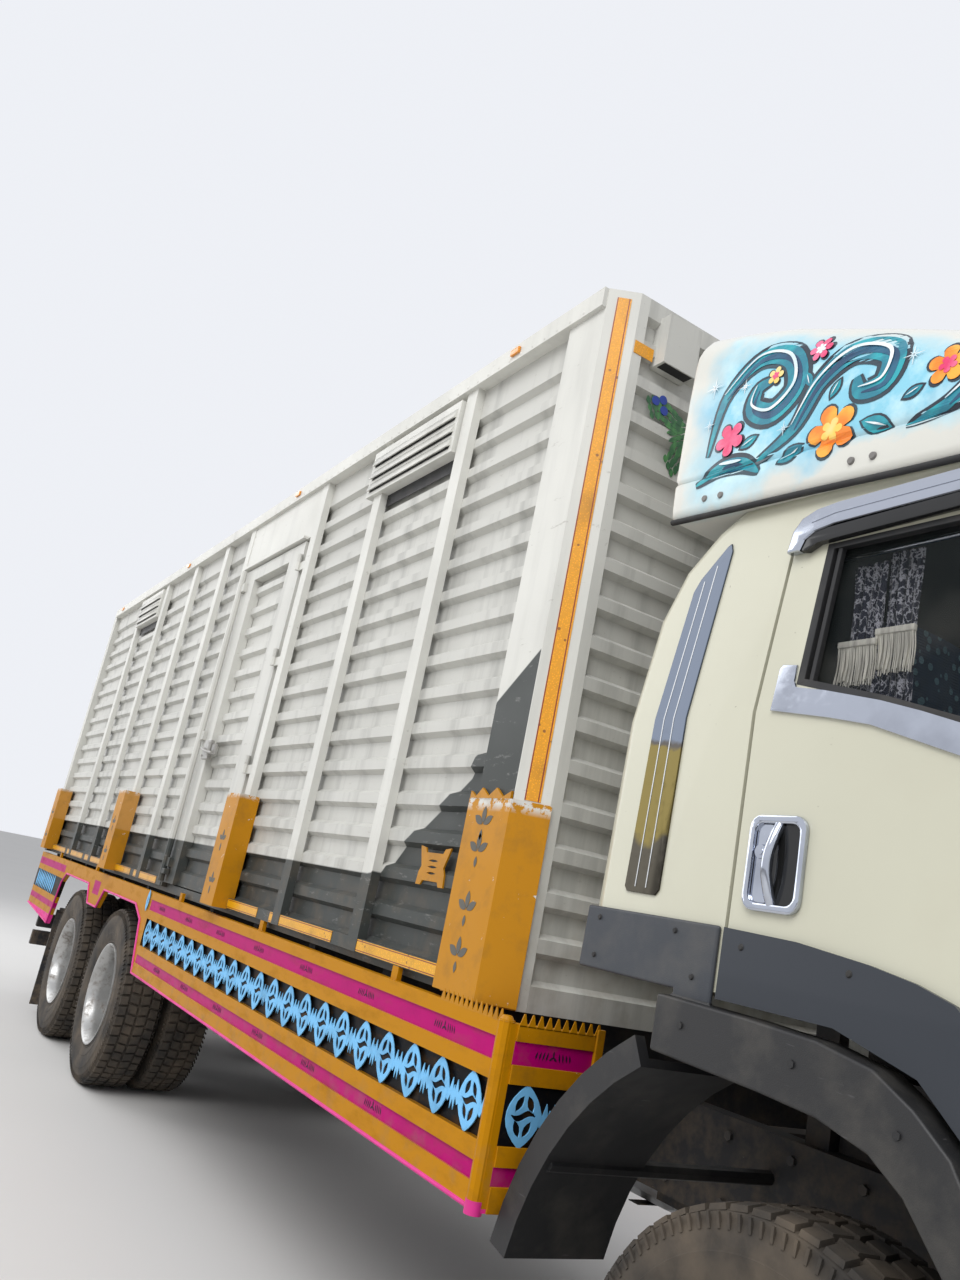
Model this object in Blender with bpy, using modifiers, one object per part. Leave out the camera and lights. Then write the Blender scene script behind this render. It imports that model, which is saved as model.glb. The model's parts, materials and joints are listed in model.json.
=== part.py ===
"""A decorated box truck with two rear axles, built from its real pieces.

Units are metres and +Z is up. The origin is on the ground under the middle of
the truck, +X is the front, and the truck's right side is at -Y.
"""

import math

import bmesh
import bpy
from mathutils import Matrix, Vector

# Driving dimensions
LENGTH = 9.91
FRONT_OVERHANG = 1.28
WHEELBASE = 5.35
BOGIE_SPREAD = 1.37
SEAT_GAP = 0.0003
WELD_LAP = 0.004
RUNNING_GAP = 0.006
OVERRUN = 0.05
WELD_DISTANCE = 0.00001

# Tyres and rims, 11R22.5
TYRE_RADIUS = 0.522
TYRE_WIDTH = 0.279
BEAD_RADIUS = 0.286
BEAD_WIDTH = 0.23
FLANGE_RADIUS = 0.2985
FLANGE_THICKNESS = 0.014
RIM_THICKNESS = 0.016
WAIST_THICKNESS = 0.012
WHEEL_STEPS = 20
FRONT_TYRE_Y = 1.06
TWIN_OUTER_Y = 1.08
TWIN_INNER_Y = 0.77
DISC_THICKNESS = 0.03
HUB_RADIUS = 0.11
HUB_CAP_RADIUS = 0.088
HUB_PROUD = 0.075
DISC_SHOULDER_RADIUS = 0.22
FRONT_HUB_LENGTH = 0.2
TWIN_HUB_LENGTH = 0.46

# Chassis
RAIL_OUTER_Y = 0.425
RAIL_FLANGE = 0.08
RAIL_WEB = 0.012
RAIL_BOTTOM_Z = 0.75
RAIL_TOP_Z = 1.03
RAIL_REAR_INSET = 0.11
CROSSMEMBER_LENGTH = 0.08
CROSSMEMBER_HEIGHT = 0.12
AXLE_TUBE_RADIUS = 0.07
BANJO_RADIUS = 0.19
BANJO_HALF_WIDTH = 0.228
SPRING_SEAT = 0.063
SPRING_WIDTH = 0.07
SPRING_THICKNESS = 0.07
SPRING_Y = 0.385
KINGPIN_Y = 0.9
KINGPIN_BOSS_RADIUS = 0.05
KINGPIN_BOSS_HEIGHT = 0.16
KNUCKLE_EAR = 0.04
KNUCKLE_SPINE = 0.03
EAR_ARM_HALF_WIDTH = 0.04
BEAM_WIDTH = 0.09
BEAM_HEIGHT = 0.1
BEAM_DROP = 0.09
BEAM_END_HEIGHT = 0.08

# Bumper and guards
BUMPER_DEPTH = 0.245
BUMPER_HALF_WIDTH = 1.22
BUMPER_BOTTOM_Z = 0.42
BUMPER_TOP_Z = 0.9
BUMPER_CORNER = 0.1
MUDGUARD_RADIUS = 0.79
MUDGUARD_THICKNESS = 0.02
MUDGUARD_LIP = 0.07
MUDGUARD_INNER_Y = 0.9
MUDGUARD_OUTER_Y = 1.2

# Cab
CAB_HALF_WIDTH = 1.2
CAB_WALL = 0.05
CAB_BACK_SETBACK = 0.68
CAB_NOSE_REACH = 1.23
CAB_BELT_Z = 2.0
CAB_ROOF_Z = 2.6
CAB_FLOOR_Z = 1.38
CAB_SILL_Z = 1.0
CAB_LEAN = 0.12
DOOR_GAP = 0.01
GLASS_THICKNESS = 0.008
TILT_PIVOT_REACH = 1.15
TILT_PIVOT_Z = 0.955
PIVOT_RADIUS = 0.034
FAIRING_HALF_WIDTH = 1.15

# Box body
BOX_SETBACK = 1.05
CHAMFER_LENGTH = 0.06
CHAMFER_WIDTH = 0.09
REAR_FITTINGS = 0.045
BOX_BOTTOM_Z = 1.215
BOX_TOP_Z = 3.5
ROOF_RAIL_HEIGHT = 0.07
ROOF_RAIL_Y = 1.262
SHEET_Y = 1.21
SHEET_THICKNESS = 0.045
RIB_PITCH = 0.1285
RIB_DEPTH = 0.025
POST_Y = 1.245
POST_WIDTH = 0.08
CORNER_POST_LENGTH = 0.2
SIDE_DOOR_LENGTH = 0.965
SIDE_DOOR_HEIGHT = 1.87
SIDE_DOOR_STILE = 0.2
REAR_POST_LENGTH = 0.1
REAR_POST_WIDTH = 0.13
REAR_DOOR_THICKNESS = 0.045
FLOOR_THICKNESS = 0.045
RUNNER_HEIGHT = 0.1
BEARER_HEIGHT = 0.085
BEARER_WIDTH = 0.06
BEARER_COUNT = 12
BEARER_HALF_WIDTH = 1.15

# Side guards
GUARD_Y = 1.25
GUARD_THICKNESS = 0.03
GUARD_TOP_Z = 1.198
GUARD_BOTTOM_Z = 0.75

# Derived places, right side at -1 and left side at +1
RIGHT, LEFT = -1, 1
SIDES = (("right", RIGHT), ("left", LEFT))
FRONT_X = LENGTH / 2
REAR_X = -LENGTH / 2
FRONT_AXLE_X = FRONT_X - FRONT_OVERHANG
REAR_AXLE_XS = (FRONT_AXLE_X - WHEELBASE, FRONT_AXLE_X - WHEELBASE - BOGIE_SPREAD)
WHEEL_Z = TYRE_RADIUS * math.cos(math.pi / WHEEL_STEPS)
CAB_BACK_X = FRONT_AXLE_X - CAB_BACK_SETBACK
CAB_NOSE_X = FRONT_AXLE_X + CAB_NOSE_REACH
BOX_FRONT_X = FRONT_AXLE_X - BOX_SETBACK
BOX_NOSE_X = BOX_FRONT_X + CHAMFER_LENGTH
BOX_REAR_X = REAR_X + REAR_FITTINGS

PARTS = "decorated_truck"
HELPERS = "helpers"

# colour (linear), roughness, metallic
PAINTS = {
    "cream": ((0.62, 0.59, 0.46, 1), 0.25, 0),
    "white": ((0.6, 0.6, 0.56, 1), 0.45, 0),
    "grey": ((0.05, 0.05, 0.052, 1), 0.5, 0),
    "ochre": ((0.5, 0.22, 0.01, 1), 0.4, 0),
    "black": ((0.012, 0.012, 0.013, 1), 0.6, 0),
    "tyre": ((0.02, 0.018, 0.016, 1), 0.9, 0),
    "silver": ((0.45, 0.45, 0.44, 1), 0.4, 0.8),
    "chrome": ((0.7, 0.7, 0.7, 1), 0.1, 1),
    "glass": ((0.1, 0.13, 0.14, 1), 0.05, 0),
    "cloth": ((0.06, 0.08, 0.16, 1), 0.9, 0),
}


def clear_scene():
    for item in list(bpy.data.objects):
        bpy.data.objects.remove(item, do_unlink=True)


def collection(name, parent=None):
    found = bpy.data.collections.get(name)
    if found is None:
        found = bpy.data.collections.new(name)
        (parent or bpy.context.scene.collection).children.link(found)
    return found


def painted(name, paint):
    colour, roughness, metallic = PAINTS[paint]
    material = bpy.data.materials.new(name)
    material.use_nodes = True
    shader = material.node_tree.nodes["Principled BSDF"]
    shader.inputs["Base Color"].default_value = colour
    shader.inputs["Roughness"].default_value = roughness
    shader.inputs["Metallic"].default_value = metallic
    material.diffuse_color = colour
    return material


def add(name, mesh):
    """A helper object, hidden from render until it becomes a node."""
    thing = bpy.data.objects.new(name, mesh)
    collection(HELPERS).objects.link(thing)
    thing.hide_render = True
    thing.display_type = "WIRE"
    return thing


def node(thing, name, paint, origin=None, smooth=None):
    """Make a helper a named node with its own material and origin."""
    thing.name = name
    collection(HELPERS).objects.unlink(thing)
    collection(PARTS).objects.link(thing)
    thing.hide_render = False
    thing.display_type = "TEXTURED"
    thing.data.materials.clear()
    thing.data.materials.append(painted(name, paint))
    if smooth:
        thing.data.shade_smooth()
        thing.data.set_sharp_from_angle(angle=smooth)
    if origin is not None:
        thing.data.transform(Matrix.Translation(-Vector(origin)))
        thing.location = origin
    return thing


def block(name, xs, ys, zs):
    """A box between two places along each axis."""
    shape = bmesh.new()
    bmesh.ops.create_cube(shape, size=1)
    size = [abs(span[1] - span[0]) for span in (xs, ys, zs)]
    middle = [(span[0] + span[1]) / 2 for span in (xs, ys, zs)]
    shape.transform(Matrix.Translation(middle) @ Matrix.Diagonal((*size, 1)))
    mesh = bpy.data.meshes.new(name)
    shape.to_mesh(mesh)
    shape.free()
    return add(name, mesh)


def rod(name, start, end, radius, sides=12, turn=0):
    """A solid cylinder from start to end."""
    start, end = Vector(start), Vector(end)
    along = end - start
    shape = bmesh.new()
    bmesh.ops.create_cone(
        shape, cap_ends=True, segments=sides, radius1=radius, radius2=radius, depth=along.length
    )
    facing = along.to_track_quat("Z", "Y").to_matrix().to_4x4()
    spin = Matrix.Rotation(turn, 4, "Z")
    shape.transform(Matrix.Translation((start + end) / 2) @ facing @ spin)
    mesh = bpy.data.meshes.new(name)
    shape.to_mesh(mesh)
    shape.free()
    return add(name, mesh)


# local x, y and z of a drawing seen on each plane
PLANES = {
    "XZ": Matrix(((1, 0, 0, 0), (0, 0, -1, 0), (0, 1, 0, 0), (0, 0, 0, 1))),
    "YZ": Matrix(((0, 0, 1, 0), (1, 0, 0, 0), (0, 1, 0, 0), (0, 0, 0, 1))),
    "XY": Matrix.Identity(4),
}
NORMALS = {"XZ": Vector((0, 1, 0)), "YZ": Vector((1, 0, 0)), "XY": Vector((0, 0, 1))}


def meshed(thing, name):
    """Turn a curve object into a mesh helper with its caps welded on."""
    bpy.context.view_layer.update()
    graph = bpy.context.evaluated_depsgraph_get()
    mesh = bpy.data.meshes.new_from_object(thing.evaluated_get(graph))
    mesh.transform(thing.matrix_world)
    shape = bmesh.new()
    shape.from_mesh(mesh)
    bmesh.ops.remove_doubles(shape, verts=shape.verts, dist=WELD_DISTANCE)
    bmesh.ops.recalc_face_normals(shape, faces=shape.faces)
    shape.to_mesh(mesh)
    shape.free()
    bpy.data.objects.remove(thing, do_unlink=True)
    return add(name, mesh)


def slab(name, points, plane, near, far):
    """A closed outline on a plane, made solid between two places along its normal."""
    drawing = bpy.data.curves.new(name, "CURVE")
    drawing.dimensions = "2D"
    drawing.fill_mode = "BOTH"
    drawing.extrude = abs(far - near) / 2
    line = drawing.splines.new("POLY")
    line.points.add(len(points) - 1)
    for place, (across, up) in zip(line.points, points):
        place.co = (across, up, 0, 1)
    line.use_cyclic_u = True
    thing = bpy.data.objects.new(name, drawing)
    collection(HELPERS).objects.link(thing)
    thing.matrix_world = Matrix.Translation(NORMALS[plane] * (near + far) / 2) @ PLANES[plane]
    return meshed(thing, name)


def tube(name, points, radius, sides=2):
    """A bent rod along points, with filled ends."""
    drawing = bpy.data.curves.new(name, "CURVE")
    drawing.dimensions = "3D"
    drawing.bevel_depth = radius
    drawing.bevel_resolution = sides
    drawing.use_fill_caps = True
    line = drawing.splines.new("POLY")
    line.points.add(len(points) - 1)
    for place, point in zip(line.points, points):
        place.co = (*point, 1)
    thing = bpy.data.objects.new(name, drawing)
    collection(HELPERS).objects.link(thing)
    return meshed(thing, name)


def turned(name, profile, steps, centre, side=LEFT):
    """Turn (radius, reach) points about the truck's Y axis through centre."""
    mesh = bpy.data.meshes.new(name)
    points = [(radius, reach * side, 0) for radius, reach in profile]
    closed = profile[0][0] > 0
    count = len(points)
    edges = [(i, (i + 1) % count) for i in range(count if closed else count - 1)]
    mesh.from_pydata(points, edges, [])
    thing = add(name, mesh)
    screw = thing.modifiers.new("turn", "SCREW")
    screw.axis = "Y"
    screw.steps = steps
    screw.render_steps = steps
    screw.use_merge_vertices = True
    screw.merge_threshold = WELD_DISTANCE
    screw.use_normal_flip = side == LEFT
    thing.location = centre
    return thing


def grouped(pieces, name):
    group = bpy.data.collections.new(name)
    collection(HELPERS).children.link(group)
    for piece in pieces:
        for owner in list(piece.users_collection):
            owner.objects.unlink(piece)
        group.objects.link(piece)
    return group


def boolean(thing, pieces, operation):
    if not pieces:
        return thing
    cut = thing.modifiers.new(operation.lower(), "BOOLEAN")
    cut.operation = operation
    cut.operand_type = "COLLECTION"
    cut.solver = "EXACT"
    cut.collection = grouped(pieces, f"{thing.name} {operation.lower()} {len(thing.modifiers)}")
    return thing


def fuse(thing, pieces):
    return boolean(thing, pieces, "UNION")


def carve(thing, pieces):
    return boolean(thing, pieces, "DIFFERENCE")


def bevel(thing, width, segments=2, angle=math.radians(40)):
    soft = thing.modifiers.new("rounded", "BEVEL")
    soft.width = width
    soft.segments = segments
    soft.limit_method = "ANGLE"
    soft.angle_limit = angle
    return thing


def span(side, inner, outer):
    """Y places of something between two distances from the middle, on one side."""
    return tuple(sorted((side * inner, side * outer)))


def arc(centre, radius, start, end, steps):
    """Points on an arc in degrees, from start to end."""
    points = []
    for i in range(steps + 1):
        angle = math.radians(start + (end - start) * i / steps)
        points.append((centre[0] + radius * math.cos(angle), centre[1] + radius * math.sin(angle)))
    return points


# Hinges: a barrel round the joint's axis with a leaf on the door and one on its frame
HINGE_RADIUS = 0.013
HINGE_BARREL = 0.045
HINGE_LEAF_LENGTH = 0.07
HINGE_LEAF_THICKNESS = 0.006
HINGE_WELD_START = 0.042
HINGE_SIDES = 8


def hinge(edge, face, z, outward, inward):
    """The door's piece and the frame's piece of one hinge.

    edge and face are the place of the joint's axis along the door and its skin's place
    across it. outward and inward name an axis and a sign: out of the skin, and into the door.
    """
    (out_axis, out_sign), (in_axis, in_sign) = outward, inward
    centre = [0, 0, 0]
    centre[in_axis] = edge
    centre[out_axis] = face + out_sign * (HINGE_RADIUS + SEAT_GAP)
    made = []
    for lift, leaf_sign in ((SEAT_GAP / 2, in_sign), (-SEAT_GAP / 2 - HINGE_BARREL, -in_sign)):
        low, high = z + lift, z + lift + HINGE_BARREL
        foot, head = Vector(centre), Vector(centre)
        foot.z, head.z = low, high
        barrel = rod("hinge barrel", foot, head, HINGE_RADIUS, HINGE_SIDES)
        leaf, weld = [None, None, (low, high)], [None, None, (low + WELD_LAP, high - WELD_LAP)]
        end = edge + leaf_sign * HINGE_LEAF_LENGTH
        leaf[in_axis] = span(1, edge, end)
        weld[in_axis] = span(1, edge + leaf_sign * HINGE_WELD_START, end - leaf_sign * WELD_LAP)
        leaf[out_axis] = span(1, face + out_sign * SEAT_GAP, face + out_sign * HINGE_LEAF_THICKNESS)
        weld[out_axis] = span(1, face - out_sign * WELD_LAP, face + out_sign * WELD_LAP)
        made.append([barrel, block("hinge leaf", *leaf), block("hinge weld", *weld)])
    return made


# Chassis: crossmember places from the rails' front end, as shares of their length
CROSSMEMBER_SHARES = (0.0042, 0.2041, 0.3454, 0.4814, 0.6018, 0.7389, 0.8687, 0.9901)
CROSSMEMBER_BOTTOM_Z = 0.87
CROSSMEMBER_LAP = 0.006
CAB_REST_REACH = 0.06
CAB_REST_SIZE = 0.08
PIVOT_EAR_WIDTH = 0.06
UNDERRUN_HEIGHT = 0.12
UNDERRUN_DEPTH = 0.06
UNDERRUN_Z = 0.47
UNDERRUN_HALF_WIDTH = 1.15
UNDERRUN_HANGER = 0.06
FLAP_REACH = 0.72
FLAP_THICKNESS = 0.015
FLAP_BOTTOM_Z = 0.08
FLAP_TOP_Z = 0.72
FLAP_HOLDER_RADIUS = 0.02
RAIL_FRONT_X = FRONT_X - BUMPER_DEPTH - SEAT_GAP
RAIL_REAR_X = REAR_X + RAIL_REAR_INSET
TILT_PIVOT_X = FRONT_AXLE_X + TILT_PIVOT_REACH


def rail_outline(side):
    """The channel section of one rail, open towards the middle."""
    outer, inner = RAIL_OUTER_Y * side, (RAIL_OUTER_Y - RAIL_FLANGE) * side
    web = (RAIL_OUTER_Y - RAIL_WEB) * side
    low, high = RAIL_BOTTOM_Z + RAIL_WEB, RAIL_TOP_Z - RAIL_WEB
    return (
        (outer, RAIL_BOTTOM_Z), (outer, RAIL_TOP_Z), (inner, RAIL_TOP_Z), (inner, high),
        (web, high), (web, low), (inner, low), (inner, RAIL_BOTTOM_Z),
    )


def chassis_frame():
    frame = slab("rail right", rail_outline(RIGHT), "YZ", RAIL_REAR_X, RAIL_FRONT_X)
    pieces = [slab("rail left", rail_outline(LEFT), "YZ", RAIL_REAR_X, RAIL_FRONT_X)]
    reach_y = RAIL_OUTER_Y - CROSSMEMBER_LAP
    for share in CROSSMEMBER_SHARES:
        front = RAIL_FRONT_X - (RAIL_FRONT_X - RAIL_REAR_X) * share
        pieces.append(block(
            "crossmember", (front - CROSSMEMBER_LENGTH, front), (-reach_y, reach_y),
            (CROSSMEMBER_BOTTOM_Z, CROSSMEMBER_BOTTOM_Z + CROSSMEMBER_HEIGHT),
        ))
    flap_x = REAR_AXLE_XS[-1] - FLAP_REACH
    hanger_top = RAIL_BOTTOM_Z + RAIL_WEB / 2
    for _, side in SIDES:
        inner = RAIL_OUTER_Y - RAIL_FLANGE
        rest_x = CAB_BACK_X + CAB_REST_REACH
        pieces.append(block(
            "cab rest", (rest_x, rest_x + CAB_REST_SIZE), span(side, inner, inner + CAB_REST_SIZE / 2),
            (RAIL_TOP_Z - RAIL_WEB / 2, CAB_FLOOR_Z - SEAT_GAP),
        ))
        ear = span(side, RAIL_OUTER_Y - RAIL_WEB / 2, RAIL_OUTER_Y - PIVOT_EAR_WIDTH)
        pieces.append(rod(
            "pivot ear", (TILT_PIVOT_X, ear[0], TILT_PIVOT_Z), (TILT_PIVOT_X, ear[1], TILT_PIVOT_Z),
            PIVOT_RADIUS, WHEEL_STEPS,
        ))
        pieces.append(block(
            "pivot arm", (RAIL_FRONT_X - OVERRUN, TILT_PIVOT_X), ear,
            (TILT_PIVOT_Z - PIVOT_RADIUS / 2, TILT_PIVOT_Z + PIVOT_RADIUS / 2),
        ))
        pieces.append(block(
            "underrun hanger", (RAIL_REAR_X, RAIL_REAR_X + UNDERRUN_HANGER),
            span(side, inner, RAIL_OUTER_Y), (UNDERRUN_Z, hanger_top),
        ))
        pieces.append(rod(
            "flap holder", (flap_x, side * (RAIL_OUTER_Y - RAIL_WEB / 2), hanger_top + OVERRUN),
            (flap_x, side * (MUDGUARD_OUTER_Y - FLAP_HOLDER_RADIUS), hanger_top + OVERRUN),
            FLAP_HOLDER_RADIUS, 8,
        ))
        pieces.append(block(
            "mudflap", (flap_x - FLAP_THICKNESS, flap_x),
            span(side, TWIN_INNER_Y - TYRE_WIDTH / 2, MUDGUARD_OUTER_Y),
            (FLAP_BOTTOM_Z, hanger_top + OVERRUN),
        ))
    pieces.append(block(
        "underrun bar", (RAIL_REAR_X - UNDERRUN_DEPTH / 2, RAIL_REAR_X + UNDERRUN_DEPTH / 2),
        (-UNDERRUN_HALF_WIDTH, UNDERRUN_HALF_WIDTH), (UNDERRUN_Z - UNDERRUN_HEIGHT / 2,
                                                     UNDERRUN_Z + UNDERRUN_HEIGHT / 2),
    ))
    node(fuse(frame, pieces), "chassis_frame", "black")


# Springs: half length, and how far their ends rise over the axle
SPRING_HALF_LENGTH = 0.7
SPRING_HANGER = 0.08
SPRING_SHARES = (-1, -0.6, 0, 0.6, 1)


def spring_outline(axle_x, low_z):
    """A leaf spring as a shallow bow, thickest at the axle, with hangers up to the rail."""
    high_z = RAIL_BOTTOM_Z - SEAT_GAP
    rise = high_z - low_z - SPRING_THICKNESS
    under = [(axle_x + share * SPRING_HALF_LENGTH, low_z + rise * share ** 2) for share in SPRING_SHARES]
    front, rear = under[-1][0], under[0][0]
    over = [(x, z + SPRING_THICKNESS) for x, z in reversed(under[1:-1])]
    return under + [
        (front, high_z), (front - SPRING_HANGER, high_z), *over, (rear + SPRING_HANGER, high_z),
        (rear, high_z),
    ]


def springs(axle_x, low_z):
    pieces = []
    for _, side in SIDES:
        near, far = span(side, SPRING_Y - SPRING_WIDTH / 2, SPRING_Y + SPRING_WIDTH / 2)
        pieces.append(slab("spring", spring_outline(axle_x, low_z), "XZ", near, far))
    return pieces


def front_axle():
    beam_top = WHEEL_Z - BEAM_DROP + BEAM_HEIGHT / 2
    bottom = beam_top - BEAM_HEIGHT
    reach = KINGPIN_Y - KINGPIN_BOSS_RADIUS / 2
    low_reach = RAIL_OUTER_Y + SPRING_WIDTH
    high = WHEEL_Z - KINGPIN_BOSS_HEIGHT / 4
    outline = [
        (-low_reach, bottom), (low_reach, bottom), (reach, high), (reach, high + BEAM_END_HEIGHT),
        (low_reach, beam_top), (-low_reach, beam_top), (-reach, high + BEAM_END_HEIGHT),
        (-reach, high),
    ]
    beam = slab(
        "front beam", outline, "YZ", FRONT_AXLE_X - BEAM_WIDTH / 2, FRONT_AXLE_X + BEAM_WIDTH / 2
    )
    pieces = springs(FRONT_AXLE_X, beam_top - SPRING_THICKNESS / 4)
    for _, side in SIDES:
        place = Vector((FRONT_AXLE_X, side * KINGPIN_Y, WHEEL_Z))
        half = Vector((0, 0, KINGPIN_BOSS_HEIGHT / 2))
        pieces.append(rod("kingpin boss", place - half, place + half, KINGPIN_BOSS_RADIUS, WHEEL_STEPS))
    node(fuse(beam, pieces), "front_axle", "black")


AXLE_HALF_LENGTH = 0.62
BOGIE_BEAM_HEIGHT = 0.1


def rear_bogie():
    """Both rear axle housings with their springs and the walking beams between them."""
    pieces = []
    for axle_x in REAR_AXLE_XS:
        profile = (
            (0, -AXLE_HALF_LENGTH), (AXLE_TUBE_RADIUS, -AXLE_HALF_LENGTH),
            (AXLE_TUBE_RADIUS, -BANJO_HALF_WIDTH), (BANJO_RADIUS, -BANJO_RADIUS / 2),
            (BANJO_RADIUS, BANJO_RADIUS / 2), (AXLE_TUBE_RADIUS, BANJO_HALF_WIDTH),
            (AXLE_TUBE_RADIUS, AXLE_HALF_LENGTH), (0, AXLE_HALF_LENGTH),
        )
        pieces.append(turned("axle housing", profile, 12, (axle_x, 0, WHEEL_Z)))
        pieces += springs(axle_x, WHEEL_Z + SPRING_SEAT)
    for _, side in SIDES:
        pieces.append(block(
            "walking beam", (REAR_AXLE_XS[1], REAR_AXLE_XS[0]),
            span(side, SPRING_Y - SPRING_WIDTH / 2, SPRING_Y + SPRING_WIDTH / 2),
            (WHEEL_Z - BOGIE_BEAM_HEIGHT / 2, WHEEL_Z + BOGIE_BEAM_HEIGHT / 2),
        ))
    pieces.append(rod("axle shaft", (REAR_AXLE_XS[0], 0, WHEEL_Z), (REAR_AXLE_XS[1], 0, WHEEL_Z),
                      SHAFT_RADIUS, 10))
    first = pieces.pop(0)
    node(fuse(first, pieces), "rear_bogie", "black")


ENGINE_BACK_REACH = 0.6
ENGINE_FRONT_REACH = 0.58
ENGINE_HALF_WIDTH = 0.36
ENGINE_BOTTOM_Z = 0.6
ENGINE_TOP_Z = 1.3
GEARBOX_LENGTH = 0.75
GEARBOX_HALF_WIDTH = 0.2
GEARBOX_BOTTOM_Z = 0.66
GEARBOX_TOP_Z = 0.98
SHAFT_RADIUS = 0.045
SHAFT_FRONT_Z = 0.78


def engine_block():
    """A plain block: engine with the gearbox behind it, carried between the rails."""
    back, front = FRONT_AXLE_X - ENGINE_BACK_REACH, FRONT_AXLE_X + ENGINE_FRONT_REACH
    engine = block(
        "engine", (back, front), (-ENGINE_HALF_WIDTH / 2, ENGINE_HALF_WIDTH / 2),
        (ENGINE_BOTTOM_Z, ENGINE_TOP_Z),
    )
    mount_y = RAIL_OUTER_Y - RAIL_FLANGE - SEAT_GAP
    pieces = [
        block("engine sides", (back + OVERRUN, front - OVERRUN), (-mount_y, mount_y),
              (RAIL_BOTTOM_Z + OVERRUN, ENGINE_TOP_Z - OVERRUN)),
        block("gearbox", (back - GEARBOX_LENGTH, back + OVERRUN),
              (-GEARBOX_HALF_WIDTH, GEARBOX_HALF_WIDTH), (GEARBOX_BOTTOM_Z, CROSSMEMBER_BOTTOM_Z - SEAT_GAP)),
    ]
    node(fuse(engine, pieces), "engine_block", "black")


def propeller_shaft():
    """The shaft from the gearbox down to the first rear axle, level at both ends."""
    start = FRONT_AXLE_X - ENGINE_BACK_REACH - GEARBOX_LENGTH - SEAT_GAP
    end = REAR_AXLE_XS[0] + BANJO_RADIUS + SEAT_GAP
    points = [
        (start, 0, SHAFT_FRONT_Z), (start - SHAFT_RADIUS * 2, 0, SHAFT_FRONT_Z),
        (end + SHAFT_RADIUS * 2, 0, WHEEL_Z), (end, 0, WHEEL_Z),
    ]
    node(tube("shaft", points, SHAFT_RADIUS), "propeller_shaft", "black", smooth=math.radians(30))


TANK_FRONT_REACH = 1.9
TANK_LENGTH = 1.2
TANK_WIDTH = 0.58
TANK_BOTTOM_Z = 0.42
TANK_TOP_Z = 1.0
TANK_ROUNDING = 0.1
BATTERY_FRONT_REACH = 1.6
BATTERY_LENGTH = 0.6
BATTERY_WIDTH = 0.45
BATTERY_BOTTOM_Z = 0.6
BATTERY_TOP_Z = 0.98
BATTERY_ROUNDING = 0.01


def tank_and_batteries():
    front = FRONT_AXLE_X - TANK_FRONT_REACH
    inner = RAIL_OUTER_Y + SEAT_GAP
    tank = block("tank", (front - TANK_LENGTH, front), span(LEFT, inner, inner + TANK_WIDTH),
                 (TANK_BOTTOM_Z, TANK_TOP_Z))
    node(bevel(tank, TANK_ROUNDING, 3), "fuel_tank", "silver")
    front = FRONT_AXLE_X - BATTERY_FRONT_REACH
    box = block("batteries", (front - BATTERY_LENGTH, front), span(RIGHT, inner, inner + BATTERY_WIDTH),
                (BATTERY_BOTTOM_Z, BATTERY_TOP_Z))
    node(bevel(box, BATTERY_ROUNDING, 1), "battery_box", "black")


# Tyre section: radius as a share from bead to tread, reach as a share of half the width
TYRE_SHARES = (
    (0, -0.82), (0.07, -0.82), (0.4, -1), (0.78, -1), (1, -0.76),
    (1, 0.76), (0.78, 1), (0.4, 1), (0.07, 0.82), (0, 0.82),
)


def tyre(name, axle_x, centre_y):
    depth = TYRE_RADIUS - BEAD_RADIUS
    profile = [
        (BEAD_RADIUS + depth * up, TYRE_WIDTH / 2 * across) for up, across in TYRE_SHARES
    ]
    ring = turned(name, profile, WHEEL_STEPS, (0, 0, 0))
    turn_flat(ring, WHEEL_STEPS)
    ring.location = (axle_x, centre_y, WHEEL_Z)
    node(ring, name, "tyre")
    return ring


def turn_flat(ring, steps):
    """Turn the profile by half a step, so that a flat lies at the bottom."""
    ring.data.transform(Matrix.Rotation(math.pi / steps, 4, "Y"))


def flanges(centre):
    """One rim in section, from its inner flange over the bead seats to the outer one."""
    seat = BEAD_RADIUS - SEAT_GAP
    half = BEAD_WIDTH / 2 + SEAT_GAP
    lip = half + FLANGE_THICKNESS
    return [
        (FLANGE_RADIUS, centre - lip), (FLANGE_RADIUS, centre - half), (seat, centre - half),
        (seat, centre + half), (FLANGE_RADIUS, centre + half), (FLANGE_RADIUS, centre + lip),
    ]


BARREL_RADIUS = BEAD_RADIUS - SEAT_GAP - RIM_THICKNESS
LIP_REACH = BEAD_WIDTH / 2 + SEAT_GAP + FLANGE_THICKNESS


def front_rim_profile():
    """A single wheel whose disc stands near its outer face."""
    hub_start = KINGPIN_Y + KINGPIN_BOSS_RADIUS + RUNNING_GAP + KNUCKLE_SPINE + SEAT_GAP
    hub_end = hub_start + FRONT_HUB_LENGTH
    disc = hub_end - HUB_PROUD
    return [
        (0, hub_start), (HUB_RADIUS, hub_start), (HUB_RADIUS, disc),
        (BARREL_RADIUS, disc - DISC_THICKNESS), (BARREL_RADIUS, FRONT_TYRE_Y - LIP_REACH),
        *flanges(FRONT_TYRE_Y), (BARREL_RADIUS, FRONT_TYRE_Y + LIP_REACH),
        (BARREL_RADIUS, disc), (DISC_SHOULDER_RADIUS, disc + DISC_THICKNESS / 2),
        (HUB_RADIUS, disc + DISC_THICKNESS), (HUB_CAP_RADIUS, hub_end), (0, hub_end),
    ]


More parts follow.
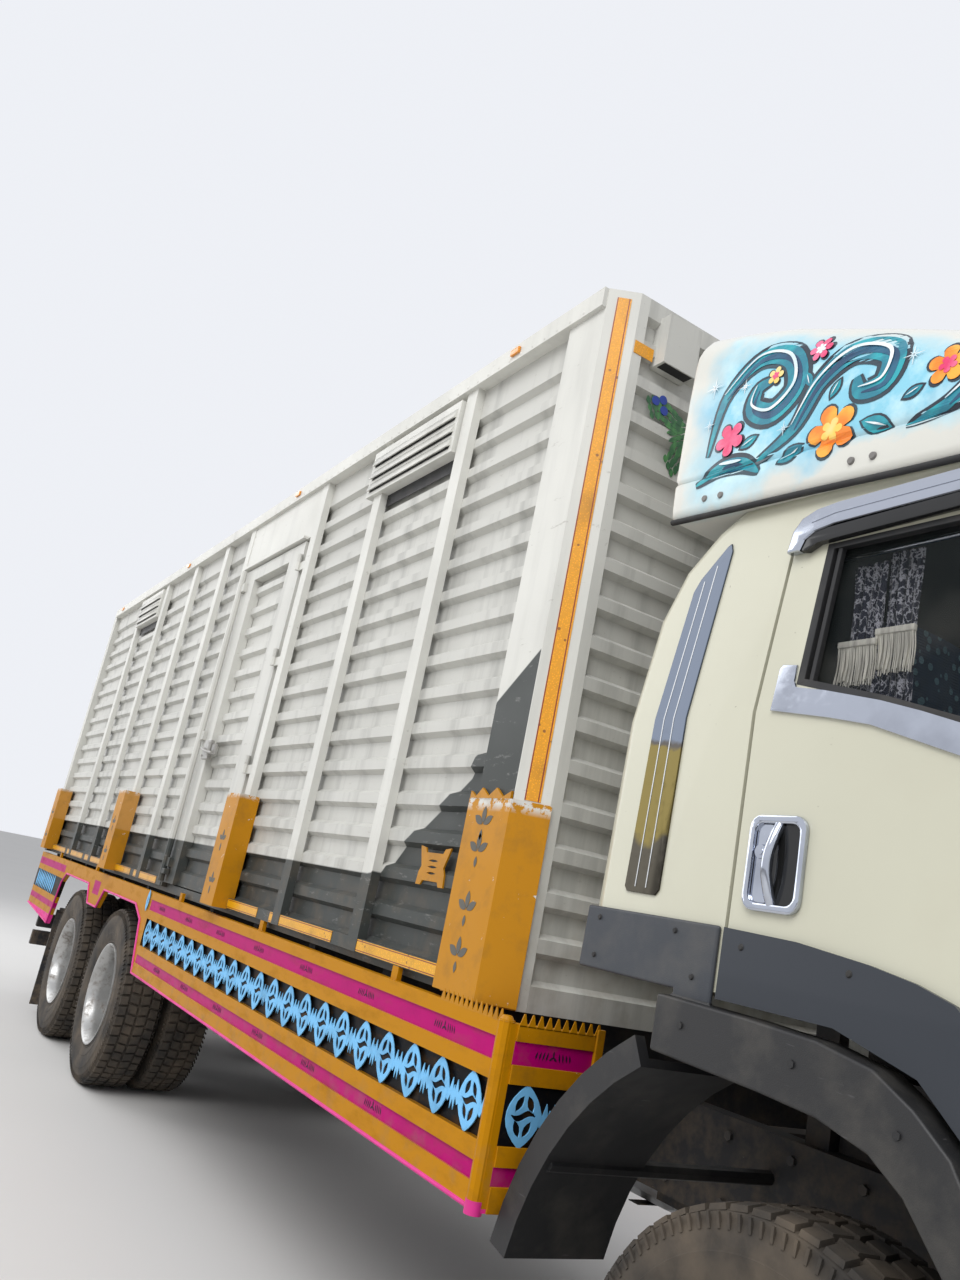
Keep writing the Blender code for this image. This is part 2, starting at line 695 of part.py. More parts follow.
def twin_rim_profile():
    """Two barrels carried by one disc and hub, dished deep on the outside."""
    hub_start = AXLE_HALF_LENGTH + SEAT_GAP
    hub_end = hub_start + TWIN_HUB_LENGTH
    middle = (TWIN_INNER_Y + TWIN_OUTER_Y) / 2
    waist = BARREL_RADIUS + WAIST_THICKNESS
    low, high = middle - DISC_THICKNESS / 2, middle + DISC_THICKNESS / 2
    inner_rim, outer_rim = flanges(TWIN_INNER_Y), flanges(TWIN_OUTER_Y)
    return [
        (0, hub_start), (HUB_RADIUS, hub_start), (HUB_RADIUS, low), (BARREL_RADIUS, low),
        (BARREL_RADIUS, TWIN_INNER_Y - LIP_REACH), *inner_rim[:4], (waist, TWIN_INNER_Y + LIP_REACH),
        (waist, TWIN_OUTER_Y - LIP_REACH), *outer_rim[2:], (BARREL_RADIUS, TWIN_OUTER_Y + LIP_REACH),
        (BARREL_RADIUS, high), (HUB_RADIUS, high), (HUB_CAP_RADIUS, hub_end), (0, hub_end),
    ]


def rim(name, axle_x, profile, centre_y, side):
    """A turned rim whose origin is on its axle at the wheel's middle."""
    moved = [(radius, reach - centre_y) for radius, reach in profile]
    wheel = turned(name, moved, WHEEL_STEPS, (0, 0, 0), side)
    turn_flat(wheel, WHEEL_STEPS)
    wheel.location = (axle_x, side * centre_y, WHEEL_Z)
    node(wheel, name, "silver")


def wheels():
    for side_name, side in SIDES:
        tyre(f"front_tyre_{side_name}", FRONT_AXLE_X, side * FRONT_TYRE_Y)
        rim(f"front_rim_{side_name}", FRONT_AXLE_X, front_rim_profile(), FRONT_TYRE_Y, side)
        for number, axle_x in enumerate(REAR_AXLE_XS, 1):
            place = f"rear_{number}_{side_name}"
            tyre(f"{place}_outer_tyre", axle_x, side * TWIN_OUTER_Y)
            tyre(f"{place}_inner_tyre", axle_x, side * TWIN_INNER_Y)
            rim(f"{place}_rim", axle_x, twin_rim_profile(), TWIN_OUTER_Y, side)


def knuckles():
    """Each knuckle holds the kingpin boss between two ears and carries the hub."""
    for side_name, side in SIDES:
        centre = Vector((FRONT_AXLE_X, side * KINGPIN_Y, WHEEL_Z))
        ear_start = KINGPIN_BOSS_HEIGHT / 2 + SEAT_GAP
        spine_start = KINGPIN_Y + KINGPIN_BOSS_RADIUS + RUNNING_GAP
        spine = block(
            "knuckle spine",
            (FRONT_AXLE_X - KINGPIN_BOSS_RADIUS, FRONT_AXLE_X + KINGPIN_BOSS_RADIUS),
            span(side, spine_start, spine_start + KNUCKLE_SPINE),
            (WHEEL_Z - ear_start - KNUCKLE_EAR / 2, WHEEL_Z + ear_start + KNUCKLE_EAR / 2),
        )
        pieces = []
        for up in (-1, 1):
            near = centre + Vector((0, 0, up * ear_start))
            far = near + Vector((0, 0, up * KNUCKLE_EAR))
            pieces.append(rod("knuckle ear", near, far, KINGPIN_BOSS_RADIUS, WHEEL_STEPS))
            zs = tuple(sorted((near.z, far.z - up * KNUCKLE_EAR / 4)))
            pieces.append(block(
                "ear arm",
                (FRONT_AXLE_X - EAR_ARM_HALF_WIDTH, FRONT_AXLE_X + EAR_ARM_HALF_WIDTH),
                span(side, KINGPIN_Y, spine_start + KNUCKLE_SPINE / 2), zs,
            ))
        node(fuse(spine, pieces), f"knuckle_{side_name}", "black", origin=tuple(centre))


# Front bumper with a lamp pocket at each end, as shares of its width and height
LAMP_FROM_SHARE, LAMP_TO_SHARE = 0.66, 0.9
LAMP_LOW_SHARE, LAMP_HIGH_SHARE = 0.45, 0.8
LAMP_DEPTH = 0.05
# The bumper's turned corner: back from its front and in from its side, as shares of its size
BUMPER_TURN_SHARES = ((1.4, 0), (0.4, 0.6), (0, 2))
STEP_REACH = 0.66
STEP_WIDTH = 0.27
STEP_DEPTH = 0.2
STEP_RIM = 0.05


def front_bumper():
    back = FRONT_X - BUMPER_DEPTH
    side_back = FRONT_AXLE_X + STEP_REACH
    inner = BUMPER_HALF_WIDTH - STEP_WIDTH
    corner = BUMPER_CORNER
    outline = [
        (back, inner), (back, -inner), (side_back, -inner), (side_back, -BUMPER_HALF_WIDTH),
    ]
    turn = [(FRONT_X - corner * back_share, BUMPER_HALF_WIDTH - corner * in_share)
            for back_share, in_share in BUMPER_TURN_SHARES]
    outline += [(x, -y) for x, y in turn] + turn[::-1] + [(side_back, BUMPER_HALF_WIDTH), (side_back, inner)]
    bumper = slab("bumper", outline, "XY", BUMPER_BOTTOM_Z, BUMPER_TOP_Z)
    height = BUMPER_TOP_Z - BUMPER_BOTTOM_Z
    cutters = []
    for _, side in SIDES:
        cutters.append(block(
            "step hollow", (side_back + STEP_RIM, back - STEP_RIM),
            span(side, BUMPER_HALF_WIDTH - STEP_DEPTH, BUMPER_HALF_WIDTH + OVERRUN),
            (BUMPER_BOTTOM_Z + STEP_RIM, BUMPER_TOP_Z - STEP_RIM),
        ))
        cutters.append(block(
            "lamp pocket", (FRONT_X - LAMP_DEPTH, FRONT_X + OVERRUN),
            span(side, BUMPER_HALF_WIDTH * LAMP_FROM_SHARE, BUMPER_HALF_WIDTH * LAMP_TO_SHARE),
            (BUMPER_BOTTOM_Z + height * LAMP_LOW_SHARE, BUMPER_BOTTOM_Z + height * LAMP_HIGH_SHARE),
        ))
    node(carve(bumper, cutters), "front_bumper", "cream")


MUDGUARD_TOP_ANGLE = 120
MUDGUARD_LOW_ANGLE = 168
MUDGUARD_STEPS = 7
MUDGUARD_STRUT_ANGLE = 150


def mudguards():
    """The black arch behind each front wheel, with a wide outer lip and a strut to the rail."""
    centre = (FRONT_AXLE_X, WHEEL_Z)
    angles = (MUDGUARD_TOP_ANGLE, MUDGUARD_LOW_ANGLE)
    inner = arc(centre, MUDGUARD_RADIUS, *angles, MUDGUARD_STEPS)
    shell = arc(centre, MUDGUARD_RADIUS + MUDGUARD_THICKNESS, *reversed(angles), MUDGUARD_STEPS)
    lip = arc(centre, MUDGUARD_RADIUS + MUDGUARD_LIP, *reversed(angles), MUDGUARD_STEPS)
    strut = arc(centre, MUDGUARD_RADIUS + MUDGUARD_THICKNESS / 2, MUDGUARD_STRUT_ANGLE,
                MUDGUARD_STRUT_ANGLE, 1)[0]
    for side_name, side in SIDES:
        arch = slab("mudguard", inner + shell, "XZ", *span(side, MUDGUARD_INNER_Y, MUDGUARD_OUTER_Y))
        edge = slab("mudguard lip", inner + lip, "XZ", *span(
            side, MUDGUARD_OUTER_Y - MUDGUARD_THICKNESS, MUDGUARD_OUTER_Y + MUDGUARD_THICKNESS / 2))
        holder = rod(
            "mudguard strut", (strut[0], side * (RAIL_OUTER_Y + SEAT_GAP), strut[1]),
            (strut[0], side * (MUDGUARD_OUTER_Y - MUDGUARD_THICKNESS / 2), strut[1]),
            MUDGUARD_THICKNESS, 8,
        )
        node(fuse(arch, [edge, holder]), f"mudguard_{side_name}", "black")


# Cab side view from the low back corner upwards, as shares of the cab's length from its back
# and of its height from its sill
CAB_SIDE_SHARES = (
    (0, 0.2375), (0.0157, 0.8125), (0.0419, 0.9), (0.0942, 0.9687), (0.1361, 1), (0.8063, 1),
    (0.8377, 0.9687), (0.9843, 0.4688), (1, 0.0313), (0.9843, 0), (0.6859, 0), (0.5759, 0.1562),
    (0.4712, 0.2375),
)
ROOF_FRONT, SCREEN_FOOT, NOSE = 6, 7, 8
CAB_INSIDE_SHARES = (
    (0.0262, 0.2687), (0.0419, 0.8), (0.0628, 0.875), (0.1047, 0.9375), (0.1466, 0.9687),
    (0.7906, 0.9687), (0.8141, 0.95), (0.9581, 0.4688), (0.9738, 0.0375), (0.9686, 0.0313),
    (0.699, 0.0313), (0.5969, 0.1688), (0.4817, 0.2687),
)
CAB_CORNER = 0.1
# Space for the engine and the rails: back, front, half width and top, as shares of the cab
ENGINE_SPACE_SHARES = (-0.0366, 0.712, 0.375, 0.2344)
RAIL_SPACE_SHARES = (0.6702, 0.9581, 0.392, 0.05)
DOOR_SHARES = (
    (0.2513, 0.2362), (0.4084, 0.2362), (0.5026, 0.2063), (0.5759, 0.1312), (0.6492, 0.025),
    (0.8272, 0.025), (0.8429, 0.4688), (0.8272, 0.625), (0.7487, 0.875), (0.7225, 0.9125),
    (0.2513, 0.9125),
)
WINDOW_SHARES = (
    (0.3037, 0.6625), (0.4241, 0.625), (0.5393, 0.5812), (0.7853, 0.5375), (0.7696, 0.6375),
    (0.7068, 0.85), (0.6806, 0.875), (0.3037, 0.8813),
)
DOOR_CLADDING_SHARES = (
    (0.2513, 0.2362), (0.4084, 0.2362), (0.5026, 0.2063), (0.5759, 0.1312), (0.6492, 0.025),
    (0.8168, 0.025), (0.8168, 0.0625), (0.6806, 0.075), (0.6492, 0.1375), (0.5969, 0.225),
    (0.533, 0.2875), (0.4937, 0.3019), (0.4435, 0.3125), (0.3534, 0.3244), (0.2513, 0.3281),
)
CLADDING_THICKNESS = 0.012
DOOR_HINGE_REACH = 0.935
DOOR_THICKNESS = 0.05
HANDLE_REACH = -0.09
HANDLE_LENGTH = 0.15
SCREEN_LOW_Z = 1.8
SCREEN_HIGH_Z = 2.45
SCREEN_HALF_WIDTH = 1.08


def ahead(shares):
    """Places on the cab's side view from shares of its length and height."""
    length, height = CAB_NOSE_X - CAB_BACK_X, CAB_ROOF_Z - CAB_SILL_Z
    return [(CAB_BACK_X + length * along, CAB_SILL_Z + height * up) for along, up in shares]


def line_at(low, high, z):
    """X at a height on the line through two places."""
    return low[0] + (high[0] - low[0]) * (z - low[1]) / (high[1] - low[1])


def grown(points, width):
    """An outline moved outwards by a width, each corner along its own bisector."""
    count = len(points)
    area = sum(points[i - 1][0] * points[i][1] - points[i][0] * points[i - 1][1] for i in range(count))
    turn = math.copysign(1, area)
    moved = []
    for i in range(count):
        back, here, on = Vector(points[i - 1]), Vector(points[i]), Vector(points[(i + 1) % count])
        first, second = (here - back).normalized(), (on - here).normalized()
        first = Vector((first.y, -first.x)) * turn
        second = Vector((second.y, -second.x)) * turn
        moved.append(here + (first + second) * width / (1 + first.dot(second)))
    return [tuple(point) for point in moved]


def lean_in(thing):
    """Lean everything above the belt line in towards the middle, split at the belt."""
    shape = bmesh.new()
    shape.from_mesh(thing.data)
    whole = list(shape.verts) + list(shape.edges) + list(shape.faces)
    bmesh.ops.bisect_plane(shape, geom=whole, plane_co=(0, 0, CAB_BELT_Z), plane_no=(0, 0, 1))
    for vertex in shape.verts:
        vertex.co.y *= 1 - CAB_LEAN * max(0, vertex.co.z - CAB_BELT_Z)
    shape.to_mesh(thing.data)
    shape.free()
    return thing


def cab_slab(name, points, near, far):
    return lean_in(slab(name, points, "XZ", near, far))


def space(name, place, wall):
    """A box under the cab, with a wall added on its front, sides and top."""
    back, front, half, up = place
    (back_x, _), (front_x, top) = ahead(((back, 0), (front, up)))
    reach = CAB_HALF_WIDTH * half + wall
    return block(name, (back_x, front_x + wall), (-reach, reach), (CAB_SILL_Z - OVERRUN, top + wall))


def screen_outline(grow):
    """The windscreen's slanted section, between the front wall's two faces or past them."""
    places = ahead(CAB_SIDE_SHARES)
    heights = (SCREEN_LOW_Z - grow, SCREEN_HIGH_Z + grow)
    return [(line_at(places[SCREEN_FOOT], places[ROOF_FRONT], z), z) for z in heights]


CAB_HINGE_SHARES = (0.125, 0.475)


def cab_hinges(side):
    places = ahead([(0, share) for share in CAB_HINGE_SHARES])
    return [hinge(FRONT_AXLE_X + DOOR_HINGE_REACH, side * CAB_HALF_WIDTH, z, (1, side), (0, -1))
            for _, z in places]


def cab_shell():
    shell = cab_slab("cab outside", ahead(CAB_SIDE_SHARES), -CAB_HALF_WIDTH, CAB_HALF_WIDTH)
    bevel(shell, CAB_CORNER, 3, math.radians(60))
    inside = cab_slab("cab inside", ahead(CAB_INSIDE_SHARES), CAB_WALL - CAB_HALF_WIDTH, CAB_HALF_WIDTH - CAB_WALL)
    carve(inside, [space("engine cover", ENGINE_SPACE_SHARES, CAB_WALL),
                   space("rail cover", RAIL_SPACE_SHARES, CAB_WALL)])
    cutters = [inside, space("engine space", ENGINE_SPACE_SHARES, 0),
               space("rail space", RAIL_SPACE_SHARES, 0)]
    for _, side in SIDES:
        cutters.append(cab_slab(
            "door opening", grown(ahead(DOOR_SHARES), DOOR_GAP),
            *span(side, CAB_HALF_WIDTH - CAB_WALL - OVERRUN, CAB_HALF_WIDTH + OVERRUN),
        ))
    (low_x, low_z), (high_x, high_z) = screen_outline(0)
    cutters.append(cab_slab(
        "screen opening",
        [(low_x - CAB_WALL * 2, low_z), (low_x + OVERRUN, low_z), (high_x + OVERRUN, high_z),
         (high_x - CAB_WALL * 2, high_z)],
        -SCREEN_HALF_WIDTH, SCREEN_HALF_WIDTH,
    ))
    carve(shell, cutters)
    lugs = []
    for _, side in SIDES:
        near, far = span(side, RAIL_OUTER_Y + SEAT_GAP, RAIL_OUTER_Y + CAB_WALL)
        lugs.append(rod("pivot lug", (TILT_PIVOT_X, near, TILT_PIVOT_Z), (TILT_PIVOT_X, far, TILT_PIVOT_Z),
                        PIVOT_RADIUS, WHEEL_STEPS))
        lugs.append(block("pivot lug arm", (TILT_PIVOT_X - PIVOT_RADIUS / 2, TILT_PIVOT_X + CAB_WALL),
                          (near, far), (TILT_PIVOT_Z, CAB_SILL_Z + CAB_WALL)))
        for _, leaf in cab_hinges(side):
            lugs += leaf
    fuse(shell, lugs)
    node(shell, "cab_shell", "cream", origin=(TILT_PIVOT_X, 0, TILT_PIVOT_Z))


def cab_doors():
    for side_name, side in SIDES:
        door = cab_slab("door", ahead(DOOR_SHARES), *span(side, CAB_HALF_WIDTH - DOOR_THICKNESS, CAB_HALF_WIDTH))
        window = cab_slab("window hole", ahead(WINDOW_SHARES), *span(
            side, CAB_HALF_WIDTH - DOOR_THICKNESS - OVERRUN, CAB_HALF_WIDTH + OVERRUN))
        carve(door, [window])
        band = slab("door cladding", ahead(DOOR_CLADDING_SHARES), "XZ", *span(
            side, CAB_HALF_WIDTH - WELD_LAP, CAB_HALF_WIDTH + CLADDING_THICKNESS))
        pieces = [band]
        for leaf, _ in cab_hinges(side):
            pieces += leaf
        fuse(door, pieces)
        pivot = (FRONT_AXLE_X + DOOR_HINGE_REACH, side * (CAB_HALF_WIDTH + HINGE_RADIUS + SEAT_GAP), 0)
        node(door, f"cab_door_{side_name}", "cream", origin=pivot)
        middle = CAB_HALF_WIDTH - DOOR_THICKNESS / 2
        glass = cab_slab("glass", grown(ahead(WINDOW_SHARES), -SEAT_GAP), *span(
            side, middle - GLASS_THICKNESS / 2, middle + GLASS_THICKNESS / 2))
        node(glass, f"door_glass_{side_name}", "glass", origin=pivot)


# Wheel arch flare: upper edge forwards, then the inner lip back
FLARE_SHARES = (
    (0.178, 0.2269), (0.3089, 0.2244), (0.4031, 0.22), (0.4691, 0.2063), (0.5131, 0.1781),
    (0.5503, 0.1437), (0.6178, 0.0188), (0.6702, -0.125), (0.6806, -0.2375), (0.6597, -0.2375),
    (0.6387, -0.125), (0.5969, -0.0313), (0.5471, 0.0413), (0.5084, 0.0937), (0.4712, 0.1219),
    (0.4115, 0.1394), (0.3382, 0.1456), (0.178, 0.1531),
)
FLARE_INNER_Y = 1.16
FLARE_OUTER_Y = 1.245
QUARTER_CLADDING_SHARES = (
    (0.0042, 0.2362), (0.0063, 0.3287), (0.2435, 0.3287), (0.2435, 0.2188), (0.1832, 0.2188),
    (0.1832, 0.2362),
)


def wheel_arches():
    """The black flare over each front wheel, with the cladding on the cab's rear quarter."""
    for side_name, side in SIDES:
        flare = slab("flare", ahead(FLARE_SHARES), "XZ", *span(side, FLARE_INNER_Y, FLARE_OUTER_Y))
        band = slab("quarter cladding", ahead(QUARTER_CLADDING_SHARES), "XZ", *span(
            side, CAB_HALF_WIDTH + SEAT_GAP, CAB_HALF_WIDTH + SEAT_GAP + CLADDING_THICKNESS))
        node(fuse(flare, [band]), f"wheel_arch_{side_name}", "black")


def windscreen():
    (low_x, low_z), (high_x, high_z) = screen_outline(-SEAT_GAP)
    back = CAB_WALL / 2
    sheet = cab_slab(
        "screen",
        [(low_x - back, low_z), (low_x - back + GLASS_THICKNESS, low_z),
         (high_x - back + GLASS_THICKNESS, high_z), (high_x - back, high_z)],
        SEAT_GAP - SCREEN_HALF_WIDTH, SCREEN_HALF_WIDTH - SEAT_GAP,
    )
    node(sheet, "windscreen", "glass")


FAIRING_SHARES = (
    (0.1361, 1), (0.0314, 1.0938), (0.0314, 1.325), (0.0524, 1.375), (0.199, 1.3562),
    (0.4084, 1.2375), (0.644, 1.0875), (0.7958, 1.025), (0.7958, 1),
)
FAIRING_EDGE = 0.03


def roof_fairing():
    outline = [(x, z + SEAT_GAP) for x, z in ahead(FAIRING_SHARES)]
    fairing = slab("fairing", outline, "XZ", -FAIRING_HALF_WIDTH, FAIRING_HALF_WIDTH)
    node(bevel(fairing, FAIRING_EDGE, 2, math.radians(50)), "roof_fairing", "cream")


# Grille on the cab's nose: bars across between two uprights
GRILLE_HALF_WIDTH = 0.75
GRILLE_LOW_Z = 1.1
GRILLE_HIGH_Z = 1.62
GRILLE_BARS = 5
GRILLE_BAR_HEIGHT = 0.05
GRILLE_UPRIGHT = 0.06
GRILLE_DEPTH = 0.02
GRILLE_STEP = 0.004


def front_grille():
    places = ahead(CAB_SIDE_SHARES)

    def face(z, out):
        return (line_at(places[NOSE], places[SCREEN_FOOT], z) + out, z)

    def bar(name, low, high, near, far, depth):
        outline = [face(low, SEAT_GAP), face(low, depth), face(high, depth), face(high, SEAT_GAP)]
        return slab(name, outline, "XZ", near, far)

    step = (GRILLE_HIGH_Z - GRILLE_LOW_Z - GRILLE_BAR_HEIGHT) / (GRILLE_BARS - 1)
    pieces = []
    for i in range(GRILLE_BARS):
        low = GRILLE_LOW_Z + step * i
        pieces.append(bar("grille bar", low, low + GRILLE_BAR_HEIGHT, -GRILLE_HALF_WIDTH,
                          GRILLE_HALF_WIDTH, GRILLE_DEPTH))
    for centre in (-GRILLE_HALF_WIDTH, 0, GRILLE_HALF_WIDTH):
        pieces.append(bar(
            "grille upright", GRILLE_LOW_Z + GRILLE_BAR_HEIGHT / 3, GRILLE_HIGH_Z - GRILLE_BAR_HEIGHT / 3,
            centre - GRILLE_UPRIGHT / 2, centre + GRILLE_UPRIGHT / 2, GRILLE_DEPTH + GRILLE_STEP))
    first = pieces.pop(0)
    node(fuse(first, pieces), "front_grille", "chrome")


# Mirror arm from the front pillar to the head: shares of the cab's length, of the head's reach
# outwards and of the cab's height
MIRROR_ARM_SHARES = (
    (0.8901, 0, 0.4062), (0.8901, 0.4, 0.4062), (0.9319, 0.9, 0.4688),
    (0.9424, 1, 0.6062),
)
MIRROR_REACH = 0.18
MIRROR_ARM_RADIUS = 0.014
MIRROR_DEPTH = 0.07
MIRROR_WIDTH = 0.2
MIRROR_LOW_Z = 1.92
MIRROR_HIGH_Z = 2.32
MIRROR_EDGE = 0.02


def mirrors():
    out = CAB_HALF_WIDTH + MIRROR_REACH
    for side_name, side in SIDES:
        points = []
        for along, outwards, up in MIRROR_ARM_SHARES:
            (x, z), = ahead([(along, up)])
            points.append((x, side * (CAB_HALF_WIDTH + SEAT_GAP + MIRROR_REACH * outwards), z))
        head = block("mirror head", (x - MIRROR_DEPTH / 2, x + MIRROR_DEPTH / 2),
                     span(side, out - MIRROR_WIDTH / 2, out + MIRROR_WIDTH / 2),
                     (MIRROR_LOW_Z, MIRROR_HIGH_Z))
        arm = tube("mirror arm", points, MIRROR_ARM_RADIUS, 1)
        node(fuse(bevel(head, MIRROR_EDGE, 1), [arm]), f"mirror_{side_name}", "black")


# Seats: places across the cab, and sizes of cushion and back
SEAT_Y = 0.62
SEAT_WIDTH = 0.52
SEAT_BACK_REACH = -0.32
SEAT_FRONT_REACH = 0.2
SEAT_HEIGHT = 0.42
SEAT_BACK_HEIGHT = 0.95
SEAT_BACK_THICKNESS = 0.14
BUNK_HEIGHT = 0.3
BUNK_INSET = 0.03


def cab_seats():
    """Two seats joined by the bunk behind them, standing on the deck over the engine."""
    floor = ahead(CAB_INSIDE_SHARES)[0][1] + SEAT_GAP
    half = CAB_HALF_WIDTH - CAB_WALL - BUNK_INSET
    back_x = FRONT_AXLE_X + SEAT_BACK_REACH
    bunk = block("bunk", (CAB_BACK_X + CAB_WALL + BUNK_INSET, back_x + BUNK_INSET), (-half, half),
                 (floor, floor + BUNK_HEIGHT))
    pieces = []
    for centre in (-SEAT_Y, SEAT_Y):
        across = (centre - SEAT_WIDTH / 2, centre + SEAT_WIDTH / 2)
        front = FRONT_AXLE_X + SEAT_FRONT_REACH
        pieces.append(block("cushion", (back_x, front), across, (floor, floor + SEAT_HEIGHT)))
        pieces.append(block("seat back", (back_x, back_x + SEAT_BACK_THICKNESS), across,
                            (floor + SEAT_HEIGHT / 2, floor + SEAT_BACK_HEIGHT)))
    node(fuse(bunk, pieces), "cab_seats", "cloth")


DASH_LOW_Z = 1.45
# Dashboard from its top edge back and down to its foot
DASH_SHARES = (
    (0.8796, 0.4938), (0.8063, 0.45), (0.8063, 0.375), (0.8534, 0.2812),
)
DASH_INSET = 0.02
STEERING_REACH = 0.56
STEERING_Z = 1.83
STEERING_RADIUS = 0.23
STEERING_RIM = 0.016
STEERING_COLUMN_RADIUS = 0.035
STEERING_FOOT_REACH = 0.95
STEERING_FOOT_Z = 1.55
SPOKE_RADIUS = 0.013


def dashboard():
    """The dashboard against the nose, with the steering wheel on its right-hand column."""
    half = CAB_HALF_WIDTH - CAB_WALL - DASH_INSET
    low, high = ahead(CAB_INSIDE_SHARES)[NOSE], ahead(CAB_INSIDE_SHARES)[SCREEN_FOOT]
    outline = [(line_at(low, high, DASH_LOW_Z) - SEAT_GAP, DASH_LOW_Z), (high[0] - SEAT_GAP, high[1])]
    board = slab("dashboard", outline + ahead(DASH_SHARES), "XZ", -half, half)
    centre = Vector((FRONT_AXLE_X + STEERING_REACH, RIGHT * SEAT_Y, STEERING_Z))
    foot = Vector((FRONT_AXLE_X + STEERING_FOOT_REACH, RIGHT * SEAT_Y, STEERING_FOOT_Z))
    along = (foot - centre).normalized()
    across = Vector((0, 1, 0))
    up = along.cross(across)
    hoop = []
    for i in range(WHEEL_STEPS):
        angle = 2 * math.pi * i / WHEEL_STEPS
        hoop.append(centre + (across * math.cos(angle) + up * math.sin(angle)) * STEERING_RADIUS)
    pieces = [
        ring_tube("steering wheel", hoop, STEERING_RIM),
        rod("column", centre - along * STEERING_RIM, foot, STEERING_COLUMN_RADIUS, 10),
    ]
    for i in (0, 1):
        reach = across * STEERING_RADIUS if i else up * STEERING_RADIUS
        pieces.append(rod("spoke", centre - reach, centre + reach, SPOKE_RADIUS, 6))
    node(fuse(board, pieces), "dashboard", "black")


def ring_tube(name, points, radius):
    """A closed tube through points, as a hoop."""
    drawing = bpy.data.curves.new(name, "CURVE")
    drawing.dimensions = "3D"
    drawing.bevel_depth = radius
    drawing.bevel_resolution = 1
    line = drawing.splines.new("POLY")
    line.points.add(len(points) - 1)
    for place, point in zip(line.points, points):
        place.co = (*point, 1)
    line.use_cyclic_u = True
    thing = bpy.data.objects.new(name, drawing)
    collection(HELPERS).objects.link(thing)
    return meshed(thing, name)


# Box floor: platform, bearers across and two runners on the chassis rails
def box_floor():
    half = SHEET_Y - SHEET_THICKNESS - SEAT_GAP
    front = BOX_FRONT_X - SEAT_GAP
    top = BOX_BOTTOM_Z + FLOOR_THICKNESS
    back = BOX_REAR_X + REAR_POST_LENGTH + SEAT_GAP
    floor = block("floor", (back, front), (-half, half), (BOX_BOTTOM_Z, top))
    runner_low = RAIL_TOP_Z + SEAT_GAP
    runner_high = runner_low + RUNNER_HEIGHT
    pieces = []
    for _, side in SIDES:
        pieces.append(block("runner", (back, front), span(side, RAIL_OUTER_Y - RAIL_FLANGE, RAIL_OUTER_Y),
                            (runner_low, runner_high + WELD_LAP)))
    for x in bearer_places():
        pieces.append(block("bearer", (x - BEARER_WIDTH / 2, x + BEARER_WIDTH / 2),
                            (-BEARER_HALF_WIDTH, BEARER_HALF_WIDTH),
                            (runner_high, BOX_BOTTOM_Z + WELD_LAP)))
    node(fuse(floor, pieces), "box_floor", "black")


def bearer_places():
    """X places of the floor bearers, evenly from the back of the box to its front."""
    back = BOX_REAR_X + REAR_POST_LENGTH + BEARER_WIDTH
    step = (BOX_FRONT_X - BEARER_WIDTH - back) / (BEARER_COUNT - 1)
    return [back + step * i for i in range(BEARER_COUNT)]


# One rib of the corrugated sheet: share of the pitch upwards from its flat, share of the depth
RIB_SHARES = ((0, 0), (0.3, 0), (0.42, 1), (0.88, 1))
WALL_TOP_Z = BOX_TOP_Z - ROOF_RAIL_HEIGHT


def ribbed(outer, thickness, low, high):
    """A sheet in section: ribbed outside, flat inside, as (outwards, height) points."""
    face = [(outer, low)]
    z = low + RIB_PITCH / 4
    while z + RIB_PITCH < high:
        face += [(outer - RIB_DEPTH * deep, z + RIB_PITCH * up) for up, deep in RIB_SHARES]
        z += RIB_PITCH
    face += [(outer, z), (outer, high)]
    return face + [(outer - thickness, high), (outer - thickness, low)]


# Places along each side from the box's front edge back, as shares of its length
POST_SHARES = (0.1075, 0.2070, 0.3066, 0.5269, 0.6238, 0.7299, 0.8361)
SIDE_DOOR_REACH = 2.45
DOOR_BACK_POST_SHARES = (0.4579,)
HOOD_SHARES = ((0.1194, 0.2256), (0.7432, 0.8361))
HOOD_LOW_Z = 3.17
HOOD_HIGH_Z = 3.4
HOOD_Y = 1.262
HOOD_SLOT_HEIGHT = 0.014
POCKET_SHARES = (0.2986, 0.6184, 0.9555)
POCKET_LENGTH = 0.19
POCKET_Y = 1.31
POCKET_TOP_Z = 1.765
SOLE_LOW_Z = 1.24
SOLE_HIGH_Z = 1.285
SIDE_DOOR_SILL_Z = BOX_BOTTOM_Z + FLOOR_THICKNESS + RUNNING_GAP
GUARD_CORNER_TOP_Z = 1.78
GUARD_CORNER_LENGTH = 0.23
GUARD_CORNER_PROUD = 0.01


def along_box(share):
    """X at a share of the box's length, back from its front edge."""
    return BOX_FRONT_X - (BOX_FRONT_X - BOX_REAR_X) * share


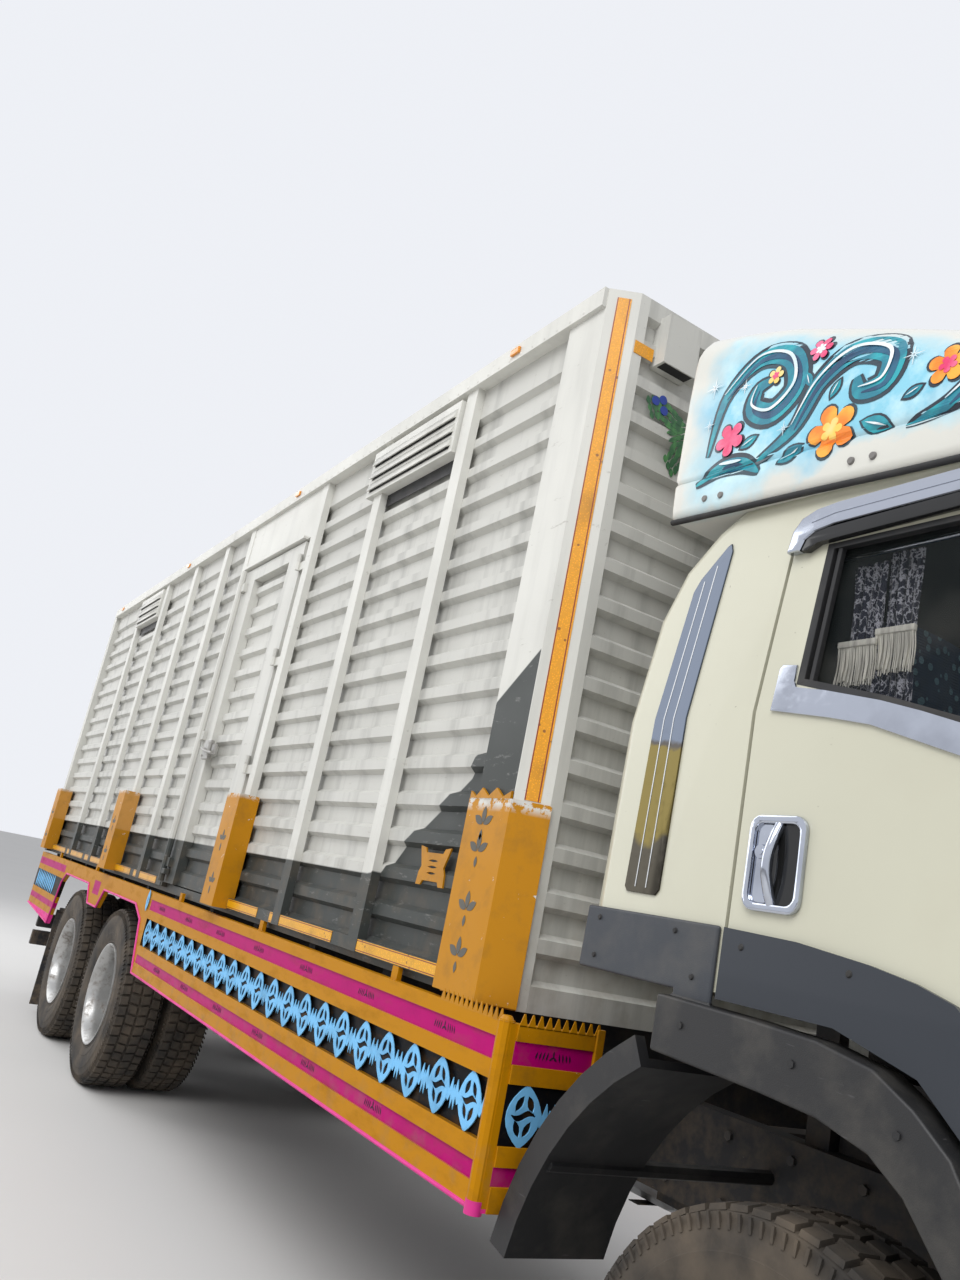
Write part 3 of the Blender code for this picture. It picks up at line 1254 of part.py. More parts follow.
def side_walls():
    for side_name, side in SIDES:
        section = ribbed(SHEET_Y, SHEET_THICKNESS, BOX_BOTTOM_Z, WALL_TOP_Z - SEAT_GAP)
        outline = [(side * y, z) for y, z in section]
        back = BOX_REAR_X + REAR_POST_LENGTH + SEAT_GAP
        wall = slab("side wall", outline, "YZ", back, BOX_FRONT_X - SEAT_GAP)
        cutters = []
        if side == RIGHT:
            front = BOX_FRONT_X - SIDE_DOOR_REACH
            cutters.append(block(
                "side door opening", (front - SIDE_DOOR_LENGTH - RUNNING_GAP * 2, front),
                span(side, SHEET_Y - SHEET_THICKNESS - OVERRUN, SHEET_Y + OVERRUN),
                (SIDE_DOOR_SILL_Z - RUNNING_GAP, SIDE_DOOR_SILL_Z + SIDE_DOOR_HEIGHT + RUNNING_GAP),
            ))
        for front, rear in HOOD_SHARES:
            cutters.append(block(
                "vent hole", (along_box(rear) + POST_WIDTH, along_box(front) - POST_WIDTH),
                span(side, SHEET_Y - SHEET_THICKNESS - OVERRUN, SHEET_Y + OVERRUN),
                (HOOD_LOW_Z + HOOD_SLOT_HEIGHT, HOOD_HIGH_Z - POST_WIDTH / 2),
            ))
        node(carve(wall, cutters), f"side_wall_{side_name}", "white")


def side_frame(side_name, side):
    """Posts, top rail, sole rail, vent hoods, stake pockets and the front corner post."""
    skin = SHEET_Y + SEAT_GAP
    back = BOX_REAR_X + REAR_POST_LENGTH + SEAT_GAP
    post = span(side, skin, POST_Y)
    rail = block("top rail", (back, BOX_FRONT_X - WELD_LAP),
                 span(side, SHEET_Y - SHEET_THICKNESS / 2, ROOF_RAIL_Y), (WALL_TOP_Z, BOX_TOP_Z))
    pieces = []
    for share in POST_SHARES + DOOR_BACK_POST_SHARES:
        x = along_box(share)
        pieces.append(block("post", (x - POST_WIDTH, x), post, (SOLE_LOW_Z, WALL_TOP_Z + WELD_LAP)))
    door_front = BOX_FRONT_X - SIDE_DOOR_REACH
    door_back = door_front - SIDE_DOOR_LENGTH - RUNNING_GAP * 2
    soles = [(back, BOX_FRONT_X - CORNER_POST_LENGTH / 2)]
    if side == RIGHT:
        door_top = SIDE_DOOR_SILL_Z + SIDE_DOOR_HEIGHT + RUNNING_GAP
        pieces.append(block(
            "door header", (door_back - POST_WIDTH / 2, along_box(POST_SHARES[2]) - POST_WIDTH / 2),
            span(side, skin, POST_Y - WELD_LAP), (door_top, WALL_TOP_Z + WELD_LAP)))
        pieces.append(block("drip rail", (door_back, door_front), span(side, skin, HOOD_Y),
                            (door_top, door_top + HOOD_SLOT_HEIGHT)))
        soles = [(back, door_back), (door_front, BOX_FRONT_X - CORNER_POST_LENGTH / 2)]
        for _, leaf in side_door_hinges():
            pieces += leaf
    for start, end in soles:
        pieces.append(block("sole rail", (start, end), span(side, skin, POST_Y - WELD_LAP),
                            (SOLE_LOW_Z, SOLE_HIGH_Z)))
    for front, rear in HOOD_SHARES:
        pieces.append(block("vent hood", (along_box(rear), along_box(front)), span(side, skin, HOOD_Y),
                            (HOOD_LOW_Z, HOOD_HIGH_Z)))
    for share in POCKET_SHARES:
        x = along_box(share)
        pieces.append(block("stake pocket", (x - POCKET_LENGTH, x), span(side, skin, POCKET_Y),
                            (SOLE_LOW_Z - WELD_LAP, POCKET_TOP_Z)))
    inner = SHEET_Y - SHEET_THICKNESS
    chamfer_y = POST_Y - CHAMFER_WIDTH
    corner = [
        (BOX_FRONT_X - CORNER_POST_LENGTH, skin), (BOX_FRONT_X - CORNER_POST_LENGTH, POST_Y),
        (BOX_FRONT_X, POST_Y), (BOX_NOSE_X, chamfer_y), (BOX_NOSE_X, inner - OVERRUN),
        (BOX_FRONT_X, inner - OVERRUN), (BOX_FRONT_X, skin),
    ]
    pieces.append(slab("corner post", [(x, side * y) for x, y in corner], "XY", BOX_BOTTOM_Z, BOX_TOP_Z))
    proud = GUARD_CORNER_PROUD
    cover = [
        (BOX_FRONT_X - GUARD_CORNER_LENGTH, skin + WELD_LAP),
        (BOX_FRONT_X - GUARD_CORNER_LENGTH, POST_Y + proud), (BOX_FRONT_X + proud / 2, POST_Y + proud),
        (BOX_NOSE_X + proud, chamfer_y), (BOX_FRONT_X + WELD_LAP, chamfer_y),
        (BOX_FRONT_X + WELD_LAP, skin + WELD_LAP),
    ]
    pieces.append(slab("corner guard", [(x, side * y) for x, y in cover], "XY",
                       BOX_BOTTOM_Z + WELD_LAP, GUARD_CORNER_TOP_Z))
    node(fuse(rail, pieces), f"side_frame_{side_name}", "white")


REAR_SILL_HEIGHT = 0.085
REAR_HEADER_HEIGHT = 0.14
REAR_OPENING_LOW_Z = BOX_BOTTOM_Z + REAR_SILL_HEIGHT
REAR_OPENING_HIGH_Z = BOX_TOP_Z - REAR_HEADER_HEIGHT
REAR_OPENING_Y = POST_Y - REAR_POST_WIDTH
ROD_RADIUS = 0.016
ROD_SIDES = 6
ROD_SHARES = (0.28, 0.75)
KEEPER_SHARES = (0.06, 0.45, 0.94)
KEEPER_HEIGHT = 0.05
KEEPER_WIDTH = 0.06
FRONT_HOOD_YS = (0.92, 1.06)
FRONT_HOOD_LOW_Z = 3.27
FRONT_HOOD_HIGH_Z = 3.45
FRONT_HOOD_DEPTH = 0.05


def box_ends():
    """The ribbed front wall, the roof panel and the portal around the rear doors."""
    half = SHEET_Y - SHEET_THICKNESS - OVERRUN - SEAT_GAP
    wall = slab("front wall", ribbed(BOX_NOSE_X, SHEET_THICKNESS, BOX_BOTTOM_Z, BOX_TOP_Z), "XZ", -half, half)
    hoods = []
    for _, side in SIDES:
        hoods.append(block(
            "front hood", (BOX_NOSE_X - SHEET_THICKNESS / 2, BOX_NOSE_X + FRONT_HOOD_DEPTH),
            span(side, *FRONT_HOOD_YS), (FRONT_HOOD_LOW_Z, FRONT_HOOD_HIGH_Z)))
    node(fuse(wall, hoods), "front_wall", "white")

    back = BOX_REAR_X + REAR_POST_LENGTH + SEAT_GAP
    roof_half = SHEET_Y - SHEET_THICKNESS / 2 - SEAT_GAP
    roof = block("roof", (back, BOX_FRONT_X - SEAT_GAP), (-roof_half, roof_half), (WALL_TOP_Z, BOX_TOP_Z))
    node(roof, "box_roof", "white")

    portal = block("rear frame", (BOX_REAR_X, BOX_REAR_X + REAR_POST_LENGTH), (-POST_Y, POST_Y),
                   (BOX_BOTTOM_Z, BOX_TOP_Z))
    opening = block("rear opening", (BOX_REAR_X - OVERRUN, BOX_REAR_X + REAR_POST_LENGTH + OVERRUN),
                    (-REAR_OPENING_Y, REAR_OPENING_Y), (REAR_OPENING_LOW_Z, REAR_OPENING_HIGH_Z))
    carve(portal, [opening])
    leaves = []
    for _, side in SIDES:
        for _, leaf in rear_hinges(side):
            leaves += leaf
    node(fuse(portal, leaves), "rear_frame", "white")


REAR_HINGE_SHARES = (0.12, 0.5, 0.88)
SIDE_HINGE_SHARES = (0.35, 0.65, 0.93)


def rear_hinges(side):
    height = REAR_OPENING_HIGH_Z - REAR_OPENING_LOW_Z
    return [hinge(side * (REAR_OPENING_Y - RUNNING_GAP / 2), BOX_REAR_X,
                  REAR_OPENING_LOW_Z + height * share, (0, -1), (1, -side)) for share in REAR_HINGE_SHARES]


def side_door_hinges():
    return [hinge(BOX_FRONT_X - SIDE_DOOR_REACH - RUNNING_GAP / 2, -SIDE_DOOR_Y,
                  SIDE_DOOR_SILL_Z + SIDE_DOOR_HEIGHT * share, (1, RIGHT), (0, -1))
            for share in SIDE_HINGE_SHARES]


def rear_doors():
    """Two sheet doors in the portal, each with two lock rods in keepers."""
    low, high = REAR_OPENING_LOW_Z + RUNNING_GAP, REAR_OPENING_HIGH_Z - RUNNING_GAP
    outer = REAR_OPENING_Y - RUNNING_GAP
    width = outer - RUNNING_GAP
    for side_name, side in SIDES:
        door = block("rear door", (BOX_REAR_X, BOX_REAR_X + REAR_DOOR_THICKNESS),
                     span(side, RUNNING_GAP, outer), (low, high))
        pieces = []
        for share in ROD_SHARES:
            y = RUNNING_GAP + width * share
            centre = BOX_REAR_X - REAR_FITTINGS / 2
            foot, head = Vector((centre, side * y, low + ROD_RADIUS)), Vector((centre, side * y, high - ROD_RADIUS))
            pieces.append(rod("lock rod", foot, head, ROD_RADIUS, ROD_SIDES))
            for place in KEEPER_SHARES:
                z = low + (high - low) * place
                pieces.append(block("keeper", (REAR_X, BOX_REAR_X + WELD_LAP),
                                    span(side, y - KEEPER_WIDTH / 2, y + KEEPER_WIDTH / 2),
                                    (z - KEEPER_HEIGHT / 2, z + KEEPER_HEIGHT / 2)))
        for leaf, _ in rear_hinges(side):
            pieces += leaf
        node(fuse(door, pieces), f"rear_door_{side_name}", "white",
             origin=(BOX_REAR_X - HINGE_RADIUS - SEAT_GAP, side * (REAR_OPENING_Y - RUNNING_GAP / 2), 0))


SIDE_ROD_Y = 1.262
SIDE_DOOR_Y = 1.24


def side_door():
    """The side door: ribbed sheet between two stiles, with its upright lock rod."""
    front = BOX_FRONT_X - SIDE_DOOR_REACH - RUNNING_GAP
    back = front - SIDE_DOOR_LENGTH
    low, high = SIDE_DOOR_SILL_Z, SIDE_DOOR_SILL_Z + SIDE_DOOR_HEIGHT - RUNNING_GAP
    outline = [(-y, z) for y, z in ribbed(SHEET_Y, SHEET_THICKNESS - SEAT_GAP, low, high)]
    door = slab("side door", outline, "YZ", back, front)
    stile = (-SIDE_DOOR_Y, SHEET_THICKNESS / 2 - SHEET_Y)
    pieces = [
        block("front stile", (front - SIDE_DOOR_STILE, front), stile, (low, high)),
        block("back stile", (back, back + SIDE_DOOR_STILE), stile, (low, high)),
        block("door top", (back, front), stile, (high - POST_WIDTH, high)),
    ]
    rod_x = back + ROD_RADIUS * 2
    foot, head = Vector((rod_x, -SIDE_ROD_Y, low + WELD_LAP)), Vector((rod_x, -SIDE_ROD_Y, high - WELD_LAP))
    pieces.append(rod("side lock rod", foot, head, ROD_RADIUS, ROD_SIDES))
    for share in KEEPER_SHARES:
        z = low + (high - low) * share
        pieces.append(block("side keeper", (rod_x - ROD_RADIUS, rod_x + KEEPER_WIDTH), (-SIDE_ROD_Y, -SHEET_Y),
                            (z - KEEPER_HEIGHT / 2, z + KEEPER_HEIGHT / 2)))
    for leaf, _ in side_door_hinges():
        pieces += leaf
    node(fuse(door, pieces), "side_door", "white",
         origin=(BOX_FRONT_X - SIDE_DOOR_REACH - RUNNING_GAP / 2,
                 -SIDE_DOOR_Y - HINGE_RADIUS - SEAT_GAP, 0))


# Proud bars of the side guard, low and high as shares of its height
GUARD_BAR_SHARES = ((0, 0.138), (0.239, 0.348), (0.676, 0.781), (0.908, 1))
GUARD_BAR_PROUD = 0.006
GUARD_FRONT_REACH = -0.195
GUARD_WRAP_Y = 0.95
GUARD_BACK_REACH = 0.8
GUARD_TUBE_RADIUS = 0.022
GUARD_RECESS = 0.012
LATTICE_SHARES = (0.348, 0.676)
LATTICE_COUNT = 22
LATTICE_WIDTH_SHARE = 0.62
STRUT_WIDTH = 0.04
STRUT_SHARES = (0.0664, 0.2322, 0.3981, 0.6901, 0.8892)
# The guard's cut over the rear wheels: back from an axle as shares of the tyre's radius, and
# shares of the guard's height
REAR_ARCH_SHARES = ((-1.418, -0.134), (-1.149, 0.625), (-0.92, 0.781), (0.805, 0.781))
MIDDLE_SHARES = ((-0.278, 0.502), (0.278, 0.502))
FRONT_ARCH_SHARES = ((-0.805, 0.781), (0.92, 0.781), (1.264, 0.625), (1.513, 0))
BRACKET_Z = 1.14


def guard_z(share):
    return GUARD_BOTTOM_Z + (GUARD_TOP_Z - GUARD_BOTTOM_Z) * share


def guard_outline():
    """The skirt seen from the side, open over both rear wheels."""
    front = BOX_FRONT_X - GUARD_FRONT_REACH
    first, second = REAR_AXLE_XS
    outline = [(front, GUARD_BOTTOM_Z), (front, GUARD_TOP_Z), (BOX_REAR_X, GUARD_TOP_Z),
               (BOX_REAR_X, GUARD_BOTTOM_Z)]
    cuts = ((second, REAR_ARCH_SHARES), ((first + second) / 2, MIDDLE_SHARES), (first, FRONT_ARCH_SHARES))
    for x, shares in cuts:
        outline += [(x + TYRE_RADIUS * along, guard_z(up)) for along, up in shares]
    return outline


def lattice(back, front, side):
    """A row of pointed leaves between the bars, tip to tip over the recessed ground."""
    pitch = (front - back) / LATTICE_COUNT
    half = pitch * LATTICE_WIDTH_SHARE / 2
    low, high = (guard_z(share) for share in LATTICE_SHARES)
    middle_z = (low + high) / 2
    leaves = []
    for i in range(LATTICE_COUNT):
        x = back + pitch * (i + 1 / 2)
        leaf = [(x, low + WELD_LAP), (x + half, middle_z), (x, high - WELD_LAP), (x - half, middle_z)]
        leaves.append(slab("leaf", leaf, "XZ", *span(
            side, GUARD_Y - GUARD_RECESS - WELD_LAP, GUARD_Y - GUARD_RECESS / 4)))
    return leaves


def side_guard(side_name, side):
    front = BOX_FRONT_X - GUARD_FRONT_REACH
    inner = GUARD_Y - GUARD_THICKNESS
    panel = slab("guard panel", guard_outline(), "XZ", *span(side, inner, GUARD_Y))
    main_back = REAR_AXLE_XS[0] + GUARD_BACK_REACH
    lattice_front = front - GUARD_TUBE_RADIUS * 2
    carve(panel, [block("lattice ground", (main_back, lattice_front),
                        span(side, GUARD_Y - GUARD_RECESS, GUARD_Y + OVERRUN),
                        tuple(guard_z(share) for share in LATTICE_SHARES))])
    pieces = lattice(main_back, lattice_front, side) + [
        block("guard front", (front - GUARD_THICKNESS, front), span(side, GUARD_WRAP_Y, GUARD_Y),
              (GUARD_BOTTOM_Z, GUARD_TOP_Z)),
        rod("corner tube", (front - GUARD_TUBE_RADIUS, side * GUARD_Y, GUARD_BOTTOM_Z - GUARD_BAR_PROUD),
            (front - GUARD_TUBE_RADIUS, side * GUARD_Y, GUARD_TOP_Z + GUARD_BAR_PROUD), GUARD_TUBE_RADIUS, 10),
    ]
    for low, high in GUARD_BAR_SHARES:
        pieces.append(block("guard bar", (main_back, front - GUARD_THICKNESS),
                            span(side, GUARD_Y - GUARD_THICKNESS / 2, GUARD_Y + GUARD_BAR_PROUD),
                            (guard_z(low), guard_z(high))))
    for x in bearer_places()[::2]:
        pieces.append(block("guard bracket", (x - STRUT_WIDTH / 2, x + STRUT_WIDTH / 2),
                            span(side, BEARER_HALF_WIDTH + SEAT_GAP, inner + GUARD_THICKNESS / 3),
                            (BRACKET_Z, BRACKET_Z + STRUT_WIDTH)))
    for share in STRUT_SHARES:
        x = along_box(share)
        pieces.append(block("guard strut", (x - STRUT_WIDTH / 2, x + STRUT_WIDTH / 2),
                            span(side, inner + WELD_LAP, POST_Y - WELD_LAP),
                            (GUARD_TOP_Z - STRUT_WIDTH / 2, SOLE_LOW_Z - SEAT_GAP)))
    node(fuse(panel, pieces), f"side_guard_{side_name}", "ochre")


def main():
    clear_scene()
    collection(PARTS)
    collection(HELPERS)
    chassis_frame()
    front_axle()
    rear_bogie()
    engine_block()
    propeller_shaft()
    tank_and_batteries()
    wheels()
    knuckles()
    front_bumper()
    mudguards()
    cab_shell()
    cab_doors()
    wheel_arches()
    windscreen()
    roof_fairing()
    front_grille()
    mirrors()
    cab_seats()
    dashboard()
    box_floor()
    side_walls()
    box_ends()
    rear_doors()
    side_door()
    for side_name, side in SIDES:
        side_frame(side_name, side)
        side_guard(side_name, side)


if __name__ == "__main__":
    main()
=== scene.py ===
"""Looks of a decorated box truck, built as an add-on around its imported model.

Every size is in metres in the model's own frame: +X is the front of the truck, +Z is up and
the truck's right side is at -Y. Each operator makes one group of pieces.
"""

import json
import math

import bmesh
import bpy
from bpy.props import FloatProperty, FloatVectorProperty, IntProperty, PointerProperty
from mathutils import Matrix, Vector
from mathutils.bvhtree import BVHTree

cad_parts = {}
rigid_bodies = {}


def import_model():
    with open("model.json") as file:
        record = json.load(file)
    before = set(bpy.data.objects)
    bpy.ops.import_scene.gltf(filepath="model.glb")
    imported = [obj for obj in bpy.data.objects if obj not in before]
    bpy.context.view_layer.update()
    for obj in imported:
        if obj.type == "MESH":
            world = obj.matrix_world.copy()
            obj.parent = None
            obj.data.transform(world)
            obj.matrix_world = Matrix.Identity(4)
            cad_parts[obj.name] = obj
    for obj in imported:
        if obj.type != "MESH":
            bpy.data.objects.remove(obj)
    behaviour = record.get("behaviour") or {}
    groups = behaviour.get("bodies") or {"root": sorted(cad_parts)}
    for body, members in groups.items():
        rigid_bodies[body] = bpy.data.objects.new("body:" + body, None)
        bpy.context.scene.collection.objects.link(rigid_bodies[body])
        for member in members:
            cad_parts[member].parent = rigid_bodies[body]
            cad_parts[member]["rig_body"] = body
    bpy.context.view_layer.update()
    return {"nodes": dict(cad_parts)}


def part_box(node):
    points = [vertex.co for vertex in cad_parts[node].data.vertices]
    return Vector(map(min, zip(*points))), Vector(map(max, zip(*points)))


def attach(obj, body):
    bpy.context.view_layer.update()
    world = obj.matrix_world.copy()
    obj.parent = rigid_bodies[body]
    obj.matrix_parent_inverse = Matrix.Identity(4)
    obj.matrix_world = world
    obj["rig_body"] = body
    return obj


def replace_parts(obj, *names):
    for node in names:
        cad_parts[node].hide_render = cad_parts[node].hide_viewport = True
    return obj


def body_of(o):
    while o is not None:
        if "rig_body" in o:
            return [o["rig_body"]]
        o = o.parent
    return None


bl_info = {
    "name": "Decorated truck",
    "version": (1, 0, 0),
    "blender": (4, 5, 0),
    "location": "3D View > Sidebar > Truck",
    "description": "Paint, trim, wheels and fittings of a decorated box truck",
    "category": "Object",
}

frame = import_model()
NODES = frame["nodes"]
RIGHT, LEFT = -1, 1
SIDES = (("right", RIGHT), ("left", LEFT))
FRONT_AXLE_X = 3.675
BOX_REAR_X = -4.91


def paint_property(name, description, colour):
    return FloatVectorProperty(name=name, description=description, default=colour,
                               subtype="COLOR", size=3, min=0, max=1)


def length_property(name, description, size):
    return FloatProperty(name=name, description=description, default=size, unit="LENGTH", min=0)


class TruckColours(bpy.types.PropertyGroup):
    """The truck's paints."""

    cream: paint_property("Cab cream", "Gloss paint of the cab", (0.555, 0.545, 0.435))
    white: paint_property("Box white", "Paint of the box body", (0.66, 0.655, 0.61))
    grey: paint_property("Skirt grey", "Band and swoosh low on the box", (0.048, 0.053, 0.05))
    ochre: paint_property("Frame ochre", "Guards, pockets and corner covers", (0.49, 0.208, 0.002))
    magenta: paint_property("Band magenta", "Bands between the guard's bars", (0.45, 0.001, 0.15))
    blue: paint_property("Leaf blue", "Cut leaves of the guard", (0.19, 0.52, 0.86))
    tape: paint_property("Tape orange", "Reflective tape", (0.93, 0.39, 0.003))
    slate: paint_property("Cladding slate", "Plastic cladding of the cab", (0.032, 0.037, 0.046))


class TruckSizes(bpy.types.PropertyGroup):
    """Sizes and counts of the repeated details."""

    tape_width: length_property("Tape width", "Width of the tape up the box's corner", 0.048)
    leaf_count: IntProperty(name="Leaves", description="Cut leaves along each guard",
                            default=22, min=2)
    tooth: length_property("Guard tooth", "Height of the guard's saw teeth", 0.028)
    tread_count: IntProperty(name="Tread blocks", description="Tread blocks round a tyre",
                             default=56, min=12)
    nut_count: IntProperty(name="Wheel nuts", description="Nuts on each wheel", default=10, min=4)
    curtain_fringe: length_property("Fringe", "Length of the curtain's fringe", 0.1)


def colours():
    return bpy.context.scene.truck_colours


def sizes():
    return bpy.context.scene.truck_sizes


def rgb(colour):
    return (*colour, 1)


# Materials
class Finish:
    """A material's nodes, with short ways to add more. Patterns follow Object coordinates."""

    def __init__(self, name, colour, roughness=0.5, metallic=0.0, **sockets):
        self.material = bpy.data.materials.new(name)
        self.material.use_nodes = True
        self.tree = self.material.node_tree
        self.shader = self.tree.nodes["Principled BSDF"]
        self.place = self.add("ShaderNodeTexCoord").outputs["Object"]
        split = self.add("ShaderNodeSeparateXYZ", Vector=self.place)
        self.x, self.y, self.z = split.outputs
        self.colour = rgb(colour)
        self.set(Roughness=roughness, Metallic=metallic, **sockets)

    def add(self, kind, settings=(), **inputs):
        made = self.tree.nodes.new(kind)
        for name, value in dict(settings).items():
            setattr(made, name, value)
        for name, value in inputs.items():
            self.put(made.inputs[name.replace("_", " ")], value)
        return made

    def put(self, socket, value):
        if isinstance(value, bpy.types.NodeSocket):
            self.tree.links.new(value, socket)
        else:
            socket.default_value = value

    def set(self, **sockets):
        for name, value in sockets.items():
            self.put(self.shader.inputs[name.replace("_", " ")], value)
        return self

    def sum(self, operation, first, second=0.0, clamp=False):
        made = self.add("ShaderNodeMath", {"operation": operation, "use_clamp": clamp})
        self.put(made.inputs[0], first)
        self.put(made.inputs[1], second)
        return made.outputs[0]

    def rise(self, value, low, high):
        """0 below low, 1 above high. With low above high it falls instead."""
        made = self.add("ShaderNodeMapRange", Value=value, From_Min=low, From_Max=high)
        return made.outputs["Result"]

    def between(self, value, low, high, soft=0.0008):
        return self.sum("MULTIPLY", self.rise(value, low - soft, low + soft),
                        self.rise(value, high + soft, high - soft))

    def both(self, first, second):
        return self.sum("MULTIPLY", first, second)

    def either(self, first, second):
        return self.sum("MAXIMUM", first, second)

    def noise(self, scale, detail=2.0, stretch=(1, 1, 1), roughness=0.5):
        mapped = self.add("ShaderNodeMapping", Vector=self.place, Scale=stretch)
        made = self.add("ShaderNodeTexNoise", Vector=mapped.outputs[0], Scale=scale,
                        Detail=detail, Roughness=roughness)
        return made.outputs["Fac"]

    def cells(self, scale, stretch=(1, 1, 1), feature="F1"):
        mapped = self.add("ShaderNodeMapping", Vector=self.place, Scale=stretch)
        made = self.add("ShaderNodeTexVoronoi", {"feature": feature}, Vector=mapped.outputs[0],
                        Scale=scale)
        return made.outputs["Distance"]

    def patches(self, low, high, *noise, **shape):
        """Cloudy patches: where a noise rises from low to high."""
        return self.rise(self.noise(*noise, **shape), low, high)

    def cover(self, colour, mask, share=1.0):
        """Paint a share of a colour over what is there, where the mask is 1."""
        if share != 1:
            mask = self.sum("MULTIPLY", mask, share)
        made = self.add("ShaderNodeMix", {"data_type": "RGBA"})
        self.put(made.inputs[0], mask)
        self.put(made.inputs[6], self.colour)
        self.put(made.inputs[7], colour if isinstance(colour, bpy.types.NodeSocket) else rgb(colour))
        self.colour = made.outputs[2]
        return self

    def splashed(self, top, foot, patches, share):
        """Road dust in patches, denser towards the foot and gone at the top."""
        low, high, *noise = patches
        mask = self.both(self.rise(self.z, top, foot), self.patches(low, high, *noise))
        return self.cover(DUST, mask, share)

    def shade(self, amount, mask):
        """Darken what is there by an amount, where the mask is 1."""
        made = self.add("ShaderNodeMix", {"data_type": "RGBA", "blend_type": "MULTIPLY"})
        self.put(made.inputs[0], mask)
        self.put(made.inputs[6], self.colour)
        self.put(made.inputs[7], (1 - amount, 1 - amount, 1 - amount, 1))
        self.colour = made.outputs[2]
        return self

    def bump(self, height, distance, strength=1.0):
        made = self.add("ShaderNodeBump", Height=height, Distance=distance, Strength=strength)
        linked = self.shader.inputs["Normal"].links
        if linked:
            self.put(made.inputs["Normal"], linked[0].from_socket)
        self.put(self.shader.inputs["Normal"], made.outputs[0])
        return self

    def rough(self, low, high, mask):
        made = self.add("ShaderNodeMapRange", Value=mask, To_Min=low, To_Max=high)
        self.put(self.shader.inputs["Roughness"], made.outputs["Result"])
        return self

    def curve(self, value, low, high, points):
        """A height that follows (value, height) points, with its own range given in points."""
        heights = [height for _, height in points]
        bottom, top = min(heights), max(heights)
        made = self.add("ShaderNodeFloatCurve", Value=self.rise(value, low, high))
        line = made.mapping.curves[0]
        while len(line.points) > 2:
            line.points.remove(line.points[1])
        shares = [((x - low) / (high - low), (z - bottom) / (top - bottom)) for x, z in points]
        line.points[0].location, line.points[1].location = shares[0], shares[-1]
        for share in shares[1:-1]:
            line.points.new(*share)
        for point in line.points:
            point.handle_type = "VECTOR"
        made.mapping.update()
        scaled = self.add("ShaderNodeMapRange", {"clamp": False}, Value=made.outputs[0],
                          To_Min=bottom, To_Max=top)
        return scaled.outputs["Result"]

    def done(self):
        self.put(self.shader.inputs["Base Color"], self.colour)
        return self.material


DUST = (0.20, 0.15, 0.10)
PRIMER = (0.55, 0.54, 0.5)
RUST = (0.12, 0.045, 0.015)


def weathered(name, colour, roughness=0.45, chips=0.0, dirt=0.3, **sockets):
    """Brushed or sprayed paint: slight unevenness, road dust low down and chips."""
    made = Finish(name, colour, roughness, **{"Specular_IOR_Level": 0.3, **sockets})
    uneven = made.noise(3.5, 4)
    made.shade(0.16, made.rise(uneven, 0.4, 0.75))
    if chips:
        broken = made.noise(38, 6, roughness=0.7)
        made.cover(PRIMER, made.rise(broken, 0.72 - chips, 0.735 - chips))
        made.cover(RUST, made.rise(broken, 0.775 - chips, 0.79 - chips))
        made.bump(broken, 0.0006, 0.5)
    low = made.rise(made.z, 1.5, 0.2)
    speckle = made.patches(0.42, 0.7, 14, 8, roughness=0.65)
    made.cover(DUST, made.both(low, speckle), dirt)
    made.rough(roughness, min(1, roughness + 0.35), made.both(low, speckle))
    made.bump(made.noise(160, 2), 0.0002, 0.35)
    return made


# Top edge of the grey paint along the box: level, then a swoosh rising to the front corner
SWOOSH = (
    (1.78, 1.505), (1.809, 1.51), (1.922, 1.622), (2.143, 1.769), (2.268, 1.856), (2.301, 1.92),
    (2.414, 1.99), (2.425, 2.084), (2.619, 2.237), (2.63, 2.24),
)


def box_paint(name, colour, streaks):
    """The box's white paint with its grey band, the swoosh at the front and rain streaks."""
    made = Finish(name, colour, 0.42, Specular_IOR_Level=0.25)
    made.shade(0.1, made.patches(0.42, 0.72, 2.2, 5))
    runs = made.noise(9, 6, (1, 1, 0.09), 0.6)
    made.shade(streaks, made.rise(runs, 0.5, 0.72))
    scuffs = made.patches(0.64, 0.7, 26, 7, (0.35, 1, 1.6), 0.7)
    made.cover((0.33, 0.31, 0.27), scuffs, 0.55)
    swoosh = made.curve(made.x, 1.78, 2.63, SWOOSH)
    grey = made.rise(made.sum("SUBTRACT", made.z, swoosh), 0.003, -0.003)
    flank = made.both(made.rise(made.x, 2.6225, 2.6215),
                      made.rise(made.sum("ABSOLUTE", made.y), 1.158, 1.16))
    grey = made.both(grey, flank)
    made.cover(colours().grey, grey)
    worn = made.both(grey, made.patches(0.6, 0.68, 30, 6, (0.4, 1, 1.5), 0.7))
    made.cover((0.2, 0.2, 0.19), worn, 0.6)
    made.splashed(1.75, 1.2, (0.45, 0.68, 12, 8), 0.35)
    made.rough(0.38, 0.62, made.noise(6, 3))
    made.bump(made.noise(1.6, 3, (0.8, 1, 1)), 0.012, 0.25)
    made.bump(made.noise(140, 2), 0.0002, 0.4)
    return made


# Meshes
def piece(name, mesh, material, body, smooth=None):
    """A finished piece at the origin, riding on a body of the model."""
    thing = bpy.data.objects.new(name, mesh)
    bpy.context.scene.collection.objects.link(thing)
    if material is not None:
        mesh.materials.clear()
        mesh.materials.append(material)
    if smooth is not None:
        mesh.shade_smooth()
        mesh.set_sharp_from_angle(angle=math.radians(smooth))
        weighted = thing.modifiers.new("flat faces stay flat", "WEIGHTED_NORMAL")
        weighted.keep_sharp = True
    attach(thing, body)
    return thing


def shaped(build, name="shape"):
    """A mesh from a function that fills a bmesh."""
    shape = bmesh.new()
    build(shape)
    mesh = bpy.data.meshes.new(name)
    shape.to_mesh(mesh)
    shape.free()
    return mesh


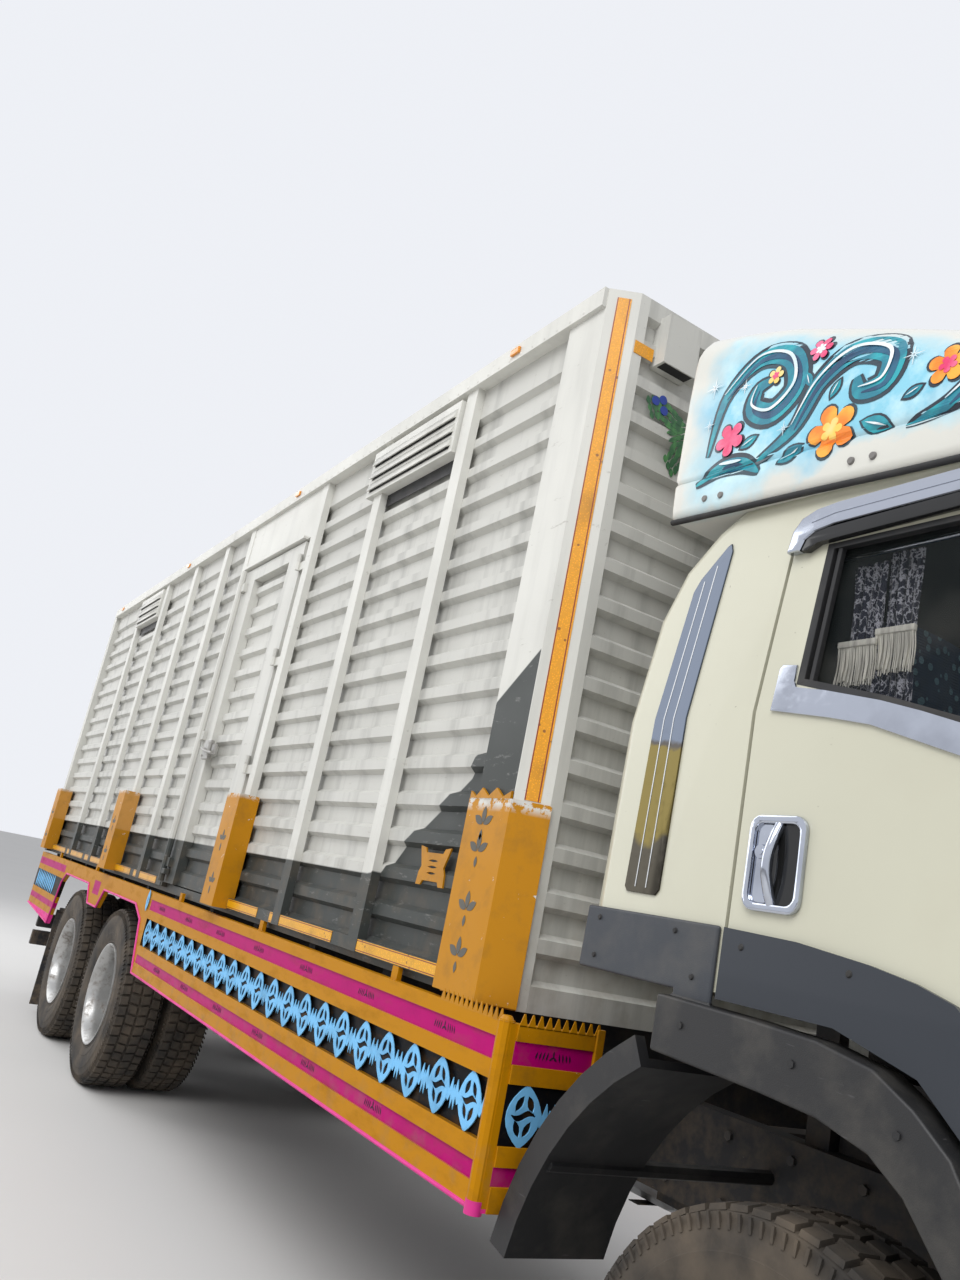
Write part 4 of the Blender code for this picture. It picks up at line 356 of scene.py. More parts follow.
def joined(meshes, name="group"):
    shape = bmesh.new()
    for mesh in meshes:
        shape.from_mesh(mesh)
        bpy.data.meshes.remove(mesh)
    mesh = bpy.data.meshes.new(name)
    shape.to_mesh(mesh)
    shape.free()
    return mesh


def add_box(shape, low, high, edge=0.0, segments=2):
    """A box between two corners with its edges rounded."""
    low, high = Vector(map(min, low, high)), Vector(map(max, low, high))
    made = bmesh.ops.create_cube(shape, size=1)
    size = high - low
    place = Matrix.Translation((low + high) / 2) @ Matrix.Diagonal((*size, 1))
    bmesh.ops.transform(shape, matrix=place, verts=made["verts"])
    if edge:
        edges = list({e for v in made["verts"] for e in v.link_edges})
        bmesh.ops.bevel(shape, geom=edges, offset=min(edge, min(size) * 0.45), segments=segments,
                        affect="EDGES", profile=0.5)


def boxed(low, high, edge=0.0, segments=2):
    return shaped(lambda shape: add_box(shape, low, high, edge, segments))


def cylinder(start, end, radius, sides=24, second=None):
    """A closed cylinder or cone from start to end."""
    start, end = Vector(start), Vector(end)
    along = end - start
    turn = along.to_track_quat("Z", "Y").to_matrix().to_4x4()

    def build(shape):
        made = bmesh.ops.create_cone(shape, cap_ends=True, segments=sides, radius1=radius,
                                     radius2=radius if second is None else second,
                                     depth=along.length)
        bmesh.ops.transform(shape, matrix=Matrix.Translation((start + end) / 2) @ turn,
                            verts=made["verts"])
    return shaped(build)


def evaluated(thing):
    """The object's evaluated mesh, with the object removed."""
    bpy.context.view_layer.update()
    graph = bpy.context.evaluated_depsgraph_get()
    mesh = bpy.data.meshes.new_from_object(thing.evaluated_get(graph))
    mesh.transform(thing.matrix_world)
    bpy.data.objects.remove(thing, do_unlink=True)
    return mesh


PLANES = {
    "XZ": Matrix(((1, 0, 0, 0), (0, 0, -1, 0), (0, 1, 0, 0), (0, 0, 0, 1))),
    "YZ": Matrix(((0, 0, 1, 0), (1, 0, 0, 0), (0, 1, 0, 0), (0, 0, 0, 1))),
}
AXES = {"XZ": Vector((0, 1, 0)), "YZ": Vector((1, 0, 0))}


def plate(outlines, plane, near, far, edge=0.0, resolution=6):
    """Closed outlines on a plane, holes included, made solid between two places.

    An outline whose first item is "smooth" is drawn as a rounded curve through its points.
    """
    drawing = bpy.data.curves.new("plate", "CURVE")
    drawing.dimensions = "2D"
    drawing.fill_mode = "BOTH"
    drawing.extrude = abs(far - near) / 2 - edge
    drawing.bevel_depth = edge
    drawing.bevel_resolution = 1 if edge else 0
    drawing.offset = -edge
    for outline in outlines:
        smooth = outline[0] == "smooth"
        points = outline[1:] if smooth else outline
        line = drawing.splines.new("BEZIER" if smooth else "POLY")
        line.use_cyclic_u = True
        if smooth:
            line.resolution_u = resolution
            line.bezier_points.add(len(points) - 1)
            for knot, (across, up) in zip(line.bezier_points, points):
                knot.co = (across, up, 0)
                knot.handle_left_type = knot.handle_right_type = "AUTO"
        else:
            line.points.add(len(points) - 1)
            for knot, (across, up) in zip(line.points, points):
                knot.co = (across, up, 0, 1)
    thing = bpy.data.objects.new("plate", drawing)
    bpy.context.scene.collection.objects.link(thing)
    thing.matrix_world = Matrix.Translation(AXES[plane] * (near + far) / 2) @ PLANES[plane]
    return welded(evaluated(thing))


def welded(mesh, distance=0.00002):
    shape = bmesh.new()
    shape.from_mesh(mesh)
    bmesh.ops.remove_doubles(shape, verts=shape.verts, dist=distance)
    bmesh.ops.recalc_face_normals(shape, faces=shape.faces)
    shape.to_mesh(mesh)
    shape.free()
    return mesh


def turned(profile, steps, centre, side=LEFT):
    """Turn (radius, reach) points about an axle along Y."""
    closed = profile[0][0] > 0
    rings = []

    def build(shape):
        for radius, reach in profile:
            if radius < 1e-6:
                rings.append([shape.verts.new((0, reach * side, 0))] * steps)
                continue
            ring = []
            for i in range(steps):
                angle = 2 * math.pi * i / steps
                ring.append(shape.verts.new((radius * math.cos(angle), reach * side,
                                             radius * math.sin(angle))))
            rings.append(ring)
        pairs = list(zip(rings, rings[1:]))
        if closed:
            pairs.append((rings[-1], rings[0]))
        for first, second in pairs:
            for i in range(steps):
                j = (i + 1) % steps
                corners = []
                for corner in (first[i], first[j], second[j], second[i]):
                    if corner not in corners:
                        corners.append(corner)
                if len(corners) > 2:
                    shape.faces.new(corners)
        bmesh.ops.recalc_face_normals(shape, faces=shape.faces)
        bmesh.ops.translate(shape, vec=centre, verts=shape.verts)
    return shaped(build)


def tube(points, radius, sides=8, closed=False, smooth=True):
    """A pipe along points, through the tube tree."""
    drawing = bpy.data.curves.new("path", "CURVE")
    drawing.dimensions = "3D"
    line = drawing.splines.new("BEZIER" if smooth else "POLY")
    line.use_cyclic_u = closed
    if smooth:
        line.resolution_u = 5
        line.bezier_points.add(len(points) - 1)
        for knot, place in zip(line.bezier_points, points):
            knot.co = place
            knot.handle_left_type = knot.handle_right_type = "AUTO"
    else:
        line.points.add(len(points) - 1)
        for knot, place in zip(line.points, points):
            knot.co = (*place, 1)
    path = bpy.data.objects.new("path", drawing)
    bpy.context.scene.collection.objects.link(path)
    mesh = made_by(tube_tree(), Path=path, Radius=radius, Sides=sides)
    bpy.data.objects.remove(path, do_unlink=True)
    return welded(mesh)


def refined(node, material, edge=0.004, smooth=32, segments=2):
    """A copy of a model node with its triangles merged and its hard edges rounded."""
    mesh = NODES[node].data.copy()
    shape = bmesh.new()
    shape.from_mesh(mesh)
    bmesh.ops.remove_doubles(shape, verts=shape.verts, dist=0.00005)
    bmesh.ops.dissolve_limit(shape, angle_limit=0.01, verts=shape.verts, edges=shape.edges)
    shape.to_mesh(mesh)
    shape.free()
    thing = bpy.data.objects.new("copy", mesh)
    bpy.context.scene.collection.objects.link(thing)
    if edge:
        rounding = thing.modifiers.new("edges", "BEVEL")
        rounding.width = edge
        rounding.segments = segments
        rounding.limit_method = "ANGLE"
        rounding.angle_limit = math.radians(smooth)
        rounding.harden_normals = False
    mesh = evaluated(thing)
    body = body_of(NODES[node])[0]
    made = piece(node + "_skin", mesh, material, body, smooth)
    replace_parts(made, node)
    return made


# Geometry node trees
def new_tree(name, inputs):
    """A geometry node tree with named inputs. Returns it with its two end nodes."""
    tree = bpy.data.node_groups.new(name, "GeometryNodeTree")
    tree.interface.new_socket("Geometry", in_out="INPUT", socket_type="NodeSocketGeometry")
    tree.interface.new_socket("Geometry", in_out="OUTPUT", socket_type="NodeSocketGeometry")
    for label, kind, default in inputs:
        socket = tree.interface.new_socket(label, in_out="INPUT", socket_type=kind)
        if default is not None:
            socket.default_value = default
    return tree, tree.nodes.new("NodeGroupInput"), tree.nodes.new("NodeGroupOutput")


def join(tree, pairs):
    for start, end in pairs:
        tree.links.new(start, end)


def new_node(tree, kind, **settings):
    made = tree.nodes.new(kind)
    for name, value in settings.items():
        setattr(made, name, value)
    return made


def finish_tree(tree, start, geometry, end):
    """Every tree ends by realizing its instances and setting the material."""
    real = tree.nodes.new("GeometryNodeRealizeInstances")
    dress = tree.nodes.new("GeometryNodeSetMaterial")
    join(tree, ((geometry, real.inputs[0]), (real.outputs[0], dress.inputs["Geometry"]),
                (start.outputs["Material"], dress.inputs["Material"]),
                (dress.outputs[0], end.inputs[0])))
    return tree


def repeat_tree():
    """Copies of a motif at even steps, each turned by the same angle further and jittered."""
    found = bpy.data.node_groups.get("Repeat")
    if found:
        return found
    tree, start, end = new_tree("Repeat", (
        ("Motif", "NodeSocketObject", None), ("Count", "NodeSocketInt", 8),
        ("Start", "NodeSocketVector", (0, 0, 0)), ("Step", "NodeSocketVector", (0, 0, 0)),
        ("Turn", "NodeSocketVector", (0, 0, 0)), ("Jitter", "NodeSocketFloat", 0.0),
        ("Stretch", "NodeSocketFloat", 0.0), ("Seed", "NodeSocketInt", 7),
        ("Material", "NodeSocketMaterial", None)))
    points = tree.nodes.new("GeometryNodePoints")
    index = tree.nodes.new("GeometryNodeInputIndex")
    place = new_node(tree, "ShaderNodeVectorMath", operation="MULTIPLY_ADD")
    spin = new_node(tree, "ShaderNodeVectorMath", operation="SCALE")
    shake = new_node(tree, "FunctionNodeRandomValue", data_type="FLOAT_VECTOR")
    shake.inputs["Min"].default_value = (-1, -1, -1)
    shake.inputs["Max"].default_value = (1, 1, 1)
    scaled = new_node(tree, "ShaderNodeVectorMath", operation="SCALE")
    total = new_node(tree, "ShaderNodeVectorMath", operation="ADD")
    grow = new_node(tree, "FunctionNodeRandomValue", data_type="FLOAT")
    low = new_node(tree, "ShaderNodeMath", operation="SUBTRACT")
    low.inputs[0].default_value = 1
    source = tree.nodes.new("GeometryNodeObjectInfo")
    placed = tree.nodes.new("GeometryNodeInstanceOnPoints")
    join(tree, (
        (start.outputs["Count"], points.inputs["Count"]),
        (index.outputs[0], place.inputs[0]), (start.outputs["Step"], place.inputs[1]),
        (start.outputs["Start"], place.inputs[2]), (place.outputs[0], points.inputs["Position"]),
        (start.outputs["Turn"], spin.inputs[0]), (index.outputs[0], spin.inputs["Scale"]),
        (start.outputs["Seed"], shake.inputs["Seed"]), (shake.outputs[0], scaled.inputs[0]),
        (start.outputs["Jitter"], scaled.inputs["Scale"]), (spin.outputs[0], total.inputs[0]),
        (scaled.outputs[0], total.inputs[1]), (start.outputs["Stretch"], low.inputs[1]),
        (low.outputs[0], grow.inputs["Min"]), (start.outputs["Seed"], grow.inputs["Seed"]),
        (start.outputs["Motif"], source.inputs[0]),
        (points.outputs[0], placed.inputs["Points"]),
        (source.outputs["Geometry"], placed.inputs["Instance"]),
        (total.outputs[0], placed.inputs["Rotation"]),
    ))
    size = tree.nodes.new("ShaderNodeCombineXYZ")
    for socket in size.inputs[:2]:
        socket.default_value = 1
    join(tree, ((grow.outputs[1], size.inputs[2]), (size.outputs[0], placed.inputs["Scale"])))
    return finish_tree(tree, start, placed.outputs[0], end)


def tube_tree():
    """A round profile swept along a path, with its ends closed."""
    found = bpy.data.node_groups.get("Tube")
    if found:
        return found
    tree, start, end = new_tree("Tube", (
        ("Path", "NodeSocketObject", None), ("Radius", "NodeSocketFloat", 0.01),
        ("Sides", "NodeSocketInt", 8), ("Material", "NodeSocketMaterial", None)))
    source = tree.nodes.new("GeometryNodeObjectInfo")
    circle = tree.nodes.new("GeometryNodeCurvePrimitiveCircle")
    sweep = tree.nodes.new("GeometryNodeCurveToMesh")
    sweep.inputs["Fill Caps"].default_value = True
    join(tree, (
        (start.outputs["Path"], source.inputs[0]), (start.outputs["Sides"], circle.inputs[0]),
        (start.outputs["Radius"], circle.inputs["Radius"]),
        (source.outputs["Geometry"], sweep.inputs["Curve"]),
        (circle.outputs[0], sweep.inputs["Profile Curve"]),
    ))
    return finish_tree(tree, start, sweep.outputs[0], end)


def made_by(tree, **values):
    """Run a tree on an empty mesh, keep its result as a plain mesh. A piece gets its material later."""
    host = bpy.data.objects.new("host", bpy.data.meshes.new("host"))
    bpy.context.scene.collection.objects.link(host)
    modifier = host.modifiers.new("tree", "NODES")
    modifier.node_group = tree
    for item in tree.interface.items_tree:
        if item.in_out == "INPUT" and item.name in values:
            modifier[item.identifier] = values[item.name]
    return evaluated(host)


def repeated(motif, count, start, step=(0, 0, 0), turn=(0, 0, 0), jitter=0.0, stretch=0.0):
    """Copies of a motif mesh, which is used up. Turn is in degrees a step."""
    thing = bpy.data.objects.new("motif", motif)
    bpy.context.scene.collection.objects.link(thing)
    mesh = made_by(repeat_tree(), Motif=thing, Count=count, Start=tuple(start), Step=tuple(step),
                   Turn=tuple(math.radians(a) for a in turn), Jitter=float(jitter),
                   Stretch=float(stretch))
    bpy.data.objects.remove(thing, do_unlink=True)
    return mesh


def mirrored(mesh, side):
    """The mesh itself, or its mirror image on the truck's left side."""
    if side == LEFT:
        mesh.transform(Matrix.Diagonal((1, -1, 1, 1)))
        mesh.flip_normals()
    return mesh


def side_piece(name, meshes, side, material, body, smooth=None):
    """A piece from meshes drawn for the truck's right side, mirrored for its left.

    SIDE in the body's name stands for right or left.
    """
    side_name = "left" if side == LEFT else "right"
    return piece(f"{name}_{side_name}", mirrored(joined(meshes), side), material,
                 body.replace("SIDE", side_name), smooth)


def polar(angle, radius=1.0):
    return Vector((math.cos(angle), math.sin(angle))) * radius


# Finishes shared by several groups
def chrome_finish(name, roughness=0.08):
    made = Finish(name, (0.5, 0.53, 0.6), roughness, 1.0)
    made.shade(0.25, made.patches(0.5, 0.75, 7, 4))
    made.rough(roughness, roughness + 0.14, made.patches(0.5, 0.8, 40, 5))
    made.bump(made.noise(5, 2), 0.002, 0.15)
    return made.done()


def plastic_finish(name, colour, roughness=0.55):
    made = Finish(name, colour, roughness)
    made.shade(0.3, made.patches(0.4, 0.75, 4, 4))
    made.cover((0.16, 0.145, 0.12), made.patches(0.5, 0.75, 9, 8), 0.2)
    made.rough(roughness - 0.1, roughness + 0.2, made.noise(12, 5))
    made.bump(made.cells(420), 0.0004, 0.5)
    return made.done()


def rubber_finish(name):
    made = Finish(name, (0.022, 0.02, 0.018), 0.85)
    made.cover((0.13, 0.10, 0.07), made.patches(0.32, 0.7, 7, 8), 0.75)
    made.shade(0.4, made.patches(0.5, 0.8, 24, 4))
    made.bump(made.noise(120, 4), 0.0008, 0.5)
    return made.done()


def rim_finish(name):
    made = Finish(name, (0.5, 0.5, 0.49), 0.35, 0.55)
    made.shade(0.35, made.patches(0.45, 0.75, 6, 5))
    grime = made.patches(0.5, 0.68, 16, 8, roughness=0.7)
    made.cover((0.14, 0.1, 0.07), grime, 0.7)
    made.rough(0.3, 0.75, grime)
    made.bump(made.noise(60, 4), 0.0005, 0.4)
    return made.done()


def glass_finish(name, tint=(0.02, 0.025, 0.025), alpha=0.2):
    made = Finish(name, tint, 0.03, 0.0, IOR=1.45, Alpha=alpha, Specular_IOR_Level=0.2)
    made.cover((0.3, 0.29, 0.26), made.patches(0.5, 0.8, 5, 8), 0.3)
    made.rough(0.02, 0.12, made.patches(0.5, 0.8, 18, 6))
    return made.done()


def lens_finish(name, colour):
    made = Finish(name, colour, 0.12, IOR=1.5, Coat_Weight=0.6)
    made.shade(0.35, made.rise(made.sum("SINE", made.sum("MULTIPLY", made.z, 900)), -0.2, 0.6))
    made.bump(made.sum("SINE", made.sum("MULTIPLY", made.y, 900)), 0.0006, 0.4)
    return made.done()


def steel_finish(name, colour=(0.03, 0.03, 0.032)):
    return weathered(name, colour, 0.6, 0.01, 0.85).done()


def number_plate(name, finish_name, low, high):
    """A white plate with nothing on it."""
    white = Finish(finish_name, (0.78, 0.78, 0.74), 0.35)
    white.shade(0.2, white.patches(0.4, 0.8, 9, 5))
    piece(name, boxed(low, high, 0.003), white.done(), "chassis", 35)


def dress(material, slot, *nodes):
    """Give model nodes that keep their own shape a material."""
    for node in nodes:
        thing = NODES[node]
        thing.data.materials.clear()
        thing.data.materials.append(material)


class TruckStep:
    """What every operator of the truck shares."""

    bl_options = {"REGISTER", "UNDO"}


# Square area lamps: place, the point they aim at and power
LAMP_SIZE = 9
LAMPS = (
    ("key", (7.0, -9.0, 11.0), (0.5, 0, 1.2), 1350),
    ("fill", (-9.0, -6.0, 6.0), (-1.5, 0, 1.5), 420),
    ("back_fill", (2.0, 10.0, 8.0), (0, 0, 1.5), 420),
)
# The camera stands off the truck's front right corner, looks back and up, and is rolled to its left
CAMERA_PLACE = (5.0839, -2.8308, 1.4551)
CAMERA_RIGHT = (0.5219, 0.8304, 0.1952)
CAMERA_DOWN = (-0.12, 0.298, -0.947)
CAMERA_AHEAD = (-0.8445, 0.4708, 0.2552)
CAMERA_LENS_MM = 28.32


class TRUCK_OT_stage(TruckStep, bpy.types.Operator):
    """Pale floor, soft light and the camera at the photograph's angle"""

    bl_idname = "truck.stage"
    bl_label = "Stage and camera"

    def execute(self, context):
        scene = context.scene
        scene.view_settings.view_transform = "Standard"
        floor_mesh = shaped(lambda shape: bmesh.ops.create_grid(shape, x_segments=1,
                                                                y_segments=1, size=90))
        floor = bpy.data.objects.new("floor", floor_mesh)
        scene.collection.objects.link(floor)
        made = Finish("floor_paint", (0.72, 0.71, 0.69), 0.85)
        made.shade(0.06, made.noise(0.6, 4))
        floor_mesh.materials.append(made.done())

        world = bpy.data.worlds.new("studio")
        scene.world = world
        world.use_nodes = True
        tree = world.node_tree
        back = tree.nodes["Background"]
        paths = tree.nodes.new("ShaderNodeLightPath")
        seen = tree.nodes.new("ShaderNodeMath")
        seen.operation = "MAXIMUM"
        strength = tree.nodes.new("ShaderNodeMapRange")
        strength.inputs["To Min"].default_value = 0.6
        strength.inputs["To Max"].default_value = 0.92
        join(tree, ((paths.outputs["Is Camera Ray"], seen.inputs[0]),
                    (paths.outputs["Is Glossy Ray"], seen.inputs[1]),
                    (seen.outputs[0], strength.inputs["Value"]),
                    (strength.outputs["Result"], back.inputs["Strength"])))
        back.inputs["Color"].default_value = (0.93, 0.95, 1.0, 1)

        for name, place, aim, power in LAMPS:
            light = bpy.data.lights.new(name, "AREA")
            light.size = LAMP_SIZE
            light.energy = power
            lamp = bpy.data.objects.new(name, light)
            scene.collection.objects.link(lamp)
            lamp.location = place
            lamp.rotation_euler = (Vector(aim) - Vector(place)).to_track_quat("-Z", "Y").to_euler()

        view = bpy.data.cameras.new("camera")
        view.sensor_width = 36
        view.lens = CAMERA_LENS_MM
        view.clip_end = 300
        camera = bpy.data.objects.new("camera", view)
        scene.collection.objects.link(camera)
        up, back = [-v for v in CAMERA_DOWN], [-v for v in CAMERA_AHEAD]
        turn = Matrix((CAMERA_RIGHT, up, back)).transposed().to_4x4()
        camera.matrix_world = Matrix.Translation(CAMERA_PLACE) @ turn
        scene.camera = camera
        return {"FINISHED"}


class TRUCK_OT_chassis(TruckStep, bpy.types.Operator):
    """Materials of the frame, axles, engine, tank and boxes, with their straps and bolts"""

    bl_idname = "truck.chassis"
    bl_label = "Chassis"

    def execute(self, context):
        black = steel_finish("chassis_black")
        dress(black, "chassis", "chassis_frame", "front_axle", "rear_bogie", "engine_block",
              "propeller_shaft", "knuckle_right", "knuckle_left", "box_floor")
        tank = Finish("tank_aluminium", (0.52, 0.53, 0.54), 0.35, 0.85)
        tank.shade(0.3, tank.patches(0.4, 0.8, 5, 5))
        tank.cover(DUST, tank.patches(0.45, 0.7, 11, 8), 0.5)
        tank.bump(tank.noise(90, 3), 0.0004, 0.4)
        dress(tank.done(), "tank", "fuel_tank")
        dress(plastic_finish("battery_cover", (0.02, 0.021, 0.022)), "chassis", "battery_box")
        strap = steel_finish("strap_steel", (0.05, 0.05, 0.052))
        self.tank_straps(strap)
        self.battery_ribs()
        self.rail_bolts(strap)
        self.tail_lamps()
        return {"FINISHED"}

    def tank_straps(self, strap):
        """Two straps round the tank's free side, and the filler cap on its top."""
        low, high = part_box("fuel_tank")
        out, thick, half_band, bend = 0.006, 0.004, 0.03, 0.1
        middle = (low + high) / 2
        bands = []
        for share in (0.2, 0.8):
            x = low.x + (high.x - low.x) * share
            loop = [(low.y, high.z + out), (high.y - bend, high.z + out),
                    (high.y - bend * 0.3, high.z - bend * 0.3 + out),
                    (high.y + out, high.z - bend), (high.y + out, low.z + bend),
                    (high.y - bend * 0.3, low.z + bend * 0.3 - out),
                    (high.y - bend, low.z - out), (low.y, low.z - out)]
            inner = [(y - thick if y > low.y else y, z - thick if z > middle.z else z + thick)
                     for y, z in loop]
            bands.append(plate([loop + inner[::-1]], "YZ", x - half_band, x + half_band))
        filler = (middle.x, high.y - 0.16)
        bands.append(cylinder((*filler, high.z - 0.01), (*filler, high.z + 0.035), 0.045, 28))
        piece("tank_straps", joined(bands), strap, "chassis", 35)

    def battery_ribs(self):
        low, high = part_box("battery_box")
        count, margin = 12, 0.05
        rib = boxed((-0.006, -0.004, low.z + 0.03), (0.006, 0.004, high.z - 0.03), 0.003)
        ribs = repeated(rib, count, (low.x + margin, low.y, 0),
                        ((high.x - low.x - 2 * margin) / (count - 1), 0, 0))
        piece("battery_ribs", ribs, plastic_finish("battery_rib", (0.025, 0.026, 0.027)), "chassis",
              35)

    def rail_bolts(self, strap):
        """Two rows of bolt heads along each rail of the frame."""
        rail_y = 0.425
        studs = [repeated(cylinder((0, 0, 0), (0, -0.012, 0), 0.014, 6), 40, (-4.6, -rail_y, z),
                          (0.232, 0, 0)) for z in (0.8, 0.98)]
        studs += [mirrored(mesh.copy(), LEFT) for mesh in studs]
        piece("rail_bolts", joined(studs), strap, "chassis")

    def tail_lamps(self):
        """Lamps on the rear bar, and the plate between them."""
        lamp_red = lens_finish("lens_red", (0.45, 0.008, 0.006))
        lamp_amber = lens_finish("lens_amber", (0.8, 0.26, 0.01))
        reds, ambers, cases = [], [], []
        low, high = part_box("chassis_frame")
        for side in (RIGHT, LEFT):
            y = side * 0.95
            cases.append(boxed((low.x - 0.002, y - 0.19, 0.56), (low.x + 0.05, y + 0.19, 0.68), 0.012))
            reds.append(boxed((low.x - 0.014, y - 0.17, 0.575), (low.x, y + 0.05, 0.665), 0.01))
            ambers.append(boxed((low.x - 0.014, y + 0.06, 0.575), (low.x, y + 0.17, 0.665), 0.01))
            cases.append(boxed((low.x + 0.01, y - 0.02, 0.5), (low.x + 0.035, y + 0.02, 0.57), 0.004))
        piece("tail_lamp_cases", joined(cases), plastic_finish("lamp_case", (0.02, 0.02, 0.02)),
              "chassis", 35)
        piece("tail_lamps_red", joined(reds), lamp_red, "chassis", 35)
        piece("tail_lamps_amber", joined(ambers), lamp_amber, "chassis", 35)
        number_plate("rear_plate", "plate_blank", (low.x - 0.006, -0.26, 0.415), (low.x, 0.26, 0.525))


# Wheels, on an axle along Y at the height of the model's own wheels
WHEEL_Z = 0.51557
TWIN_YS = (("outer", 1.08), ("inner", 0.77))
FRONT_WHEEL_Y = 1.06
AXLE_XS = (-1.675, -3.045)


def two_sided(points):
    """(radius, reach) points and then their mirror image, in the order of one closed section."""
    return (*points, *((radius, -reach) for radius, reach in reversed(points)))


# Sections of tyre and rim as (radius, reach) points. A flank runs from the bead to the shoulder
TYRE_FLANK = (
    (0.2885, -0.112), (0.297, -0.119), (0.31, -0.1245), (0.315, -0.1225), (0.335, -0.130),
    (0.36, -0.1355), (0.363, -0.134), (0.395, -0.139), (0.43, -0.139), (0.433, -0.1365),
    (0.46, -0.134), (0.48, -0.128), (0.497, -0.1205), (0.502, -0.112),
)
CARCASS = (
    *TYRE_FLANK, (0.5035, 0), *two_sided(TYRE_FLANK)[len(TYRE_FLANK):],
    *two_sided(((0.3, 0.1), (0.4, 0.125), (0.485, 0.1))),
)
RIM_SECTION = (
    *two_sided(((0.2985, -0.1293), (0.2985, -0.1163), (0.2867, -0.113), (0.2857, -0.09),
                (0.272, -0.06))),
    *two_sided(((0.2925, 0.1293), (0.281, 0.118), (0.2697, 0.085), (0.262, 0.055))),
)
HAND_HOLES = 8


def circle(radius, centre=(0, 0), count=24):
    return [(centre[0] + radius * math.cos(2 * math.pi * i / count),
             centre[1] + radius * math.sin(2 * math.pi * i / count)) for i in range(count)]


def tread_block():
    """Four skewed blocks across the tread, at the top of the radius."""
    def build(shape):
        for low, high, skew in ((-0.118, -0.067, 0.10), (-0.060, -0.005, -0.16),
                                (0.005, 0.060, 0.16), (0.067, 0.118, -0.10)):
            made = bmesh.ops.create_cube(shape, size=1)
            size = (0.016, high - low, 0.047)
            place = Matrix.Translation((WHEEL_Z - 0.0083, (low + high) / 2, 0))
            bmesh.ops.transform(shape, matrix=place @ Matrix.Diagonal((*size, 1)), verts=made["verts"])
            for vertex in made["verts"]:
                vertex.co.z += vertex.co.y * skew
                if vertex.co.x > WHEEL_Z - 0.008:
                    vertex.co.y -= math.copysign(0.004, vertex.co.y - (low + high) / 2)
                    vertex.co.x -= 0.004 * (abs(vertex.co.y) > 0.1)
                    vertex.co.z *= 0.92
    return shaped(build)


def tyre_mesh():
    count = sizes().tread_count
    parts = [turned(CARCASS, 80, (0, 0, 0))]
    parts.append(repeated(tread_block(), count, (0, 0, 0), turn=(0, 360 / count, 0)))
    for side in (1, -1):
        motif = boxed((0.468, side * 0.1285, -0.0035), (0.497, side * 0.1345, 0.0035))
        parts.append(repeated(motif, count * 2, (0, 0, 0), turn=(0, 180 / count, 0)))
    return joined(parts, "tyre")


def nut(radius, height, base):
    """A wheel nut on its washer, standing on the disc at the bolt circle."""
    parts = [cylinder((radius, base, 0), (radius, base + 0.004, 0), 0.024, 20),
             cylinder((radius, base + 0.003, 0), (radius, base + height, 0), 0.0185, 6),
             cylinder((radius, base + height, 0), (radius, base + height + 0.014, 0), 0.011, 10)]
    return joined(parts)


def disc_mesh(low, high):
    """The wheel disc with its ring of hand holes."""
    holes = []
    for i in range(HAND_HOLES):
        angle = 2 * math.pi * (i + 0.5) / HAND_HOLES
        centre = polar(angle, 0.213)
        across, along = Vector((-math.sin(angle), math.cos(angle))), centre.normalized()
        holes.append([tuple(centre + across * 0.037 * math.cos(t) + along * 0.024 * math.sin(t))
                      for t in (2 * math.pi * k / 18 for k in range(18))])
    return plate([circle(0.266, count=72), circle(0.075, count=40), *holes], "XZ", low, high, 0.003)


def nut_ring(face):
    """All nuts of a wheel, on the disc's outer face."""
    count = sizes().nut_count
    return repeated(nut(0.1425, 0.03, face), count, (0, 0, 0), turn=(0, 360 / count, 0))


def twin_rim_mesh():
    """Both rims of a pair on one hub, from y at the wheel's outer middle."""
    middle, inner = TWIN_YS[0][1], TWIN_YS[1][1]
    face = 0.94 - middle
    hub = ((0, 0.0), (0.052, -0.002), (0.064, -0.012), (0.07, -0.045), (0.078, -0.05), (0.081, -0.1),
           (0.1, -0.105), (0.108, -0.12), (0.109, face), (0.109, -0.4), (0, -0.4))
    parts = [turned(RIM_SECTION, 80, (0, 0, 0)), turned(RIM_SECTION, 80, (0, inner - middle, 0)),
             turned(hub, 48, (0, 0.001, 0)), disc_mesh(face - 0.022, face), nut_ring(face)]
    return joined(parts, "twin_rim")


def front_rim_mesh():
    face = 0.064
    hub = ((0, 0.126), (0.048, 0.124), (0.062, 0.115), (0.068, 0.09), (0.088, 0.085), (0.1, 0.072),
           (0.109, face), (0.109, -0.07), (0, -0.07))
    dish = ((0.25, 0.03), (0.235, 0.05), (0.212, face), (0.109, face), (0.109, face - 0.02),
            (0.205, face - 0.02), (0.228, 0.035), (0.245, 0.015), (0.266, 0.005), (0.266, 0.02))
    parts = [turned(RIM_SECTION, 80, (0, 0, 0)), turned(hub, 48, (0, 0, 0)),
             turned(dish, 80, (0, 0, 0)), nut_ring(face)]
    return joined(parts, "front_rim")


def place_wheel(name, base, material, x, y, side, body, node):
    """A copy of a wheel drawn for the left side, with its outer face to its own side."""
    mesh = mirrored(base.copy(), -side)
    mesh.transform(Matrix.Translation((x, side * y, WHEEL_Z)))
    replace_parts(piece(name, mesh, material, body, 35), node)


